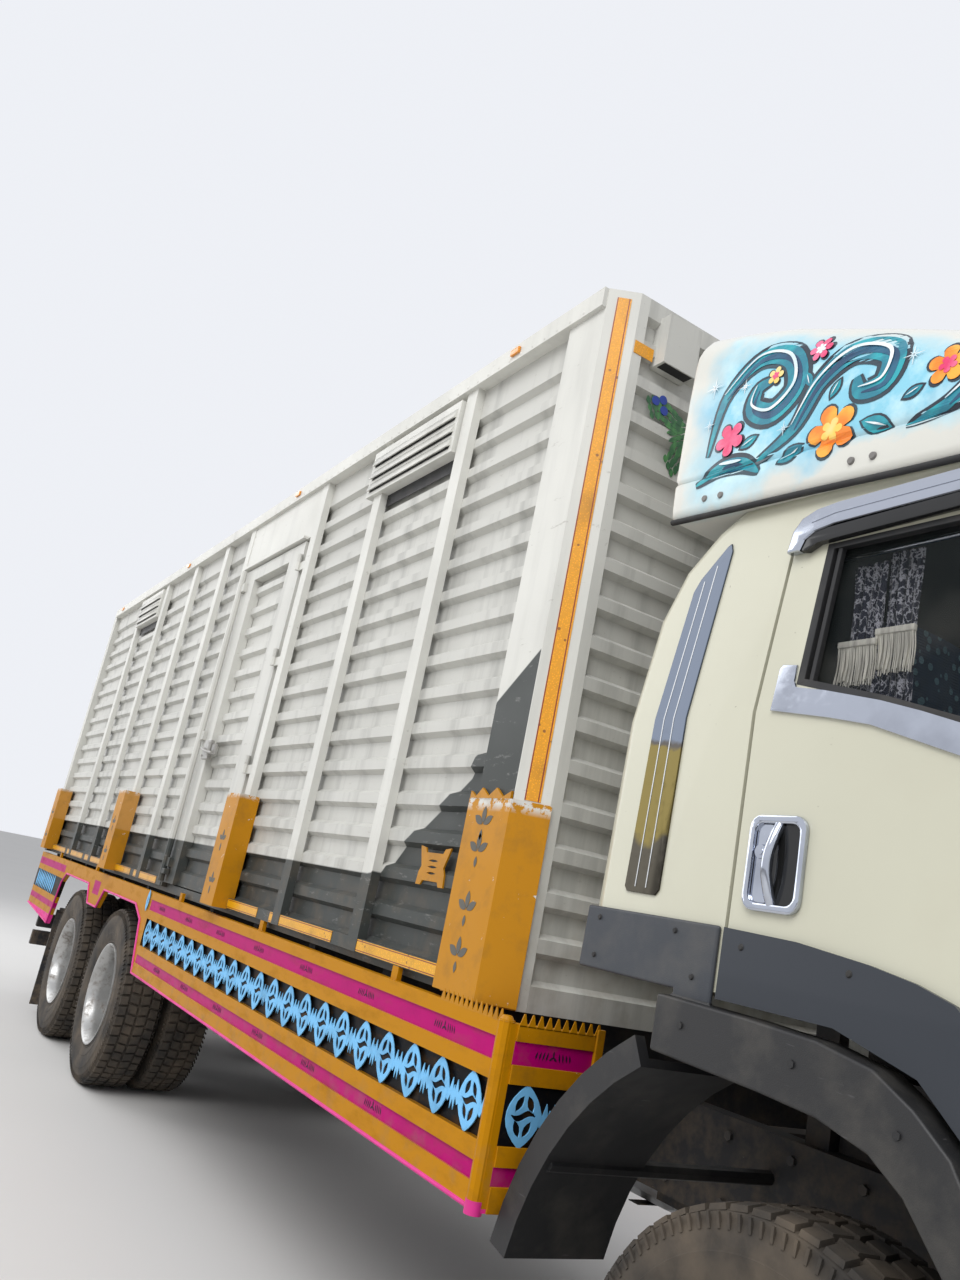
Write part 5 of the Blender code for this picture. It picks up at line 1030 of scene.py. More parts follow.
class TRUCK_OT_wheels(TruckStep, bpy.types.Operator):
    """Tyres with their tread, rims with hand holes and nuts"""

    bl_idname = "truck.wheels"
    bl_label = "Wheels"

    def execute(self, context):
        rubber, silver = rubber_finish("tyre_rubber"), rim_finish("rim_silver")
        tyre, twin, front = tyre_mesh(), twin_rim_mesh(), front_rim_mesh()
        for side_name, side in SIDES:
            body = f"front_wheel_{side_name}"
            place_wheel(f"front_tyre_{side_name}_tread", tyre, rubber, FRONT_AXLE_X, FRONT_WHEEL_Y,
                        side, body, f"front_tyre_{side_name}")
            place_wheel(f"front_rim_{side_name}_disc", front, silver, FRONT_AXLE_X, FRONT_WHEEL_Y,
                        side, body, f"front_rim_{side_name}")
            for number, x in enumerate(AXLE_XS, 1):
                place = f"rear_{number}_{side_name}"
                for layer, y in TWIN_YS:
                    place_wheel(f"{place}_{layer}_tread", tyre, rubber, x, y, side,
                                f"{place}_wheels", f"{place}_{layer}_tyre")
                place_wheel(f"{place}_disc", twin, silver, x, TWIN_YS[0][1], side,
                            f"{place}_wheels", f"{place}_rim")
        for mesh in (tyre, twin, front):
            bpy.data.meshes.remove(mesh)
        return {"FINISHED"}


def guard_metal(name):
    """Ochre paint with grime in its corners and chips down to the primer."""
    made = Finish(name, colours().ochre, 0.4, Specular_IOR_Level=0.2)
    made.shade(0.25, made.patches(0.45, 0.75, 5, 6))
    grime = made.patches(0.5, 0.75, 13, 8, roughness=0.65)
    made.cover((0.16, 0.08, 0.015), grime, 0.5)
    made.cover((0.6, 0.58, 0.52), made.patches(0.69, 0.705, 34, 7, roughness=0.7))
    made.bump(made.noise(70, 4), 0.0005, 0.4)
    return made.done()


# Box body
POCKET_XS = ((0.185, 0.375), (-2.225, -2.035), (-4.765, -4.575))
STRIP_XS = ((1.75, 2.395), (0.945, 1.595), (0.385, 0.79), (-1.5, -0.95), (-2.03, -1.6),
            (-3.1, -2.35), (-3.85, -3.2), (-4.55, -3.95))
# Middle of the slanted front corner, and how far it runs along and across the truck
CORNER_X, CORNER_Y = 2.655, 1.2
CORNER_LENGTH, CORNER_WIDTH = 0.06, 0.09
BADGE_X = 2.18


def frame_paint():
    """Post paint, with ochre on the corner guard and the stake pockets."""
    made = box_paint("post_paint", colours().white, 0.12)
    reach = made.sum("ABSOLUTE", made.y)
    ochre = made.both(made.between(made.x, 2.3945, 2.75), made.rise(made.z, 1.782, 1.78))
    ochre = made.both(ochre, made.rise(reach, 1.1499, 1.1501))
    for low, high in POCKET_XS:
        foot = made.both(made.between(made.x, low - 0.001, high + 0.001),
                         made.rise(made.z, 1.768, 1.766))
        ochre = made.either(ochre, made.both(foot, made.rise(reach, 1.2101, 1.2102)))
    made.cover(colours().ochre, ochre)
    broken = made.noise(24, 7, roughness=0.7)
    made.cover((0.6, 0.59, 0.55), made.both(ochre, made.rise(broken, 0.66, 0.675)))
    edge = made.both(made.rise(made.z, 1.74, 1.765), made.rise(broken, 0.46, 0.5))
    made.cover((0.62, 0.61, 0.57), made.both(ochre, edge))
    grime = made.patches(0.5, 0.72, 8, 8, roughness=0.65)
    made.cover((0.2, 0.1, 0.02), made.both(ochre, grime), 0.45)
    return made.done()


def tape_finish(name, colour, step):
    """Reflective tape: fine cells, a darker edge and a small mark at each step."""
    made = Finish(name, colour, 0.28, Coat_Weight=0.3)
    made.shade(0.22, made.rise(made.cells(150), 0.25, 0.4))
    along = made.sum("ADD", made.z, made.x)
    share = made.sum("FRACT", made.sum("DIVIDE", along, step))
    mark = made.both(made.between(share, 0.44, 0.56, 0.01), made.rise(made.cells(55), 0.3, 0.26))
    made.cover((0.16, 0.05, 0.01), mark, 0.8)
    made.shade(0.4, made.patches(0.56, 0.8, 7, 7))
    lines = made.either(made.between(made.z, 1.246, 1.249, 0.0003), made.between(made.z, 1.277, 1.28, 0.0003))
    across = made.sum("ABSOLUTE", made.sum("SUBTRACT", made.x, CORNER_X))
    edges = made.both(made.rise(made.z, 1.7, 1.701), made.between(across, 0.0098, 0.0118, 0.0003))
    made.cover((0.2, 0.01, 0.004), made.either(lines, edges))
    made.bump(made.cells(150), 0.0003, 0.4)
    return made.done()


def corner_tape(side, low_z, high_z):
    """A strip lying on the slanted face of the box's front corner."""
    along = Vector((CORNER_LENGTH, -CORNER_WIDTH * side, 0)).normalized()
    out = Vector((CORNER_WIDTH, CORNER_LENGTH * side, 0)).normalized()
    middle = Vector((CORNER_X, CORNER_Y * side, 0))
    half = sizes().tape_width / 2
    corners = [middle + along * a + out * b for a, b in
               ((-half, 0.0002), (half, 0.0002), (half, 0.0016), (-half, 0.0016))]

    def build(shape):
        low = [shape.verts.new((p.x, p.y, low_z)) for p in corners]
        high = [shape.verts.new((p.x, p.y, high_z)) for p in corners]
        shape.faces.new(low)
        shape.faces.new(high)
        for i in range(4):
            shape.faces.new((low[i], low[(i + 1) % 4], high[(i + 1) % 4], high[i]))
        bmesh.ops.recalc_face_normals(shape, faces=shape.faces)
    return shaped(build)


class TRUCK_OT_box(TruckStep, bpy.types.Operator):
    """Paint of the box body, tapes, vents, locks, rivets and lamps"""

    bl_idname = "truck.box"
    bl_label = "Box body"

    def execute(self, context):
        shade = colours()
        # The wall sheets are painted darker than the posts, at 0.84 of the white: partly dirt, partly painted
        # shade for the sheet recessed between the posts.
        sheet = box_paint("sheet_paint_dirt_and_shade", [c * 0.84 for c in shade.white], 0.3).done()
        dress(sheet, "box_paint", "side_wall_right", "side_wall_left", "front_wall")
        # The roof is painted darker than the box's white, at 0.78 of it: painted shade that holds back the
        # lamps' glare on the top.
        roof = box_paint("roof_paint_painted_shade", [c * 0.78 for c in shade.white], 0.2)
        dress(roof.done(), "box_paint", "box_roof")
        posts = frame_paint()
        for side_name, _ in SIDES:
            refined(f"side_frame_{side_name}", posts, 0.003)
        doors = box_paint("door_paint", [c * 0.9 for c in shade.white], 0.25).done()
        for node in ("side_door", "rear_door_right", "rear_door_left", "rear_frame"):
            refined(node, doors, 0.003)
        self.tapes()
        self.corner_marks()
        self.vents()
        self.side_lock(posts)
        self.rear_fittings()
        self.front_sprig()
        return {"FINISHED"}

    def tapes(self):
        orange = tape_finish("tape_orange", colours().tape, 0.3)
        strips = [corner_tape(side, 1.785, 3.47) for _, side in SIDES]
        strips += [boxed((2.6852, side * 1.07, 3.28), (2.687, side * 1.15, 3.325)) for _, side in SIDES]
        piece("corner_tape", joined(strips), orange, "chassis")
        yellow = tape_finish("tape_yellow", (0.93, 0.45, 0.006), 0.33)
        strips = []
        for _, side in SIDES:
            for low, high in STRIP_XS:
                strips.append(boxed((low, side * 1.2412, 1.243), (high, side * 1.2432, 1.283)))
        piece("sole_tape", joined(strips), yellow, "chassis")

    def stencil(self, x, z, reach, petal, foot, plane_y):
        """Three petals fanned out over a foot leaf, between two places on Y.

        reach is (radius, spread), petal is (length, width) and foot is (drop, length, width).
        """
        radius, spread = reach
        fan = [lens(Vector((x, z)) + polar(1.57 + turn, radius), *petal, 1.57 + turn)
               for turn in (-spread, 0, spread)]
        drop, *leaf = foot
        return [plate([outline], "XZ", *plane_y)
                for outline in (*fan, lens((x, z - drop), *leaf, 1.57))]

    def corner_marks(self):
        """Stencilled leaves and a notched crown on each corner guard, and a small plaque."""
        grey = weathered("stencil_grey", (0.12, 0.115, 0.1), 0.6).done()
        ochre = guard_metal("plaque_ochre")
        for side_name, side in SIDES:
            guard_y, pocket_y = (side * 1.2552, side * 1.2562), (side * 1.3099, side * 1.311)
            marks = []
            for z in (1.32, 1.45, 1.62, 1.7):
                marks += self.stencil(2.5, z, (0.03, 1.07), (0.052, 0.024), (0.03, 0.032, 0.016), guard_y)
            for low, high in POCKET_XS:
                for z in (1.34, 1.54):
                    marks += self.stencil((low + high) / 2, z, (0.026, 1.17), (0.046, 0.022),
                                          (0.035, 0.04, 0.018), pocket_y)
            piece(f"corner_stencil_{side_name}", joined(marks), grey, "chassis")
            crown = [(2.397, 1.776), (2.397, 1.802), (2.43, 1.785), (2.46, 1.812), (2.5, 1.786),
                     (2.54, 1.812), (2.58, 1.785), (2.622, 1.803), (2.622, 1.776)]
            parts = [plate([crown], "XZ", side * 1.247, side * 1.255)]
            half_badge = ((0.05, 1.515), (0.06, 1.5), (0.09, 1.5), (0.085, 1.54), (0.072, 1.56),
                          (0.085, 1.59), (0.1, 1.625), (0.065, 1.62), (0.055, 1.605))
            badge = [(BADGE_X + across, z) for across, z in (*half_badge, *flipped(half_badge))]
            slots = [lens((BADGE_X, z), 0.06, 0.008, 0) for z in (1.54, 1.56, 1.58)]
            parts.append(plate([badge, *slots], "XZ", side * 1.2101, side * 1.216))
            piece(f"corner_crown_{side_name}", joined(parts), ochre, "chassis", 35)

    def vents(self):
        """Louvred fronts of the four vent hoods, with near-black sheets in their slots as painted shade."""
        slot_shade = plastic_finish("vent_painted_shade", (0.01, 0.01, 0.011))
        white = box_paint("louvre_paint", colours().white, 0.2).done()
        slots, blades = [], []
        for _, side in SIDES:
            slots.append(boxed((2.69, side * 0.93, 3.2692), (2.73, side * 1.05, 3.271)))
            for low, high in ((0.925, 1.725), (-3.675, -2.975)):
                for z in (3.19, 3.252, 3.318):
                    slots.append(boxed((low + 0.03, side * 1.2605, z),
                                       (high - 0.03, side * 1.2628, z + 0.012)))
                    y0, y1 = side * 1.2622, side * 1.276
                    outline = [(y0, z + 0.012), (y0, z + 0.05), (y1, z + 0.008), (y1, z + 0.004)]
                    blades.append(plate([outline], "YZ", low + 0.02, high - 0.02))
                slots.append(boxed((low + 0.01, side * 1.2105, 3.11), (high - 0.01, side * 1.2125, 3.169)))
        # Thin near-black sheets in the slots: painted shade inside the vent openings.
        piece("vent_slots", joined(slots), slot_shade, "chassis")
        piece("vent_louvres", joined(blades), white, "chassis")

    def side_lock(self, white):
        """The side door's handle and latch, with its hinge tab."""
        steel = weathered("lock_steel", (0.34, 0.33, 0.31), 0.4, 0.02).done()
        y = -1.247
        parts = [boxed((-0.62, y - 0.02, 1.96), (-0.50, y + 0.004, 2.07), 0.006),
                 boxed((-0.49, y - 0.012, 1.985), (-0.42, y + 0.004, 2.045), 0.004),
                 tube([(-0.6, y - 0.03, 2.02), (-0.5, y - 0.038, 2.0), (-0.4, y - 0.03, 1.99)], 0.008),
                 cylinder((-0.46, y - 0.03, 1.975), (-0.46, y - 0.03, 2.05), 0.011, 16)]
        screw = cylinder((0, y - 0.02, 0), (0, y - 0.027, 0), 0.006, 6)
        parts.append(repeated(screw, 2, (-0.6, 0, 1.98), (0.08, 0, 0.07)))
        piece("side_lock", joined(parts), steel, "side_door", 35)
        lug = boxed((-0.78, -1.276, 1.31), (-0.7, -1.2455, 1.34), 0.004)
        piece("side_lock_foot", lug, white, "chassis", 35)

    def rear_fittings(self):
        """Handles on the rear lock rods, marker lamps and rivets along the top rails."""
        steel = weathered("rod_steel", (0.4, 0.39, 0.37), 0.4, 0.02).done()
        for side_name, side in SIDES:
            x = BOX_REAR_X - 0.03
            parts = []
            for y in (0.31, 0.83):
                end = side * (y - 0.1)
                parts.append(boxed((x - 0.012, end, 2.0), (x + 0.004, side * (y + 0.02), 2.035), 0.006))
                parts.append(boxed((x - 0.014, end, 1.99), (x + 0.026, side * (y - 0.08), 2.045), 0.004))
            piece(f"rear_handles_{side_name}", joined(parts), steel, f"rear_door_{side_name}",
                  35)
        red = lens_finish("marker_red", (0.5, 0.01, 0.008))
        amber = lens_finish("marker_amber", (0.85, 0.3, 0.01))
        lamps = [cylinder((BOX_REAR_X + 0.002, y, 3.43), (BOX_REAR_X - 0.014, y, 3.43), 0.028, 24)
                 for y in (-1.1, -0.12, 0, 0.12, 1.1)]
        piece("rear_markers", joined(lamps), red, "chassis", 35)
        lamps = []
        for side in (RIGHT, LEFT):
            motif = boxed((-0.03, side * 1.2612, 3.452), (0.03, side * 1.274, 3.478), 0.005)
            lamps.append(repeated(motif, 4, (-4.5, 0, 0), (2.2, 0, 0)))
        piece("side_markers", joined(lamps), amber, "chassis", 35)
        rivet = cylinder((0, -1.2615, 0), (0, -1.2645, 0), 0.008, 8, 0.004)
        rows = [repeated(rivet, 96, (-4.75, 0, 3.444), (0.0765, 0, 0))]
        rows.append(mirrored(rows[0].copy(), LEFT))
        piece("rail_rivets", joined(rows), box_paint("rivet_paint", colours().white, 0.1).done(),
              "chassis", 40)

    def front_sprig(self):
        """A sprig of green leaves with two blue buds on each end of the front wall."""
        green = Finish("sprig_green", (0.012, 0.085, 0.025), 0.35)
        green.cover((0.05, 0.2, 0.05), green.patches(0.45, 0.6, 45, 4, (1, 1, 0.4)))
        green, blue = green.done(), weathered("sprig_blue", (0.02, 0.05, 0.3), 0.35).done()
        x = 2.687
        for side_name, side in SIDES:
            leaves = []
            for ring, (radius, count) in enumerate(((0.125, 17), (0.1, 15), (0.075, 11))):
                for i in range(count):
                    share = i / (count - 1)
                    angle = math.radians(62 + 168 * share)
                    middle = Vector((1.0, 3.035)) + polar(angle) * radius
                    middle.x *= side
                    lean = angle + math.radians(52)
                    if side == LEFT:
                        lean = math.pi - lean
                    length = 0.05 * (0.62 + 0.5 * math.sin(math.pi * share))
                    leaves.append(plate([lens(middle, length, 0.019, lean)], "YZ",
                                        x, x + 0.0014 - 0.0004 * ring + 0.0002 * (i % 2)))
            piece(f"sprig_{side_name}", joined(leaves), green, "chassis")
            buds = [plate([circle(0.016, (side * y, z), 16)], "YZ", x, x + 0.003)
                    for y, z in ((1.03, 3.155), (0.99, 3.135), (1.0, 3.17))]
            piece(f"sprig_buds_{side_name}", joined(buds), blue, "chassis")


# Side guards, drawn for the truck's right side and mirrored for its left
GUARD_FACE = -1.25
GUARD_BACK_X = -0.875
GUARD_FRONT_X = 2.776
LATTICE_MIDDLE = 0.9795
LOWER_EDGE = (
    (-4.905, 0.753), (-3.785, 0.694), (-3.645, 1.031), (-3.525, 1.102), (-2.625, 1.102),
    (-2.505, 0.977), (-2.215, 0.977), (-2.095, 1.102), (-1.195, 1.102), (-1.015, 1.031),
    (-0.885, 0.753), (2.79, 0.753),
)


def lens(centre, length, width, angle, steps=6):
    """The outline of a pointed leaf about its middle."""
    along = polar(angle)
    across = Vector((-along.y, along.x))
    points = []
    for sign in (1, -1):
        for i in range(steps):
            a = sign * (i / steps - 0.5)
            b = sign * width / 2 * (1 - (2 * a) ** 2)
            points.append(tuple(Vector(centre) + along * a * length + across * b))
    return points


def wave(centre, length, height, thickness, steps=8):
    """The outline of an S-shaped slit, thin at its ends."""
    upper, lower = [], []
    for i in range(steps + 1):
        share = i / steps
        middle = centre[1] - height * math.sin(2 * math.pi * share)
        half = thickness * (0.15 + math.sin(math.pi * share)) / 2
        upper.append((centre[0] + length * (share - 0.5), middle + half))
        lower.append((centre[0] + length * (share - 0.5), middle - half))
    return upper + lower[::-1]


def flipped(points):
    """Points mirrored across the middle, in reverse, so that they close an outline."""
    return tuple((-across, up) for across, up in reversed(points))


def leaf_motif(plane, near, far, across, pitch):
    """A cut leaf that reaches from bar to bar, and the spiked link to the next one."""
    z = LATTICE_MIDDLE
    holes = [lens((across - 0.0175, z + 0.03), 0.046, 0.022, math.radians(62), 4),
             lens((across + 0.0175, z + 0.03), 0.046, 0.022, math.radians(118), 4),
             wave((across, z + 0.0015), 0.078, 0.007, 0.017),
             lens((across - 0.0155, z - 0.03), 0.046, 0.021, math.radians(118), 4),
             lens((across + 0.0155, z - 0.03), 0.046, 0.021, math.radians(62), 4)]
    leaf = plate([lens((across, z), 0.156, 0.108, math.radians(90), 9), *holes], plane, near, far)
    half = pitch / 2 - 0.04
    x = across + pitch / 2
    upper = ((0.12, 0.004), (0.3, 0.036), (0.55, 0.002), (0.85, 0.03), (1, -0.012))
    lower = ((0.55, -0.026), (0.3, -0.006), (0.2, -0.042))
    shares = (*flipped(upper), (0, 0.02), *upper, *lower, (0, -0.014), *flipped(lower))
    link = plate([[(x + half * a, z + b) for a, b in shares]], plane, near, near + (far - near) * 0.8)
    return joined([leaf, link])


def mark_row(plane, near, far):
    """Small painted marks in a band: four spears, a three-armed star and four spears."""
    marks = []
    for i in (-5.2, -4.1, -3, -1.9, 1.9, 3, 4.1, 5.2):
        lean = math.radians(90 + 12 * math.copysign(1, i))
        marks.append(lens((i * 0.0105, 0), 0.024 - 0.003 * (abs(i) > 4), 0.0055, lean, 3))
    for angle in (90, 215, 325):
        turn = math.radians(angle)
        marks.append(lens(polar(turn, 0.007), 0.018, 0.0065, turn, 3))
    return joined([plate([mark], plane, near, far) for mark in marks])


def guard_bands():
    """Ochre bars with magenta bands between them, painted black shade in the lattice's openwork and a pink
    lower edge.
    """
    made = Finish("guard_bands", colours().ochre, 0.45, Specular_IOR_Level=0.08)
    magenta = made.either(made.between(made.z, 1.1, 1.157), made.between(made.z, 0.812, 0.857))
    # Near black across the lattice band is painted shade for the openings between the cut leaves.
    openwork_shade = made.between(made.z, 0.906, 1.053)
    reach = made.either(made.rise(made.x, GUARD_BACK_X - 0.001, GUARD_BACK_X),
                        made.rise(made.x, -3.64, -3.641))
    corner_tube = made.both(made.rise(made.x, 2.7755, 2.7765),
                            made.rise(made.sum("ABSOLUTE", made.y), 1.2275, 1.2285))
    reach = made.both(reach, made.sum("SUBTRACT", 1.0, corner_tube))
    patch = made.both(made.between(made.x, -2.46, -2.26), made.between(made.z, 1.05, 1.14))
    magenta = made.either(made.both(magenta, reach), patch)
    made.cover(colours().magenta, magenta)
    ragged = made.both(magenta, made.patches(0.5, 0.72, 19, 7, (0.6, 1, 1), 0.65))
    made.cover((0.34, 0.002, 0.12), ragged, 0.6)
    made.cover((0.006, 0.006, 0.007), made.both(openwork_shade, reach))
    made.cover((0.8, 0.03, 0.3), made.rise(made.z, 0.7605, 0.7595))
    bars = made.patches(0.5, 0.75, 13, 8, (0.5, 1, 1.4), 0.65)
    made.cover((0.2, 0.09, 0.012), bars, 0.4)
    chips = made.patches(0.72, 0.735, 36, 7, roughness=0.7)
    made.cover((0.5, 0.48, 0.42), chips)
    made.splashed(1.1, 0.75, (0.5, 0.72, 15, 8), 0.35)
    made.rough(0.34, 0.6, bars)
    made.bump(made.noise(60, 4), 0.0005, 0.4)
    made.bump(made.noise(4, 2), 0.004, 0.2)
    return made.done()


class TRUCK_OT_guards(TruckStep, bpy.types.Operator):
    """Painted bands, cut leaves, marks and saw teeth of the side guards"""

    bl_idname = "truck.guards"
    bl_label = "Side guards"

    def execute(self, context):
        bands = guard_bands()
        blue = Finish("leaf_blue", colours().blue, 0.45, Specular_IOR_Level=0.2)
        blue.shade(0.3, blue.patches(0.45, 0.75, 18, 6))
        blue.cover((0.05, 0.12, 0.2), blue.patches(0.7, 0.72, 55, 6, roughness=0.7))
        blue.bump(blue.noise(80, 3), 0.0004, 0.4)
        blue = blue.done()
        ochre = guard_metal("guard_ochre")
        pink = weathered("edge_pink", (0.72, 0.03, 0.27), 0.45).done()
        ink = weathered("mark_ink", (0.035, 0.002, 0.03), 0.6).done()
        count = sizes().leaf_count
        pitch = (GUARD_FRONT_X - GUARD_BACK_X) / count
        rear_pitch = 0.082
        front_x = 2.8202
        bands_z = ((0.812, 0.857), (1.1, 1.157))
        for side_name, side in SIDES:
            refined(f"side_guard_{side_name}", bands, 0.0015)
            motif = leaf_motif("XZ", -1.2472, -1.2515, 0, pitch)
            leaves = [repeated(motif, count, (GUARD_BACK_X + pitch / 2, 0, 0), (pitch, 0, 0))]
            leaves.append(leaf_motif("YZ", 2.8203, 2.8243, -1.165, 0.165))
            leaves.append(leaf_motif("YZ", 2.8203, 2.8243, -1.0, 0.13))
            spikes = plate([lens((0, LATTICE_MIDDLE), 0.15, 0.05, math.radians(90), 5),
                            wave((0, LATTICE_MIDDLE), 0.034, 0.01, 0.008, 4)], "XZ", -1.2502, -1.2535)
            leaves.append(repeated(spikes, 11, (-4.78, 0, 0), (rear_pitch, 0, 0)))
            upright = plate([lens((0, 0), 0.12, 0.05, math.radians(90), 6),
                             lens((0, 0), 0.06, 0.016, math.radians(90), 4)], "XZ", -1.2562, -1.259)
            upright.transform(Matrix.Translation((-0.93, 0, 1.145)))
            leaves.append(upright)
            side_piece("guard_leaves", leaves, side, blue, "chassis")

            tooth = sizes().tooth
            shape = [(-0.0125, -0.004), (-0.002, tooth), (0.002, tooth), (0.0125, -0.004)]
            rows = [repeated(plate([shape], "XZ", -1.2562, -1.2532), 13,
                             (2.47, 0, 1.198), (0.0255, 0, 0)),
                    repeated(plate([shape], "YZ", 2.8232, 2.8262), 10,
                             (0, -1.215, 1.198), (0, 0.0275, 0))]
            for low, high in ((0.75, 0.812), (0.857, 0.906), (1.053, 1.1), (1.157, 1.198)):
                rows.append(boxed((front_x, -1.228, low), (front_x + 0.006, -0.953, high), 0.0015))
            rows.append(boxed((2.8195, -0.972, 0.75), (2.832, -0.946, 1.215), 0.003))
            rows.append(cylinder((2.798, -1.25, 1.2), (2.798, -1.25, 1.214), 0.0225, 24, 0.012))
            side_piece("guard_teeth", rows, side, ochre, "chassis", 35)

            fields = [boxed((2.8201, -1.228, low), (2.8206, -0.972, high)) for low, high in bands_z]
            side_piece("guard_front_bands", fields, side, bands, "chassis")

            edge = [(x, GUARD_FACE - 0.002, z) for x, z in LOWER_EDGE]
            line = [tube(edge, 0.007, 8, smooth=False),
                    cylinder((2.798, -1.25, 0.742), (2.798, -1.25, 0.775), 0.0235, 24)]
            side_piece("guard_edge", line, side, pink, "chassis", 40)

            marks = []
            for z, start, many in ((1.1285, -0.62, 7), (0.8345, -0.42, 6)):
                row = mark_row("XZ", -1.2502, -1.2507)
                marks.append(repeated(row, many, (start, 0, z), (0.52, 0, 0)))
                marks.append(repeated(mark_row("YZ", 2.8208, 2.8213), 1, (0, -1.1, z)))
            side_piece("guard_marks", marks, side, ink, "chassis")
        return {"FINISHED"}


# Cab, drawn for the truck's right side and mirrored for its left
BELT_Z = 2.0
WINDOW = (
    (3.575, 2.06), (3.805, 2.0), (4.025, 1.93), (4.495, 1.86), (4.465, 2.02), (4.345, 2.36),
    (4.295, 2.4), (3.575, 2.41),
)
SKIN_Y = -1.2
DOOR = "cab_door_SIDE"


def on_skin(outlines, proud, foot=0.0005, edge=0.0):
    """A plate on the cab's right side, from a foot off its skin to where it stands proud."""
    return plate(outlines, "XZ", SKIN_Y - proud, SKIN_Y - foot, edge)


def leaned(mesh):
    """Lean what is above the belt line in with the cab's sides."""
    shape = bmesh.new()
    shape.from_mesh(mesh)
    whole = list(shape.verts) + list(shape.edges) + list(shape.faces)
    bmesh.ops.bisect_plane(shape, geom=whole, plane_co=(0, 0, BELT_Z), plane_no=(0, 0, 1))
    for vertex in shape.verts:
        vertex.co.y *= 1 - 0.12 * max(0, vertex.co.z - BELT_Z)
    shape.to_mesh(mesh)
    shape.free()
    return mesh


def grown(points, width):
    """An outline moved outwards by a width."""
    count = len(points)
    area = sum(points[i - 1][0] * points[i][1] - points[i][0] * points[i - 1][1]
               for i in range(count))
    turn = math.copysign(1, area)
    moved = []
    for i in range(count):
        back, here, on = Vector(points[i - 1]), Vector(points[i]), Vector(points[(i + 1) % count])
        first, second = (here - back).normalized(), (on - here).normalized()
        first = Vector((first.y, -first.x)) * turn
        second = Vector((second.y, -second.x)) * turn
        moved.append(tuple(here + (first + second) * width / (1 + first.dot(second))))
    return moved


def rounded(low, high, radius, steps=4):
    """A rectangle's outline with round corners."""
    points = []
    for cx, cy, start in ((high[0], high[1], 0), (low[0], high[1], 90), (low[0], low[1], 180),
                          (high[0], low[1], 270)):
        x = cx - math.copysign(radius, cx - (low[0] + high[0]) / 2)
        y = cy - math.copysign(radius, cy - (low[1] + high[1]) / 2)
        for i in range(steps + 1):
            angle = math.radians(start + 90 * i / steps)
            points.append((x + radius * math.cos(angle), y + radius * math.sin(angle)))
    return points


def cream_paint(name, cladding=False, inner=0.0):
    made = Finish(name, colours().cream, 0.28, Specular_IOR_Level=0.35, Coat_Weight=0.2)
    made.shade(0.06, made.patches(0.4, 0.75, 1.7, 4))
    film = made.patches(0.5, 0.8, 7, 8, roughness=0.62)
    made.cover((0.5, 0.46, 0.36), film, 0.16)
    specks = made.patches(0.74, 0.76, 70, 3)
    made.cover((0.2, 0.17, 0.12), specks, 0.6)
    made.splashed(1.5, 0.5, (0.4, 0.7, 11, 8), 0.4)
    if cladding:
        reach = made.rise(made.sum("ABSOLUTE", made.y), 1.2004, 1.2006)
        band = made.both(reach, made.rise(made.z, 1.56, 1.559))
        made.cover(colours().slate, band)
        made.rough(0.24, 0.5, band)
    if inner:
        lean = made.sum("MULTIPLY", made.sum("MAXIMUM", made.sum("SUBTRACT", made.z, BELT_Z), 0.0), 0.14)
        depth = made.sum("ADD", made.sum("ABSOLUTE", made.y), lean)
        lining = made.both(made.rise(depth, inner + 0.0006, inner),
                           made.both(made.between(made.x, 3.0415, 4.4), made.between(made.z, 1.1, 2.562)))
        made.cover((0.035, 0.035, 0.038), lining)
        made.rough(0.28, 0.8, lining)
    made.bump(made.noise(1.3, 2), 0.01, 0.12)
    made.bump(made.noise(300, 2), 0.0001, 0.2)
    return made.done()


def slate_plastic(name):
    """Moulded cladding: slate above the arch, near black on the flare."""
    made = Finish(name, colours().slate, 0.42)
    made.cover((0.013, 0.013, 0.014), made.rise(made.z, 1.368, 1.366))
    made.cover((0.15, 0.135, 0.11), made.patches(0.48, 0.78, 6, 8, roughness=0.65), 0.3)
    scratches = made.patches(0.7, 0.74, 9, 5, (1, 1, 12))
    made.cover((0.12, 0.12, 0.125), scratches, 0.4)
    made.rough(0.36, 0.62, made.noise(9, 5))
    made.bump(made.cells(380), 0.0004, 0.4)
    return made.done()


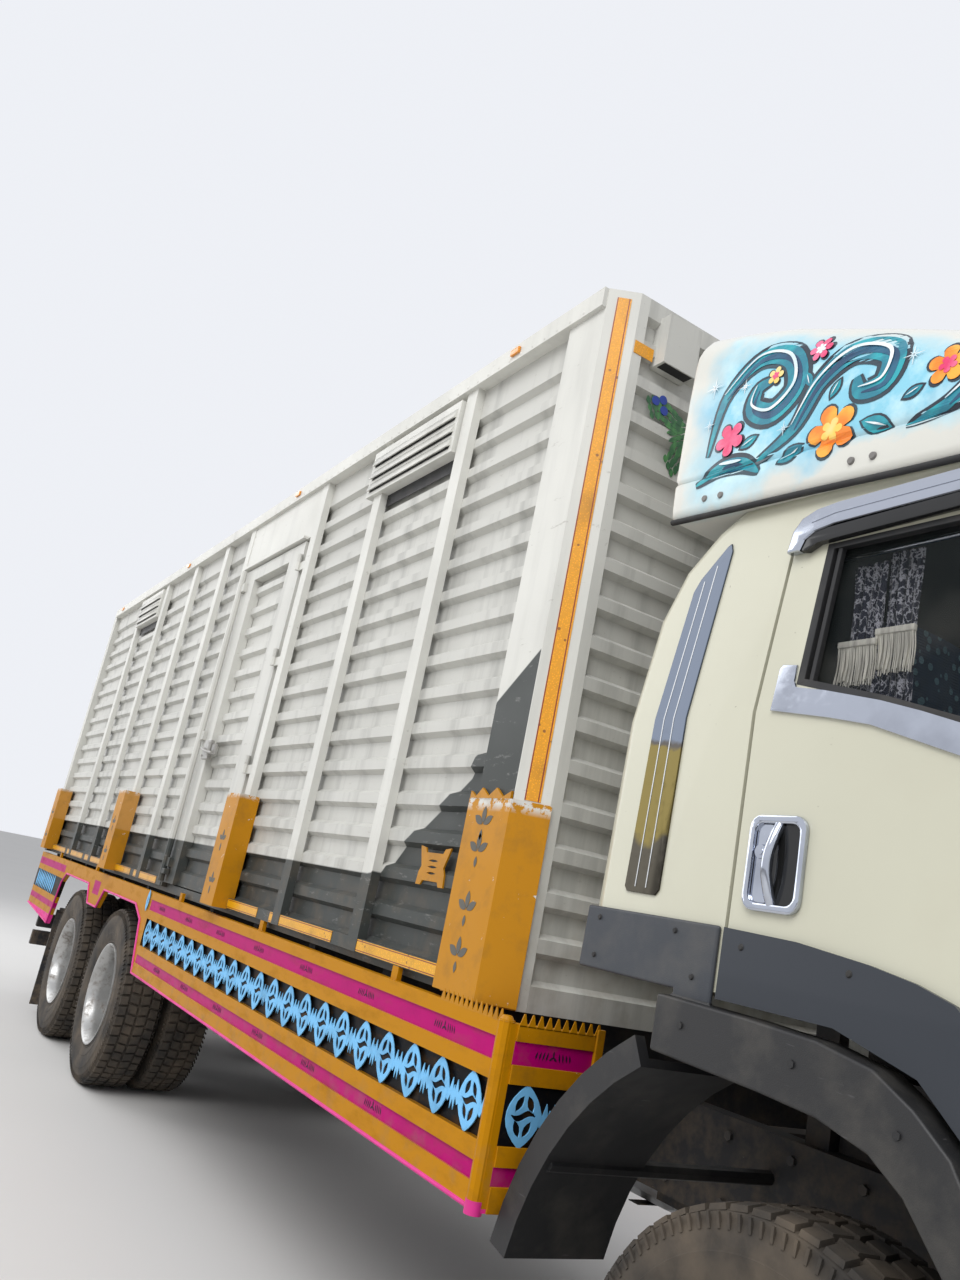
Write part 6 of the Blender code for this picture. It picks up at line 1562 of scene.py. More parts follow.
class TRUCK_OT_cab(TruckStep, bpy.types.Operator):
    """Paint, cladding, chrome trims, handles, seals and glass of the cab"""

    bl_idname = "truck.cab"
    bl_label = "Cab"

    def execute(self, context):
        refined("cab_shell", cream_paint("cab_cream", inner=1.16), 0.005, 45)
        refined("front_bumper", cream_paint("bumper_cream"), 0.012, 35, 3)
        doors, slate = cream_paint("door_cream", True, 1.153), slate_plastic("cladding_slate")
        self.chrome = chrome_finish("chrome_trim")
        # Chrome of the quarter strip with painted reflections: a dark bluish base for the sky, then by height
        # below the belt a thin dark band, a gold band and a dark foot for the surroundings.
        reflection_chrome = Finish("chrome_painted_reflections", (0.1, 0.117, 0.15), 0.05, 1.0)
        reflection_height = reflection_chrome.sum("ADD", reflection_chrome.z, reflection_chrome.sum("MULTIPLY", reflection_chrome.noise(11, 5), 0.12))
        reflection_chrome.cover((0.06, 0.055, 0.05), reflection_chrome.rise(reflection_height, 2.012, 2.0))
        reflection_chrome.cover((0.125, 0.098, 0.033), reflection_chrome.rise(reflection_height, 1.995, 1.985))
        reflection_chrome.cover((0.05, 0.045, 0.035), reflection_chrome.rise(reflection_height, 1.775, 1.755))
        reflection_chrome.rough(0.04, 0.14, reflection_chrome.patches(0.5, 0.8, 40, 5))
        self.chrome_painted_reflections = reflection_chrome.done()
        self.pale = weathered("strip_line", (0.7, 0.72, 0.74), 0.3).done()
        self.rubber = plastic_finish("seal_rubber", (0.012, 0.012, 0.013), 0.6)
        smoke = Finish("visor_smoke", (0.012, 0.012, 0.012), 0.08)
        smoke.shade(0.3, smoke.patches(0.4, 0.7, 8, 5))
        self.smoke = smoke.done()
        glass = glass_finish("cab_glass")
        dress(glass, "glass", "windscreen", "door_glass_right", "door_glass_left")
        for side_name, side in SIDES:
            refined(f"cab_door_{side_name}", doors, 0.003, 45)
            refined(f"wheel_arch_{side_name}", slate, 0.006, 35, 3)
            refined(f"mudguard_{side_name}", slate, 0.004, 35)
            self.window_trims(side)
            self.handle(side)
            self.quarter(side)
        return {"FINISHED"}

    def window_trims(self, side):
        visor = [(3.476, 2.398), (3.48, 2.455), (3.5, 2.487), (3.54, 2.503), (3.6, 2.508),
                 (4.2, 2.502), (4.29, 2.455), (4.365, 2.36), (4.335, 2.35), (4.27, 2.42),
                 (4.19, 2.448), (3.6, 2.45), (3.545, 2.442), (3.52, 2.425), (3.512, 2.398)]
        lip = [(3.515, 2.398), (3.525, 2.43), (3.55, 2.447), (4.19, 2.452), (4.27, 2.425),
               (4.34, 2.35), (4.325, 2.345), (4.25, 2.4), (4.17, 2.415), (3.56, 2.41), (3.53, 2.395)]
        belt = [(3.522, 2.0), (3.686, 1.974), (3.787, 1.954), (3.98, 1.888), (4.2, 1.84),
                (4.5, 1.803), (4.507, 1.858), (4.2, 1.902), (4.025, 1.934), (3.9, 1.976), (3.805, 2.004),
                (3.66, 2.038), (3.6, 2.048), (3.58, 2.052), (3.572, 2.066), (3.57, 2.105), (3.53, 2.11),
                (3.522, 2.1)]
        chrome = [on_skin([visor], 0.03, edge=0.006), on_skin([belt], 0.007, edge=0.0016)]
        groove = [(3.53, 2.472), (3.6, 2.482), (4.2, 2.478), (4.28, 2.437), (4.275, 2.433),
                  (4.198, 2.472), (3.6, 2.476), (3.535, 2.466)]
        chrome.append(on_skin([groove], 0.032, 0.029))
        side_piece("window_chrome", [leaned(joined(chrome))], side, self.chrome, DOOR, 22)
        mesh = leaned(on_skin([lip], 0.024, 0.002, 0.003))
        side_piece("visor_lip", [mesh], side, self.smoke, DOOR, 40)
        frame_ring = on_skin([WINDOW, grown(WINDOW, -0.016)], 0.002, -0.02, 0.002)
        post = boxed((3.578, SKIN_Y - 0.003, 2.06), (3.596, SKIN_Y + 0.02, 2.41), 0.003)
        guide = boxed((3.604, SKIN_Y + 0.002, 2.05), (3.616, SKIN_Y + 0.018, 2.41), 0.003)
        mesh = leaned(joined([frame_ring, post, guide]))
        side_piece("window_seal", [mesh], side, self.rubber, DOOR, 40)

    def handle(self, side):
        ring = on_skin([rounded((3.512, 1.567), (3.665, 1.768), 0.03),
                        rounded((3.528, 1.584), (3.649, 1.75), 0.02)], 0.013, edge=0.004)
        grip = tube([(3.588, SKIN_Y - 0.003, 1.585), (3.586, SKIN_Y - 0.014, 1.61),
                     (3.582, SKIN_Y - 0.024, 1.665), (3.586, SKIN_Y - 0.014, 1.722),
                     (3.588, SKIN_Y - 0.003, 1.748)], 0.0115, 12)
        x, z = 3.548, 1.69
        lock = [cylinder((x, SKIN_Y - 0.001, z), (x, SKIN_Y - 0.011, z), 0.017, 28, 0.0145),
                cylinder((x, SKIN_Y - 0.01, z), (x, SKIN_Y - 0.0125, z), 0.008, 20)]
        shelf = on_skin([rounded((3.529, 1.585), (3.577, 1.749), 0.012)], 0.004, edge=0.001)
        side_piece("door_handle", [ring, grip, shelf, *lock], side, self.chrome, DOOR, 40)
        well = on_skin([rounded((3.526, 1.582), (3.651, 1.752), 0.02)], 0.0016, 0.0004)
        side_piece("handle_well", [well], side, self.smoke, DOOR)

    def quarter(self, side):
        """The chrome strip behind the door, its two pale lines and the screws of the cladding and the door.
        """
        outline = [(3.134, 1.572), (3.235, 1.57), (3.247, 1.584), (3.262, 2.46), (3.252, 2.484),
                   (3.24, 2.478), (3.17, 2.395), (3.154, 2.36), (3.124, 1.584)]
        strip = leaned(on_skin([outline], 0.005, edge=0.0012))
        # The strip's chrome carries painted reflections in its colour.
        side_piece("quarter_strip", [strip], side, self.chrome_painted_reflections, "cab", 22)
        lines = [[(3.162, 1.585), (3.1645, 1.585), (3.1885, 2.385), (3.186, 2.385)],
                 [(3.2, 1.585), (3.2025, 1.585), (3.222, 2.425), (3.2195, 2.425)]]
        mesh = joined([on_skin([line], 0.0062, 0.0045) for line in lines])
        side_piece("quarter_lines", [leaned(mesh)], side, self.pale, "cab")
        screws = [cylinder((x, -1.211, z), (x, -1.2165, z), 0.0075, 12, 0.005)
                  for x, z in ((3.06, 1.5), (3.33, 1.5), (3.06, 1.41), (3.4, 1.41))]
        screws += [cylinder((x, -1.2445, z), (x, -1.2485, z), 0.008, 6)
                   for x, z in ((3.42, 1.31), (3.72, 1.3), (3.95, 1.24), (4.12, 1.1), (4.22, 0.92))]
        side_piece("cladding_screws", screws, side, self.rubber, "cab", 40)
        screw = cylinder((0, -1.2122, 0), (0, -1.2155, 0), 0.0075, 12, 0.005)
        row = repeated(screw, 2, (3.53, 0, 1.49), (0.27, 0, -0.012))
        side_piece("door_screws", [row], side, self.rubber, DOOR, 40)


# Fairing: place along the truck, top, lower edge and half width of its cross-sections
FAIRING = (
    (3.008, 3.2, 2.604, 1.146), (3.014, 3.222, 2.599, 1.151), (3.03, 3.228, 2.597, 1.152),
    (3.18, 3.186, 2.587, 1.151), (3.34, 3.132, 2.577, 1.15), (3.5, 3.062, 2.566, 1.15),
    (3.68, 2.983, 2.552, 1.15), (3.86, 2.9, 2.54, 1.149), (4.04, 2.82, 2.534, 1.143),
    (4.2, 2.757, 2.536, 1.13), (4.34, 2.705, 2.55, 1.1), (4.44, 2.668, 2.57, 1.04),
    (4.505, 2.645, 2.59, 0.96),
)


def fairing_mesh():
    """Rounded sections lofted along the roof, with a pressed line low on each side."""
    def build(shape):
        rings = []
        for x, top, low, half in FAIRING:
            tall = top - low
            radius = min(0.13, tall * 0.42)
            side = [(half - 0.016, low), (half - 0.003, low + 0.012), (half, low + 0.03)]
            if tall > 0.3:
                side += [(half + 0.003, low + 0.1), (half - 0.005, low + 0.112), (half + 0.003, low + 0.124)]
            else:
                side += [(half, low + tall * share) for share in (0.3, 0.36, 0.42)]
            side += [(half + 0.001, low + (tall - radius) * 0.75), (half - 0.004, top - radius)]
            for i in range(1, 7):
                angle = math.radians(90 * i / 6)
                side.append((half - 0.004 - radius * (1 - math.cos(angle)),
                             top - radius + radius * math.sin(angle)))
            side += [(half * 0.5, top + 0.012), (0, top + 0.018)]
            ring = [shape.verts.new((x, -y, z)) for y, z in side]
            ring += [shape.verts.new((x, y, z)) for y, z in side[-2::-1]]
            rings.append(ring)
        for first, second in zip(rings, rings[1:]):
            for i in range(len(first) - 1):
                shape.faces.new((first[i], first[i + 1], second[i + 1], second[i]))
            shape.faces.new((first[-1], first[0], second[0], second[-1]))
        shape.faces.new(rings[0])
        shape.faces.new(rings[-1])
        bmesh.ops.recalc_face_normals(shape, faces=shape.faces)
    return shaped(build)


def pressed_on(mesh, target, lift):
    """The flat mesh, cut into rows, laid on the target's right side and lift proud of it."""
    shape = bmesh.new()
    shape.from_mesh(mesh)
    for row in range(40):
        bmesh.ops.bisect_plane(shape, geom=[*shape.verts, *shape.edges, *shape.faces],
                               plane_co=(0, 0, 2.64 + 0.011 * row), plane_no=(0, 0, 1))
    shape.to_mesh(mesh)
    shape.free()
    tree = BVHTree.FromPolygons([v.co for v in target.vertices], [f.vertices for f in target.polygons])
    for vertex in mesh.vertices:
        x, y, z = vertex.co
        hit = tree.ray_cast(Vector((x, -2, z)), Vector((0, 1, 0)))[0]
        vertex.co.y = (hit.y if hit else -1.12) - lift + y


def ribbon(points, start, middle, end, steps=44):
    """A brush stroke's outline: its width changes from start to end along a smooth curve."""
    def at(share):
        place = share * (len(points) - 1)
        i = min(int(place), len(points) - 2)
        f = place - i
        p = [Vector(points[max(0, min(len(points) - 1, k))]) for k in (i - 1, i, i + 1, i + 2)]
        return 0.5 * (2 * p[1] + (p[2] - p[0]) * f + (2 * p[0] - 5 * p[1] + 4 * p[2] - p[3]) * f * f
                      + (3 * p[1] - p[0] - 3 * p[2] + p[3]) * f ** 3)
    upper, lower = [], []
    for i in range(steps + 1):
        share = i / steps
        here = at(share)
        along = (at(min(1, share + 0.01)) - at(max(0, share - 0.01))).normalized()
        across = Vector((-along.y, along.x))
        width = (start * (1 - share) ** 2 + 2 * middle * share * (1 - share) * 2 + end * share ** 2) / 2
        upper.append(tuple(here + across * width))
        lower.append(tuple(here - across * width))
    return upper + lower[::-1]


def flower(centre, radius, petals, turn=0.0):
    """The outline of a blossom with notched petals."""
    points = []
    for i in range(petals * 8):
        angle = 2 * math.pi * i / (petals * 8) + turn
        wave_height = abs(math.cos(petals * (angle - turn) / 2))
        reach = radius * (0.48 + 0.52 * wave_height ** 0.6)
        points.append((centre[0] + reach * math.cos(angle), centre[1] + reach * math.sin(angle)))
    return points


# Each paint of the airbrushed pictures, from the lowest layer up: colour, second colour, grain
ART_PAINTS = {
    "ink": ((0.012, 0.02, 0.035), (0.02, 0.05, 0.07), 9.0),
    "teal": ((0.01, 0.19, 0.27), (0.015, 0.36, 0.42), 16),
    "navy": ((0.008, 0.05, 0.12), (0.01, 0.11, 0.2), 16),
    "orange": ((0.86, 0.22, 0.012), (0.93, 0.42, 0.04), 14),
    "yellow": ((0.9, 0.58, 0.1), (0.92, 0.7, 0.3), 14),
    "pink": ((0.72, 0.03, 0.14), (0.8, 0.16, 0.3), 14),
    "white": ((0.82, 0.84, 0.84), (0.6, 0.74, 0.8), 18),
}
LAYER_STEP = 0.0006


def airbrush(name, colour, other, scale):
    """A colour that fades softly into another, as a spray gun leaves it."""
    made = Finish(name, colour, 0.3, Coat_Weight=0.3)
    made.cover(other, made.patches(0.42, 0.62, scale, 3))
    made.bump(made.noise(200, 2), 0.0001, 0.3)
    return made.done()


class TRUCK_OT_fairing(TruckStep, bpy.types.Operator):
    """Roof fairing with its airbrushed blossoms and scrolls on a sky-blue cloud"""

    bl_idname = "truck.fairing"
    bl_label = "Roof fairing"

    def execute(self, context):
        made = Finish("fairing_paint", (0.66, 0.655, 0.6), 0.28, Specular_IOR_Level=0.35, Coat_Weight=0.2)
        made.shade(0.06, made.patches(0.4, 0.75, 2, 4))
        sides = made.rise(made.sum("ABSOLUTE", made.y), 1.1, 1.13)
        drift = made.sum("MULTIPLY", made.sum("SUBTRACT", made.noise(5, 5), 0.5), 0.34)
        fade_back = made.rise(made.sum("ADD", made.x, drift), 3.06, 3.22)
        fade_front = made.rise(made.sum("ADD", made.x, drift), 4.28, 4.05)
        edge = made.curve(made.x, 3.0, 4.5, ((3.0, 3.17), (3.34, 3.08), (3.86, 2.84), (4.5, 2.6)))
        above = made.sum("ADD", made.sum("SUBTRACT", edge, made.z), drift)
        fade_top = made.rise(above, -0.02, 0.09)
        fade_low = made.rise(made.sum("ADD", made.z, drift), 2.6, 2.7)
        cloud = made.both(made.both(fade_back, fade_front), made.both(fade_top, fade_low))
        cloud = made.both(cloud, sides)
        made.cover((0.18, 0.58, 0.76), cloud, 0.85)
        puff = made.both(cloud, made.patches(0.47, 0.66, 6.5, 6, roughness=0.6))
        made.cover((0.62, 0.83, 0.88), puff)
        deep = made.both(cloud, made.patches(0.55, 0.7, 3.6, 4, (1.4, 1, 1)))
        made.cover((0.05, 0.36, 0.6), deep, 0.55)
        made.bump(made.noise(1.5, 2), 0.008, 0.12)
        fairing = piece("fairing_shell", fairing_mesh(), made.done(), "cab", 40)
        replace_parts(fairing, "roof_fairing")
        self.paintings(fairing.data)
        self.fixings()
        return {"FINISHED"}

    def paintings(self, shell):
        """Scrolls, blossoms, leaves and stars in layers, each darker outline under its colour."""
        layers = {kind: [] for kind in ART_PAINTS}

        def lay(kind, *outlines):
            layers[kind].extend(outlines)

        scrolls = (
            ([(3.13, 2.76), (3.17, 2.93), (3.28, 3.01), (3.39, 2.975), (3.42, 2.88), (3.35, 2.825),
              (3.28, 2.86), (3.29, 2.915), (3.34, 2.925)], 0.004, 0.06, 0.016),
            ([(3.31, 2.69), (3.43, 2.75), (3.5, 2.86), (3.6, 2.91), (3.7, 2.865), (3.69, 2.79),
              (3.625, 2.785), (3.61, 2.83)], 0.004, 0.06, 0.016),
            ([(3.1, 2.68), (3.19, 2.71), (3.27, 2.7), (3.33, 2.66)], 0.003, 0.036, 0.004),
            ([(3.76, 2.65), (3.86, 2.67), (3.96, 2.73), (4.06, 2.72), (4.07, 2.665), (4.02, 2.655)],
             0.003, 0.04, 0.01),
        )
        for points, start, middle, end in scrolls:
            lay("ink", ribbon(points, start + 0.014, middle + 0.02, end + 0.014))
            lay("teal", ribbon(points, start, middle, end))
            inner = [(Vector(p) + Vector((0.004, -0.006))) for p in points[1:-1]]
            lay("navy", ribbon(inner, 0.003, 0.022, 0.003))
            shine = [(Vector(p) + Vector((-0.006, 0.012))) for p in points[1:-1]]
            lay("white", ribbon(shine, 0.002, 0.009, 0.002))
        for centre, radius, petals, kind, heart in (
            ((3.555, 2.705), 0.07, 5, "orange", "yellow"), ((3.21, 2.79), 0.05, 5, "pink", "yellow"),
            ((3.85, 2.77), 0.05, 5, "orange", "pink"), ((3.485, 2.96), 0.034, 6, "pink", "white"),
            ((3.345, 2.935), 0.026, 5, "yellow", "pink"),
        ):
            turn = centre[0] * 3
            lay("ink", flower(centre, radius + 0.008, petals, turn))
            lay(kind, flower(centre, radius, petals, turn))
            lay(heart, flower(centre, radius * 0.45, petals, turn + 0.6))
            lay("ink", circle(radius * 0.13, centre, 12))
        for x, z, length, angle in (
            (3.43, 2.68, 0.08, 200), (3.68, 2.68, 0.09, -25), (3.55, 2.82, 0.05, 60),
            (3.28, 2.76, 0.06, 20), (3.93, 2.79, 0.05, 10), (3.46, 2.88, 0.05, 110),
            (3.77, 2.73, 0.05, 200),
        ):
            turn = math.radians(angle)
            lay("ink", lens((x, z), length + 0.016, length * 0.45 + 0.012, turn))
            lay("teal", lens((x, z), length, length * 0.45, turn))
            lay("white", lens((x, z), length * 0.7, length * 0.06, turn, 4))
        for x, z, size in ((3.12, 2.98, 0.028), (3.76, 2.83, 0.022), (3.12, 2.86, 0.018),
                           (3.4, 2.76, 0.018), (3.24, 2.94, 0.02)):
            for angle in (0, 45, 90, 135):
                reach = size * (2 if angle % 90 == 0 else 1.1)
                lay("white", lens((x, z), reach * 1.3, size * 0.16, math.radians(angle), 3))
        paints = {kind: airbrush(f"art_{kind}", *recipe) for kind, recipe in ART_PAINTS.items()}
        for _, side in SIDES:
            for level, (kind, outlines) in enumerate(layers.items(), 1):
                mesh = joined([plate([outline], "XZ", -0.0005, 0) for outline in outlines])
                pressed_on(mesh, shell, LAYER_STEP * level)
                side_piece(f"art_{kind}", [mesh], side, paints[kind], "cab")

    def fixings(self):
        """Screw pairs at the lower edge, the seal under it and marker lamps on the front."""
        steel = weathered("fixing_steel", (0.2, 0.19, 0.18), 0.4, 0.02).done()
        black = plastic_finish("fairing_seal", (0.012, 0.012, 0.013), 0.6)
        screws, seals = [], []
        for side in (RIGHT, LEFT):
            for x, z in ((3.14, 2.635), (3.2, 2.63), (3.62, 2.605), (3.68, 2.6), (4.1, 2.59), (4.16, 2.59)):
                screws.append(cylinder((x, side * 1.149, z), (x, side * 1.156, z), 0.011, 16, 0.008))
            edge = [(x, side * (half - 0.006), low - 0.004) for x, _, low, half in FAIRING[1:-2]]
            seals.append(tube(edge, 0.0085, 8))
        piece("fairing_screws", joined(screws), steel, "cab", 40)
        piece("fairing_seals", joined(seals), black, "cab", 60)
        amber = lens_finish("roof_amber", (0.85, 0.32, 0.012))
        lamps = repeated(boxed((-0.02, -0.05, -0.012), (0.025, 0.05, 0.014), 0.008), 3,
                         (4.41, -0.5, 2.702), (0, 0.5, 0))
        piece("roof_lamps", lamps, amber, "cab", 40)


# Cab inside
def pad_mesh(low, high, crown=0.02, channels=3, axis=0, soft=7):
    """A crowned cushion that fills a box, pulled in at its corners and sewn in channels."""
    low, high = Vector(low), Vector(high)
    half = (high - low) / 2

    def build(shape):
        bmesh.ops.create_cube(shape, size=2)
        bmesh.ops.subdivide_edges(shape, edges=list(shape.edges), cuts=17, use_grid_fill=True)
        for vertex in shape.verts:
            p = vertex.co.copy()
            reach = sum(abs(c) ** soft for c in p) ** (1 / soft)
            q = p / reach
            face = max(range(3), key=lambda k: abs(p[k]))
            others = [k for k in range(3) if k != face]
            swell = 1.0
            for k in others:
                swell *= 1 - q[k] ** 2
            out = crown * (swell - 1) * 0.6
            if channels > 1 and face != axis:
                place = (q[axis] + 1) / 2 * channels
                near = abs(place - round(place))
                if 0 < round(place) < channels:
                    out -= 0.009 * math.exp(-(near / 0.07) ** 2)
            local = Vector([q[k] * half[k] for k in range(3)])
            local[face] += out * math.copysign(1, p[face])
            vertex.co = (low + high) / 2 + local
        bmesh.ops.recalc_face_normals(shape, faces=shape.faces)
    return shaped(build)


def woven(name, colour, other, scale=420.0, spots=0.0, lace=0.0):
    """Cloth with its threads over and under, and a second colour in the weave or in dots."""
    made = Finish(name, colour, 0.85, Sheen_Weight=0.25)
    if spots:
        made.cover(other, made.rise(made.cells(spots), 0.36, 0.32))
    elif lace:
        for stretch in ((1, 1, 0.5), (0.4, 1.6, 1.1)):
            made.cover(other, made.between(made.noise(lace, 4, stretch), 0.49, 0.53, 0.008))
    else:
        made.cover(other, made.patches(0.5, 0.62, 38, 5, (1, 1, 0.5)))
    threads = made.both(made.sum("SINE", made.sum("MULTIPLY", made.x, scale * 2)),
                        made.sum("SINE", made.sum("MULTIPLY", made.z, scale * 2)))
    made.shade(0.25, made.rise(threads, 0.1, 0.7))
    made.bump(threads, 0.0005, 0.5)
    return made.done()


def hung(x, z, folds, depth, y, gather, seed):
    """A gathered strip of cloth as a grid: x and z are (low, high) where it hangs."""
    columns, rows = 96, 30

    def build(shape):
        grid = []
        for row in range(rows + 1):
            down = row / rows
            line = []
            for column in range(columns + 1):
                u = column / columns
                deep = depth * (0.45 + 0.55 * down)
                phase = 2 * math.pi * folds * u + 0.5 * math.sin(3.1 * down + seed)
                frill = 0.25 * math.sin(5.3 * phase / 2 + 4 * down + seed)
                pinch = 1 - gather * math.sin(math.pi * down) ** 2
                middle = (x[0] + x[1]) / 2
                across = middle + (u - 0.5) * (x[1] - x[0]) * pinch
                across += 0.3 * deep * math.cos(phase)
                hem = 0.006 * math.sin(phase * 2 + seed) * down
                line.append(shape.verts.new((across, y + deep * (math.sin(phase) + frill),
                                             z[1] - (z[1] - z[0]) * down + hem)))
            grid.append(line)
        for upper, lower in zip(grid, grid[1:]):
            for i in range(columns):
                shape.faces.new((upper[i], upper[i + 1], lower[i + 1], lower[i]))
    return shaped(build)


def cloth_area(mesh):
    return sum(face.area for face in mesh.polygons)


class TRUCK_OT_cab_inside(TruckStep, bpy.types.Operator):
    """Seats, bunk, dashboard, the fringed window curtains and a cloth over the driver's seat"""

    bl_idname = "truck.cab_inside"
    bl_label = "Inside of the cab"

    def execute(self, context):
        grey = woven("seat_weave", (0.10, 0.12, 0.2), (0.2, 0.22, 0.33))
        blue = woven("bunk_cloth", (0.012, 0.05, 0.13), (0.22, 0.42, 0.52), spots=34.0)
        shell = plastic_finish("seat_shell", (0.03, 0.031, 0.034))
        low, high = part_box("cab_seats")
        deck = low.z
        base = []
        for centre in (-0.62, 0.62):
            base.append(boxed((3.38, centre - 0.24, deck), (3.85, centre + 0.24, deck + 0.24), 0.02))
            base.append(boxed((3.365, centre - 0.23, deck + 0.2), (3.42, centre + 0.23, deck + 0.78), 0.02))
            for y in (centre - 0.08, centre + 0.08):
                base.append(cylinder((3.42, y, deck + 0.7), (3.42, y, deck + 0.85), 0.008, 12))
        base.append(boxed((low.x + 0.01, low.y + 0.01, deck), (3.37, high.y - 0.01, deck + 0.12), 0.01))
        under = piece("seat_bases", joined(base), shell, "cab", 40)
        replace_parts(under, "cab_seats")
        for name, centre in (("driver", -0.62), ("passenger", 0.62)):
            for part, box_low, box_high, axis, channels in (
                ("cushion", (3.4, centre - 0.26, deck + 0.235), (3.875, centre + 0.26, deck + 0.42), 0, 4),
                ("back", (3.358, centre - 0.25, deck + 0.36), (3.49, centre + 0.25, deck + 0.78), 2, 4),
                ("headrest", (3.365, centre - 0.14, deck + 0.8), (3.46, centre + 0.14, deck + 0.95), 1, 1),
            ):
                pad = piece(f"{name}_{part}", pad_mesh(box_low, box_high, 0.02, channels, axis), grey,
                            "cab", 60)
        bunk = piece("bunk_pad", pad_mesh((low.x, low.y, deck + 0.115), (3.352, high.y, deck + 0.3),
                                          0.02, 6, 1, 9), blue, "cab", 60)
        self.dashboard()
        for side_name, side in SIDES:
            self.curtain(side_name, side)
        self.cloth(blue)
        return {"FINISHED"}

    def dashboard(self):
        made = Finish("dash_plastic", (0.035, 0.036, 0.038), 0.6)
        rim = made.both(made.rise(made.x, 4.36, 4.35), made.rise(made.z, 1.66, 1.67))
        made.cover((0.05, 0.075, 0.045), rim)
        made.shade(0.3, made.patches(0.45, 0.7, 5, 4))
        made.bump(made.cells(300), 0.0004, 0.5)
        refined("dashboard", made.done(), 0.006, 40)
        dials, faces = [], []
        for y, radius in ((-0.71, 0.055), (-0.56, 0.055), (-0.45, 0.032), (-0.82, 0.032)):
            dials.append(turned(((radius, 0.0), (radius, 0.012), (radius - 0.006, 0.012),
                                 (radius - 0.008, 0.002), (radius - 0.008, 0)), 32, (0, 0, 0)))
            edge = radius - 0.007
            faces.append(turned(((0, 0.0015), (edge, 0.0015), (edge, -0.001), (0, -0.001)), 32,
                                (0, 0, 0)))
            place = Matrix.Translation((4.53, y, 1.685)) @ Matrix.Rotation(math.radians(90), 4, "Z")
            for mesh in (dials[-1], faces[-1]):
                mesh.transform(place)
        piece("dial_rings", joined(dials), chrome_finish("dial_chrome"), "cab", 40)
        pale = Finish("dial_face", (0.55, 0.56, 0.55), 0.4)
        pale.shade(0.5, pale.rise(pale.cells(140), 0.35, 0.3))
        piece("dial_faces", joined(faces), pale.done(), "cab", 40)

    def curtain(self, side_name, side):
        """Frilled cloth tied beside the window, with two rows of white fringe."""
        cloth = woven("curtain_" + side_name, (0.008, 0.009, 0.03), (0.5, 0.5, 0.56), 500,
                      lace=42.0)
        y, drop = -1.105, 0.34
        strips = []
        for number, (x, z) in enumerate((((3.60, 3.69), (2.05, 2.37)), ((3.685, 3.77), (2.03, 2.39)))):
            mesh = mirrored(hung(x, z, 4, 0.012, y + 0.03 + 0.01 * number, 0.12, number * 2.0), side)
            area = cloth_area(mesh)
            strip = piece(f"curtain_{side_name}_{number}", mesh, cloth, "cab", 70)
            strips.append((strip, area))
        thread = Finish("fringe_" + side_name, (0.9, 0.87, 0.78), 0.8)
        thread.shade(0.35, thread.patches(0.4, 0.65, 90, 3, (1, 1, 0.15)))
        thread.bump(thread.noise(260, 2, (1, 1, 0.1)), 0.001, 0.6)
        thread = thread.done()
        length = sizes().curtain_fringe
        for number, (x, top) in enumerate(((3.597, 2.175), (3.683, 2.2))):
            cord = tube([(0, 0, 0), (0.001, 0.002, -length * 0.5), (-0.001, 0, -length)], 0.0016, 5)
            back = y + 0.012 * number
            rows = [repeated(cord.copy(), 26, (x, back + 0.008, top), (0.0036, 0, 0), jitter=0.06,
                             stretch=0.16),
                    repeated(cord, 26, (x + 0.0018, back + 0.014, top), (0.0036, 0, 0), jitter=0.05,
                             stretch=0.2),
                    boxed((x - 0.003, back + 0.005, top - 0.008), (x + 0.095, back + 0.018, top + 0.008),
                          0.003)]
            fringe = piece(f"curtain_fringe_{side_name}_{number}", mirrored(joined(rows), side), thread,
                           "cab", 60)
            strip, area = strips[number]
        rail = tube([(3.56, y + 0.04, 2.4), (3.8, y + 0.04, 2.402), (4.24, y + 0.04, 2.402)], 0.006, 8)
        piece(f"curtain_rail_{side_name}", mirrored(rail, side), chrome_finish("rail_" + side_name),
              "cab", 60)

    def cloth(self, blue):
        """A dotted cloth hung over the driver's seat back."""
        seat_y, spread, drop = -0.62, 6.5, 0.36
        mesh = hung((3.5, 3.56), (2.0, 2.36), 1.5, 0.008, 0, 0.05, 1.0)
        mesh.transform(Matrix.Translation((3.5, seat_y, 0)) @ Matrix.Rotation(math.radians(90), 4, "Z")
                       @ Matrix.Translation((-3.53, 0, 0)))
        for vertex in mesh.vertices:
            vertex.co.y = seat_y + (vertex.co.y - seat_y) * spread
        made = piece("seat_cloth", mesh, blue, "cab", 70)
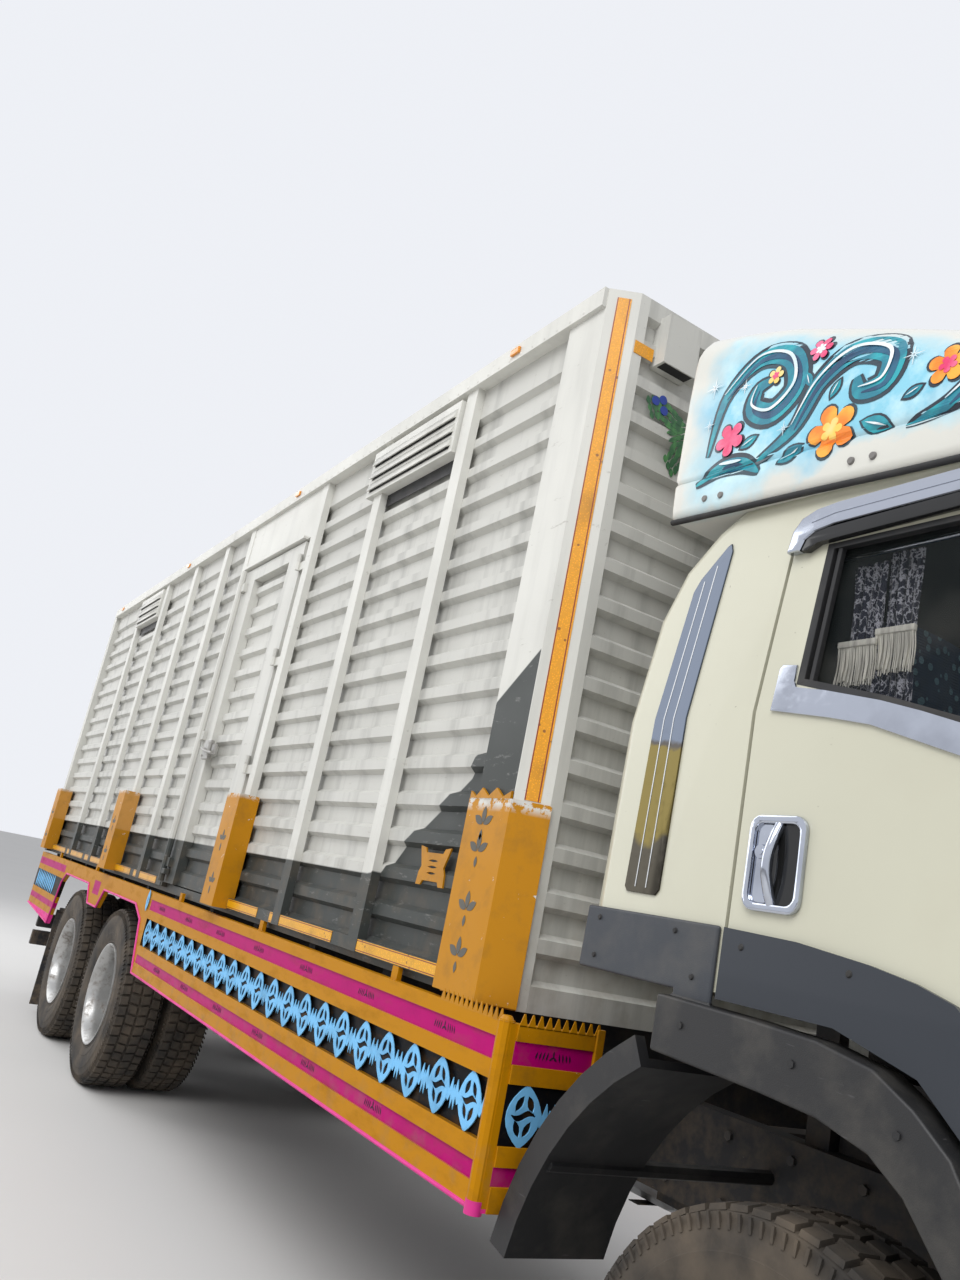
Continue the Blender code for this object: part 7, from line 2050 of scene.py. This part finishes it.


# Front of the cab and bumper
class TRUCK_OT_front(TruckStep, bpy.types.Operator):
    """Grille, lamps, wipers, mirror glass and blank plate at the front"""

    bl_idname = "truck.front"
    bl_label = "Front"

    def execute(self, context):
        chrome = chrome_finish("grille_chrome", 0.12)
        black = plastic_finish("front_black", (0.015, 0.015, 0.016), 0.5)
        dress(chrome, "chrome", "front_grille")
        low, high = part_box("front_grille")
        foot, head = high.x - 0.024, low.x
        back = [(foot + 0.001, low.z + 0.02), (foot + 0.006, low.z + 0.02),
                (head + 0.006, high.z - 0.02), (head + 0.001, high.z - 0.02)]
        piece("grille_back", plate([back], "XZ", low.y + 0.03, high.y - 0.03), black, "cab")
        self.lamps(chrome)
        for side_name, side in SIDES:
            refined(f"mirror_{side_name}", black, 0.008, 40, 3)
            x, y = 4.76, 1.38
            glass = plate([rounded((y - 0.083, 1.945), (y + 0.083, 2.295), 0.03)], "YZ",
                          x - 0.0035, x + 0.001, 0.001)
            silver = Finish(f"mirror_silver_{side_name}", (0.82, 0.83, 0.84), 0.03, 1.0)
            silver.shade(0.2, silver.patches(0.5, 0.8, 9, 6))
            silver.rough(0.02, 0.2, silver.patches(0.55, 0.8, 14, 6))
            piece(f"mirror_glass_{side_name}", mirrored(glass, -side), silver.done(), "cab",
                  40)
        self.wipers(black)
        number_plate("front_plate", "front_plate_paint", (4.9545, -0.26, 0.5), (4.961, 0.26, 0.61))
        slots = repeated(boxed((4.953, -0.34, 0), (4.9565, 0.34, 0.016), 0.002), 4,
                         (0, 0, 0.66), (0, 0, 0.042))
        piece("bumper_slots", slots, black, "chassis", 35)
        return {"FINISHED"}

    def lamps(self, chrome):
        clear = glass_finish("lamp_glass", (0.7, 0.74, 0.76), 0.25)
        amber = lens_finish("lamp_amber", (0.88, 0.34, 0.015))
        lamp_z = 0.72
        bowls, lenses, ambers = [], [], []
        for side in (RIGHT, LEFT):
            for y in (0.87, 0.97):
                bowl = welded(turned(
                    ((0.062, 0.0), (0.058, -0.002), (0.045, -0.03), (0.015, -0.04), (0, -0.04),
                     (0, -0.036), (0.014, -0.036), (0.041, -0.027), (0.052, 0.0)), 36, (0, 0, 0)))
                bowl.transform(Matrix.Translation((4.95, side * y, lamp_z))
                               @ Matrix.Rotation(math.radians(-90), 4, "Z"))
                bowls.append(bowl)
                bowls.append(cylinder((4.915, side * y, lamp_z), (4.932, side * y, lamp_z), 0.012, 16))
            lenses.append(boxed((4.949, side * 0.808, 0.64), (4.957, side * 1.03, 0.8), 0.004))
            ambers.append(boxed((4.92, side * 1.036, 0.642), (4.957, side * 1.095, 0.798), 0.006))
            bowls.append(boxed((4.9052, side * 0.81, 0.64), (4.909, side * 1.095, 0.8)))
        piece("headlamp_bowls", joined(bowls), chrome, "chassis", 40)
        piece("headlamp_glass", joined(lenses), clear, "chassis", 40)
        piece("headlamp_amber", joined(ambers), amber, "chassis", 40)

    def wipers(self, black):
        """Two wipers parked along the foot of the windscreen."""
        low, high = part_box("windscreen")
        parts = []

        def on_glass(y, up, out=0.016):
            return (high.x + (low.x - high.x) * up + out, y, low.z + (high.z - low.z) * up)

        for y in (-0.72, 0.12):
            parts.append(tube([on_glass(y, -0.05, 0.03), on_glass(y + 0.2, 0.05, 0.03),
                               on_glass(y + 0.42, 0.11, 0.03)], 0.006, 8))
            parts.append(tube([on_glass(y + 0.1, 0.045), on_glass(y + 0.42, 0.1), on_glass(y + 0.72, 0.15)],
                              0.0055, 6))
            parts.append(cylinder(on_glass(y, -0.05, 0), on_glass(y, -0.05, 0.036), 0.014, 16))
        piece("wipers", joined(parts), black, "cab", 50)


# The add-on's parts
class TRUCK_PT_panel(bpy.types.Panel):
    """The truck's steps and sizes in the sidebar."""

    bl_idname = "TRUCK_PT_panel"
    bl_label = "Decorated truck"
    bl_space_type = "VIEW_3D"
    bl_region_type = "UI"
    bl_category = "Truck"

    def draw(self, context):
        layout = self.layout
        for group in (context.scene.truck_colours, context.scene.truck_sizes):
            box = layout.box()
            for name in group.__annotations__:
                box.prop(group, name)
        column = layout.column(align=True)
        for step in STEPS:
            column.operator(step.bl_idname)


STEPS = (
    TRUCK_OT_stage,
    TRUCK_OT_chassis,
    TRUCK_OT_wheels,
    TRUCK_OT_box,
    TRUCK_OT_guards,
    TRUCK_OT_cab,
    TRUCK_OT_fairing,
    TRUCK_OT_cab_inside,
    TRUCK_OT_front,
)
CLASSES = (TruckColours, TruckSizes, *STEPS, TRUCK_PT_panel)


def register():
    for item in CLASSES:
        bpy.utils.register_class(item)
    bpy.types.Scene.truck_colours = PointerProperty(type=TruckColours)
    bpy.types.Scene.truck_sizes = PointerProperty(type=TruckSizes)


def unregister():
    del bpy.types.Scene.truck_sizes
    del bpy.types.Scene.truck_colours
    for item in reversed(CLASSES):
        bpy.utils.unregister_class(item)


def main():
    register()
    for step in STEPS:
        group, name = step.bl_idname.split(".")
        getattr(getattr(bpy.ops, group), name)()


if __name__ == "__main__":
    main()
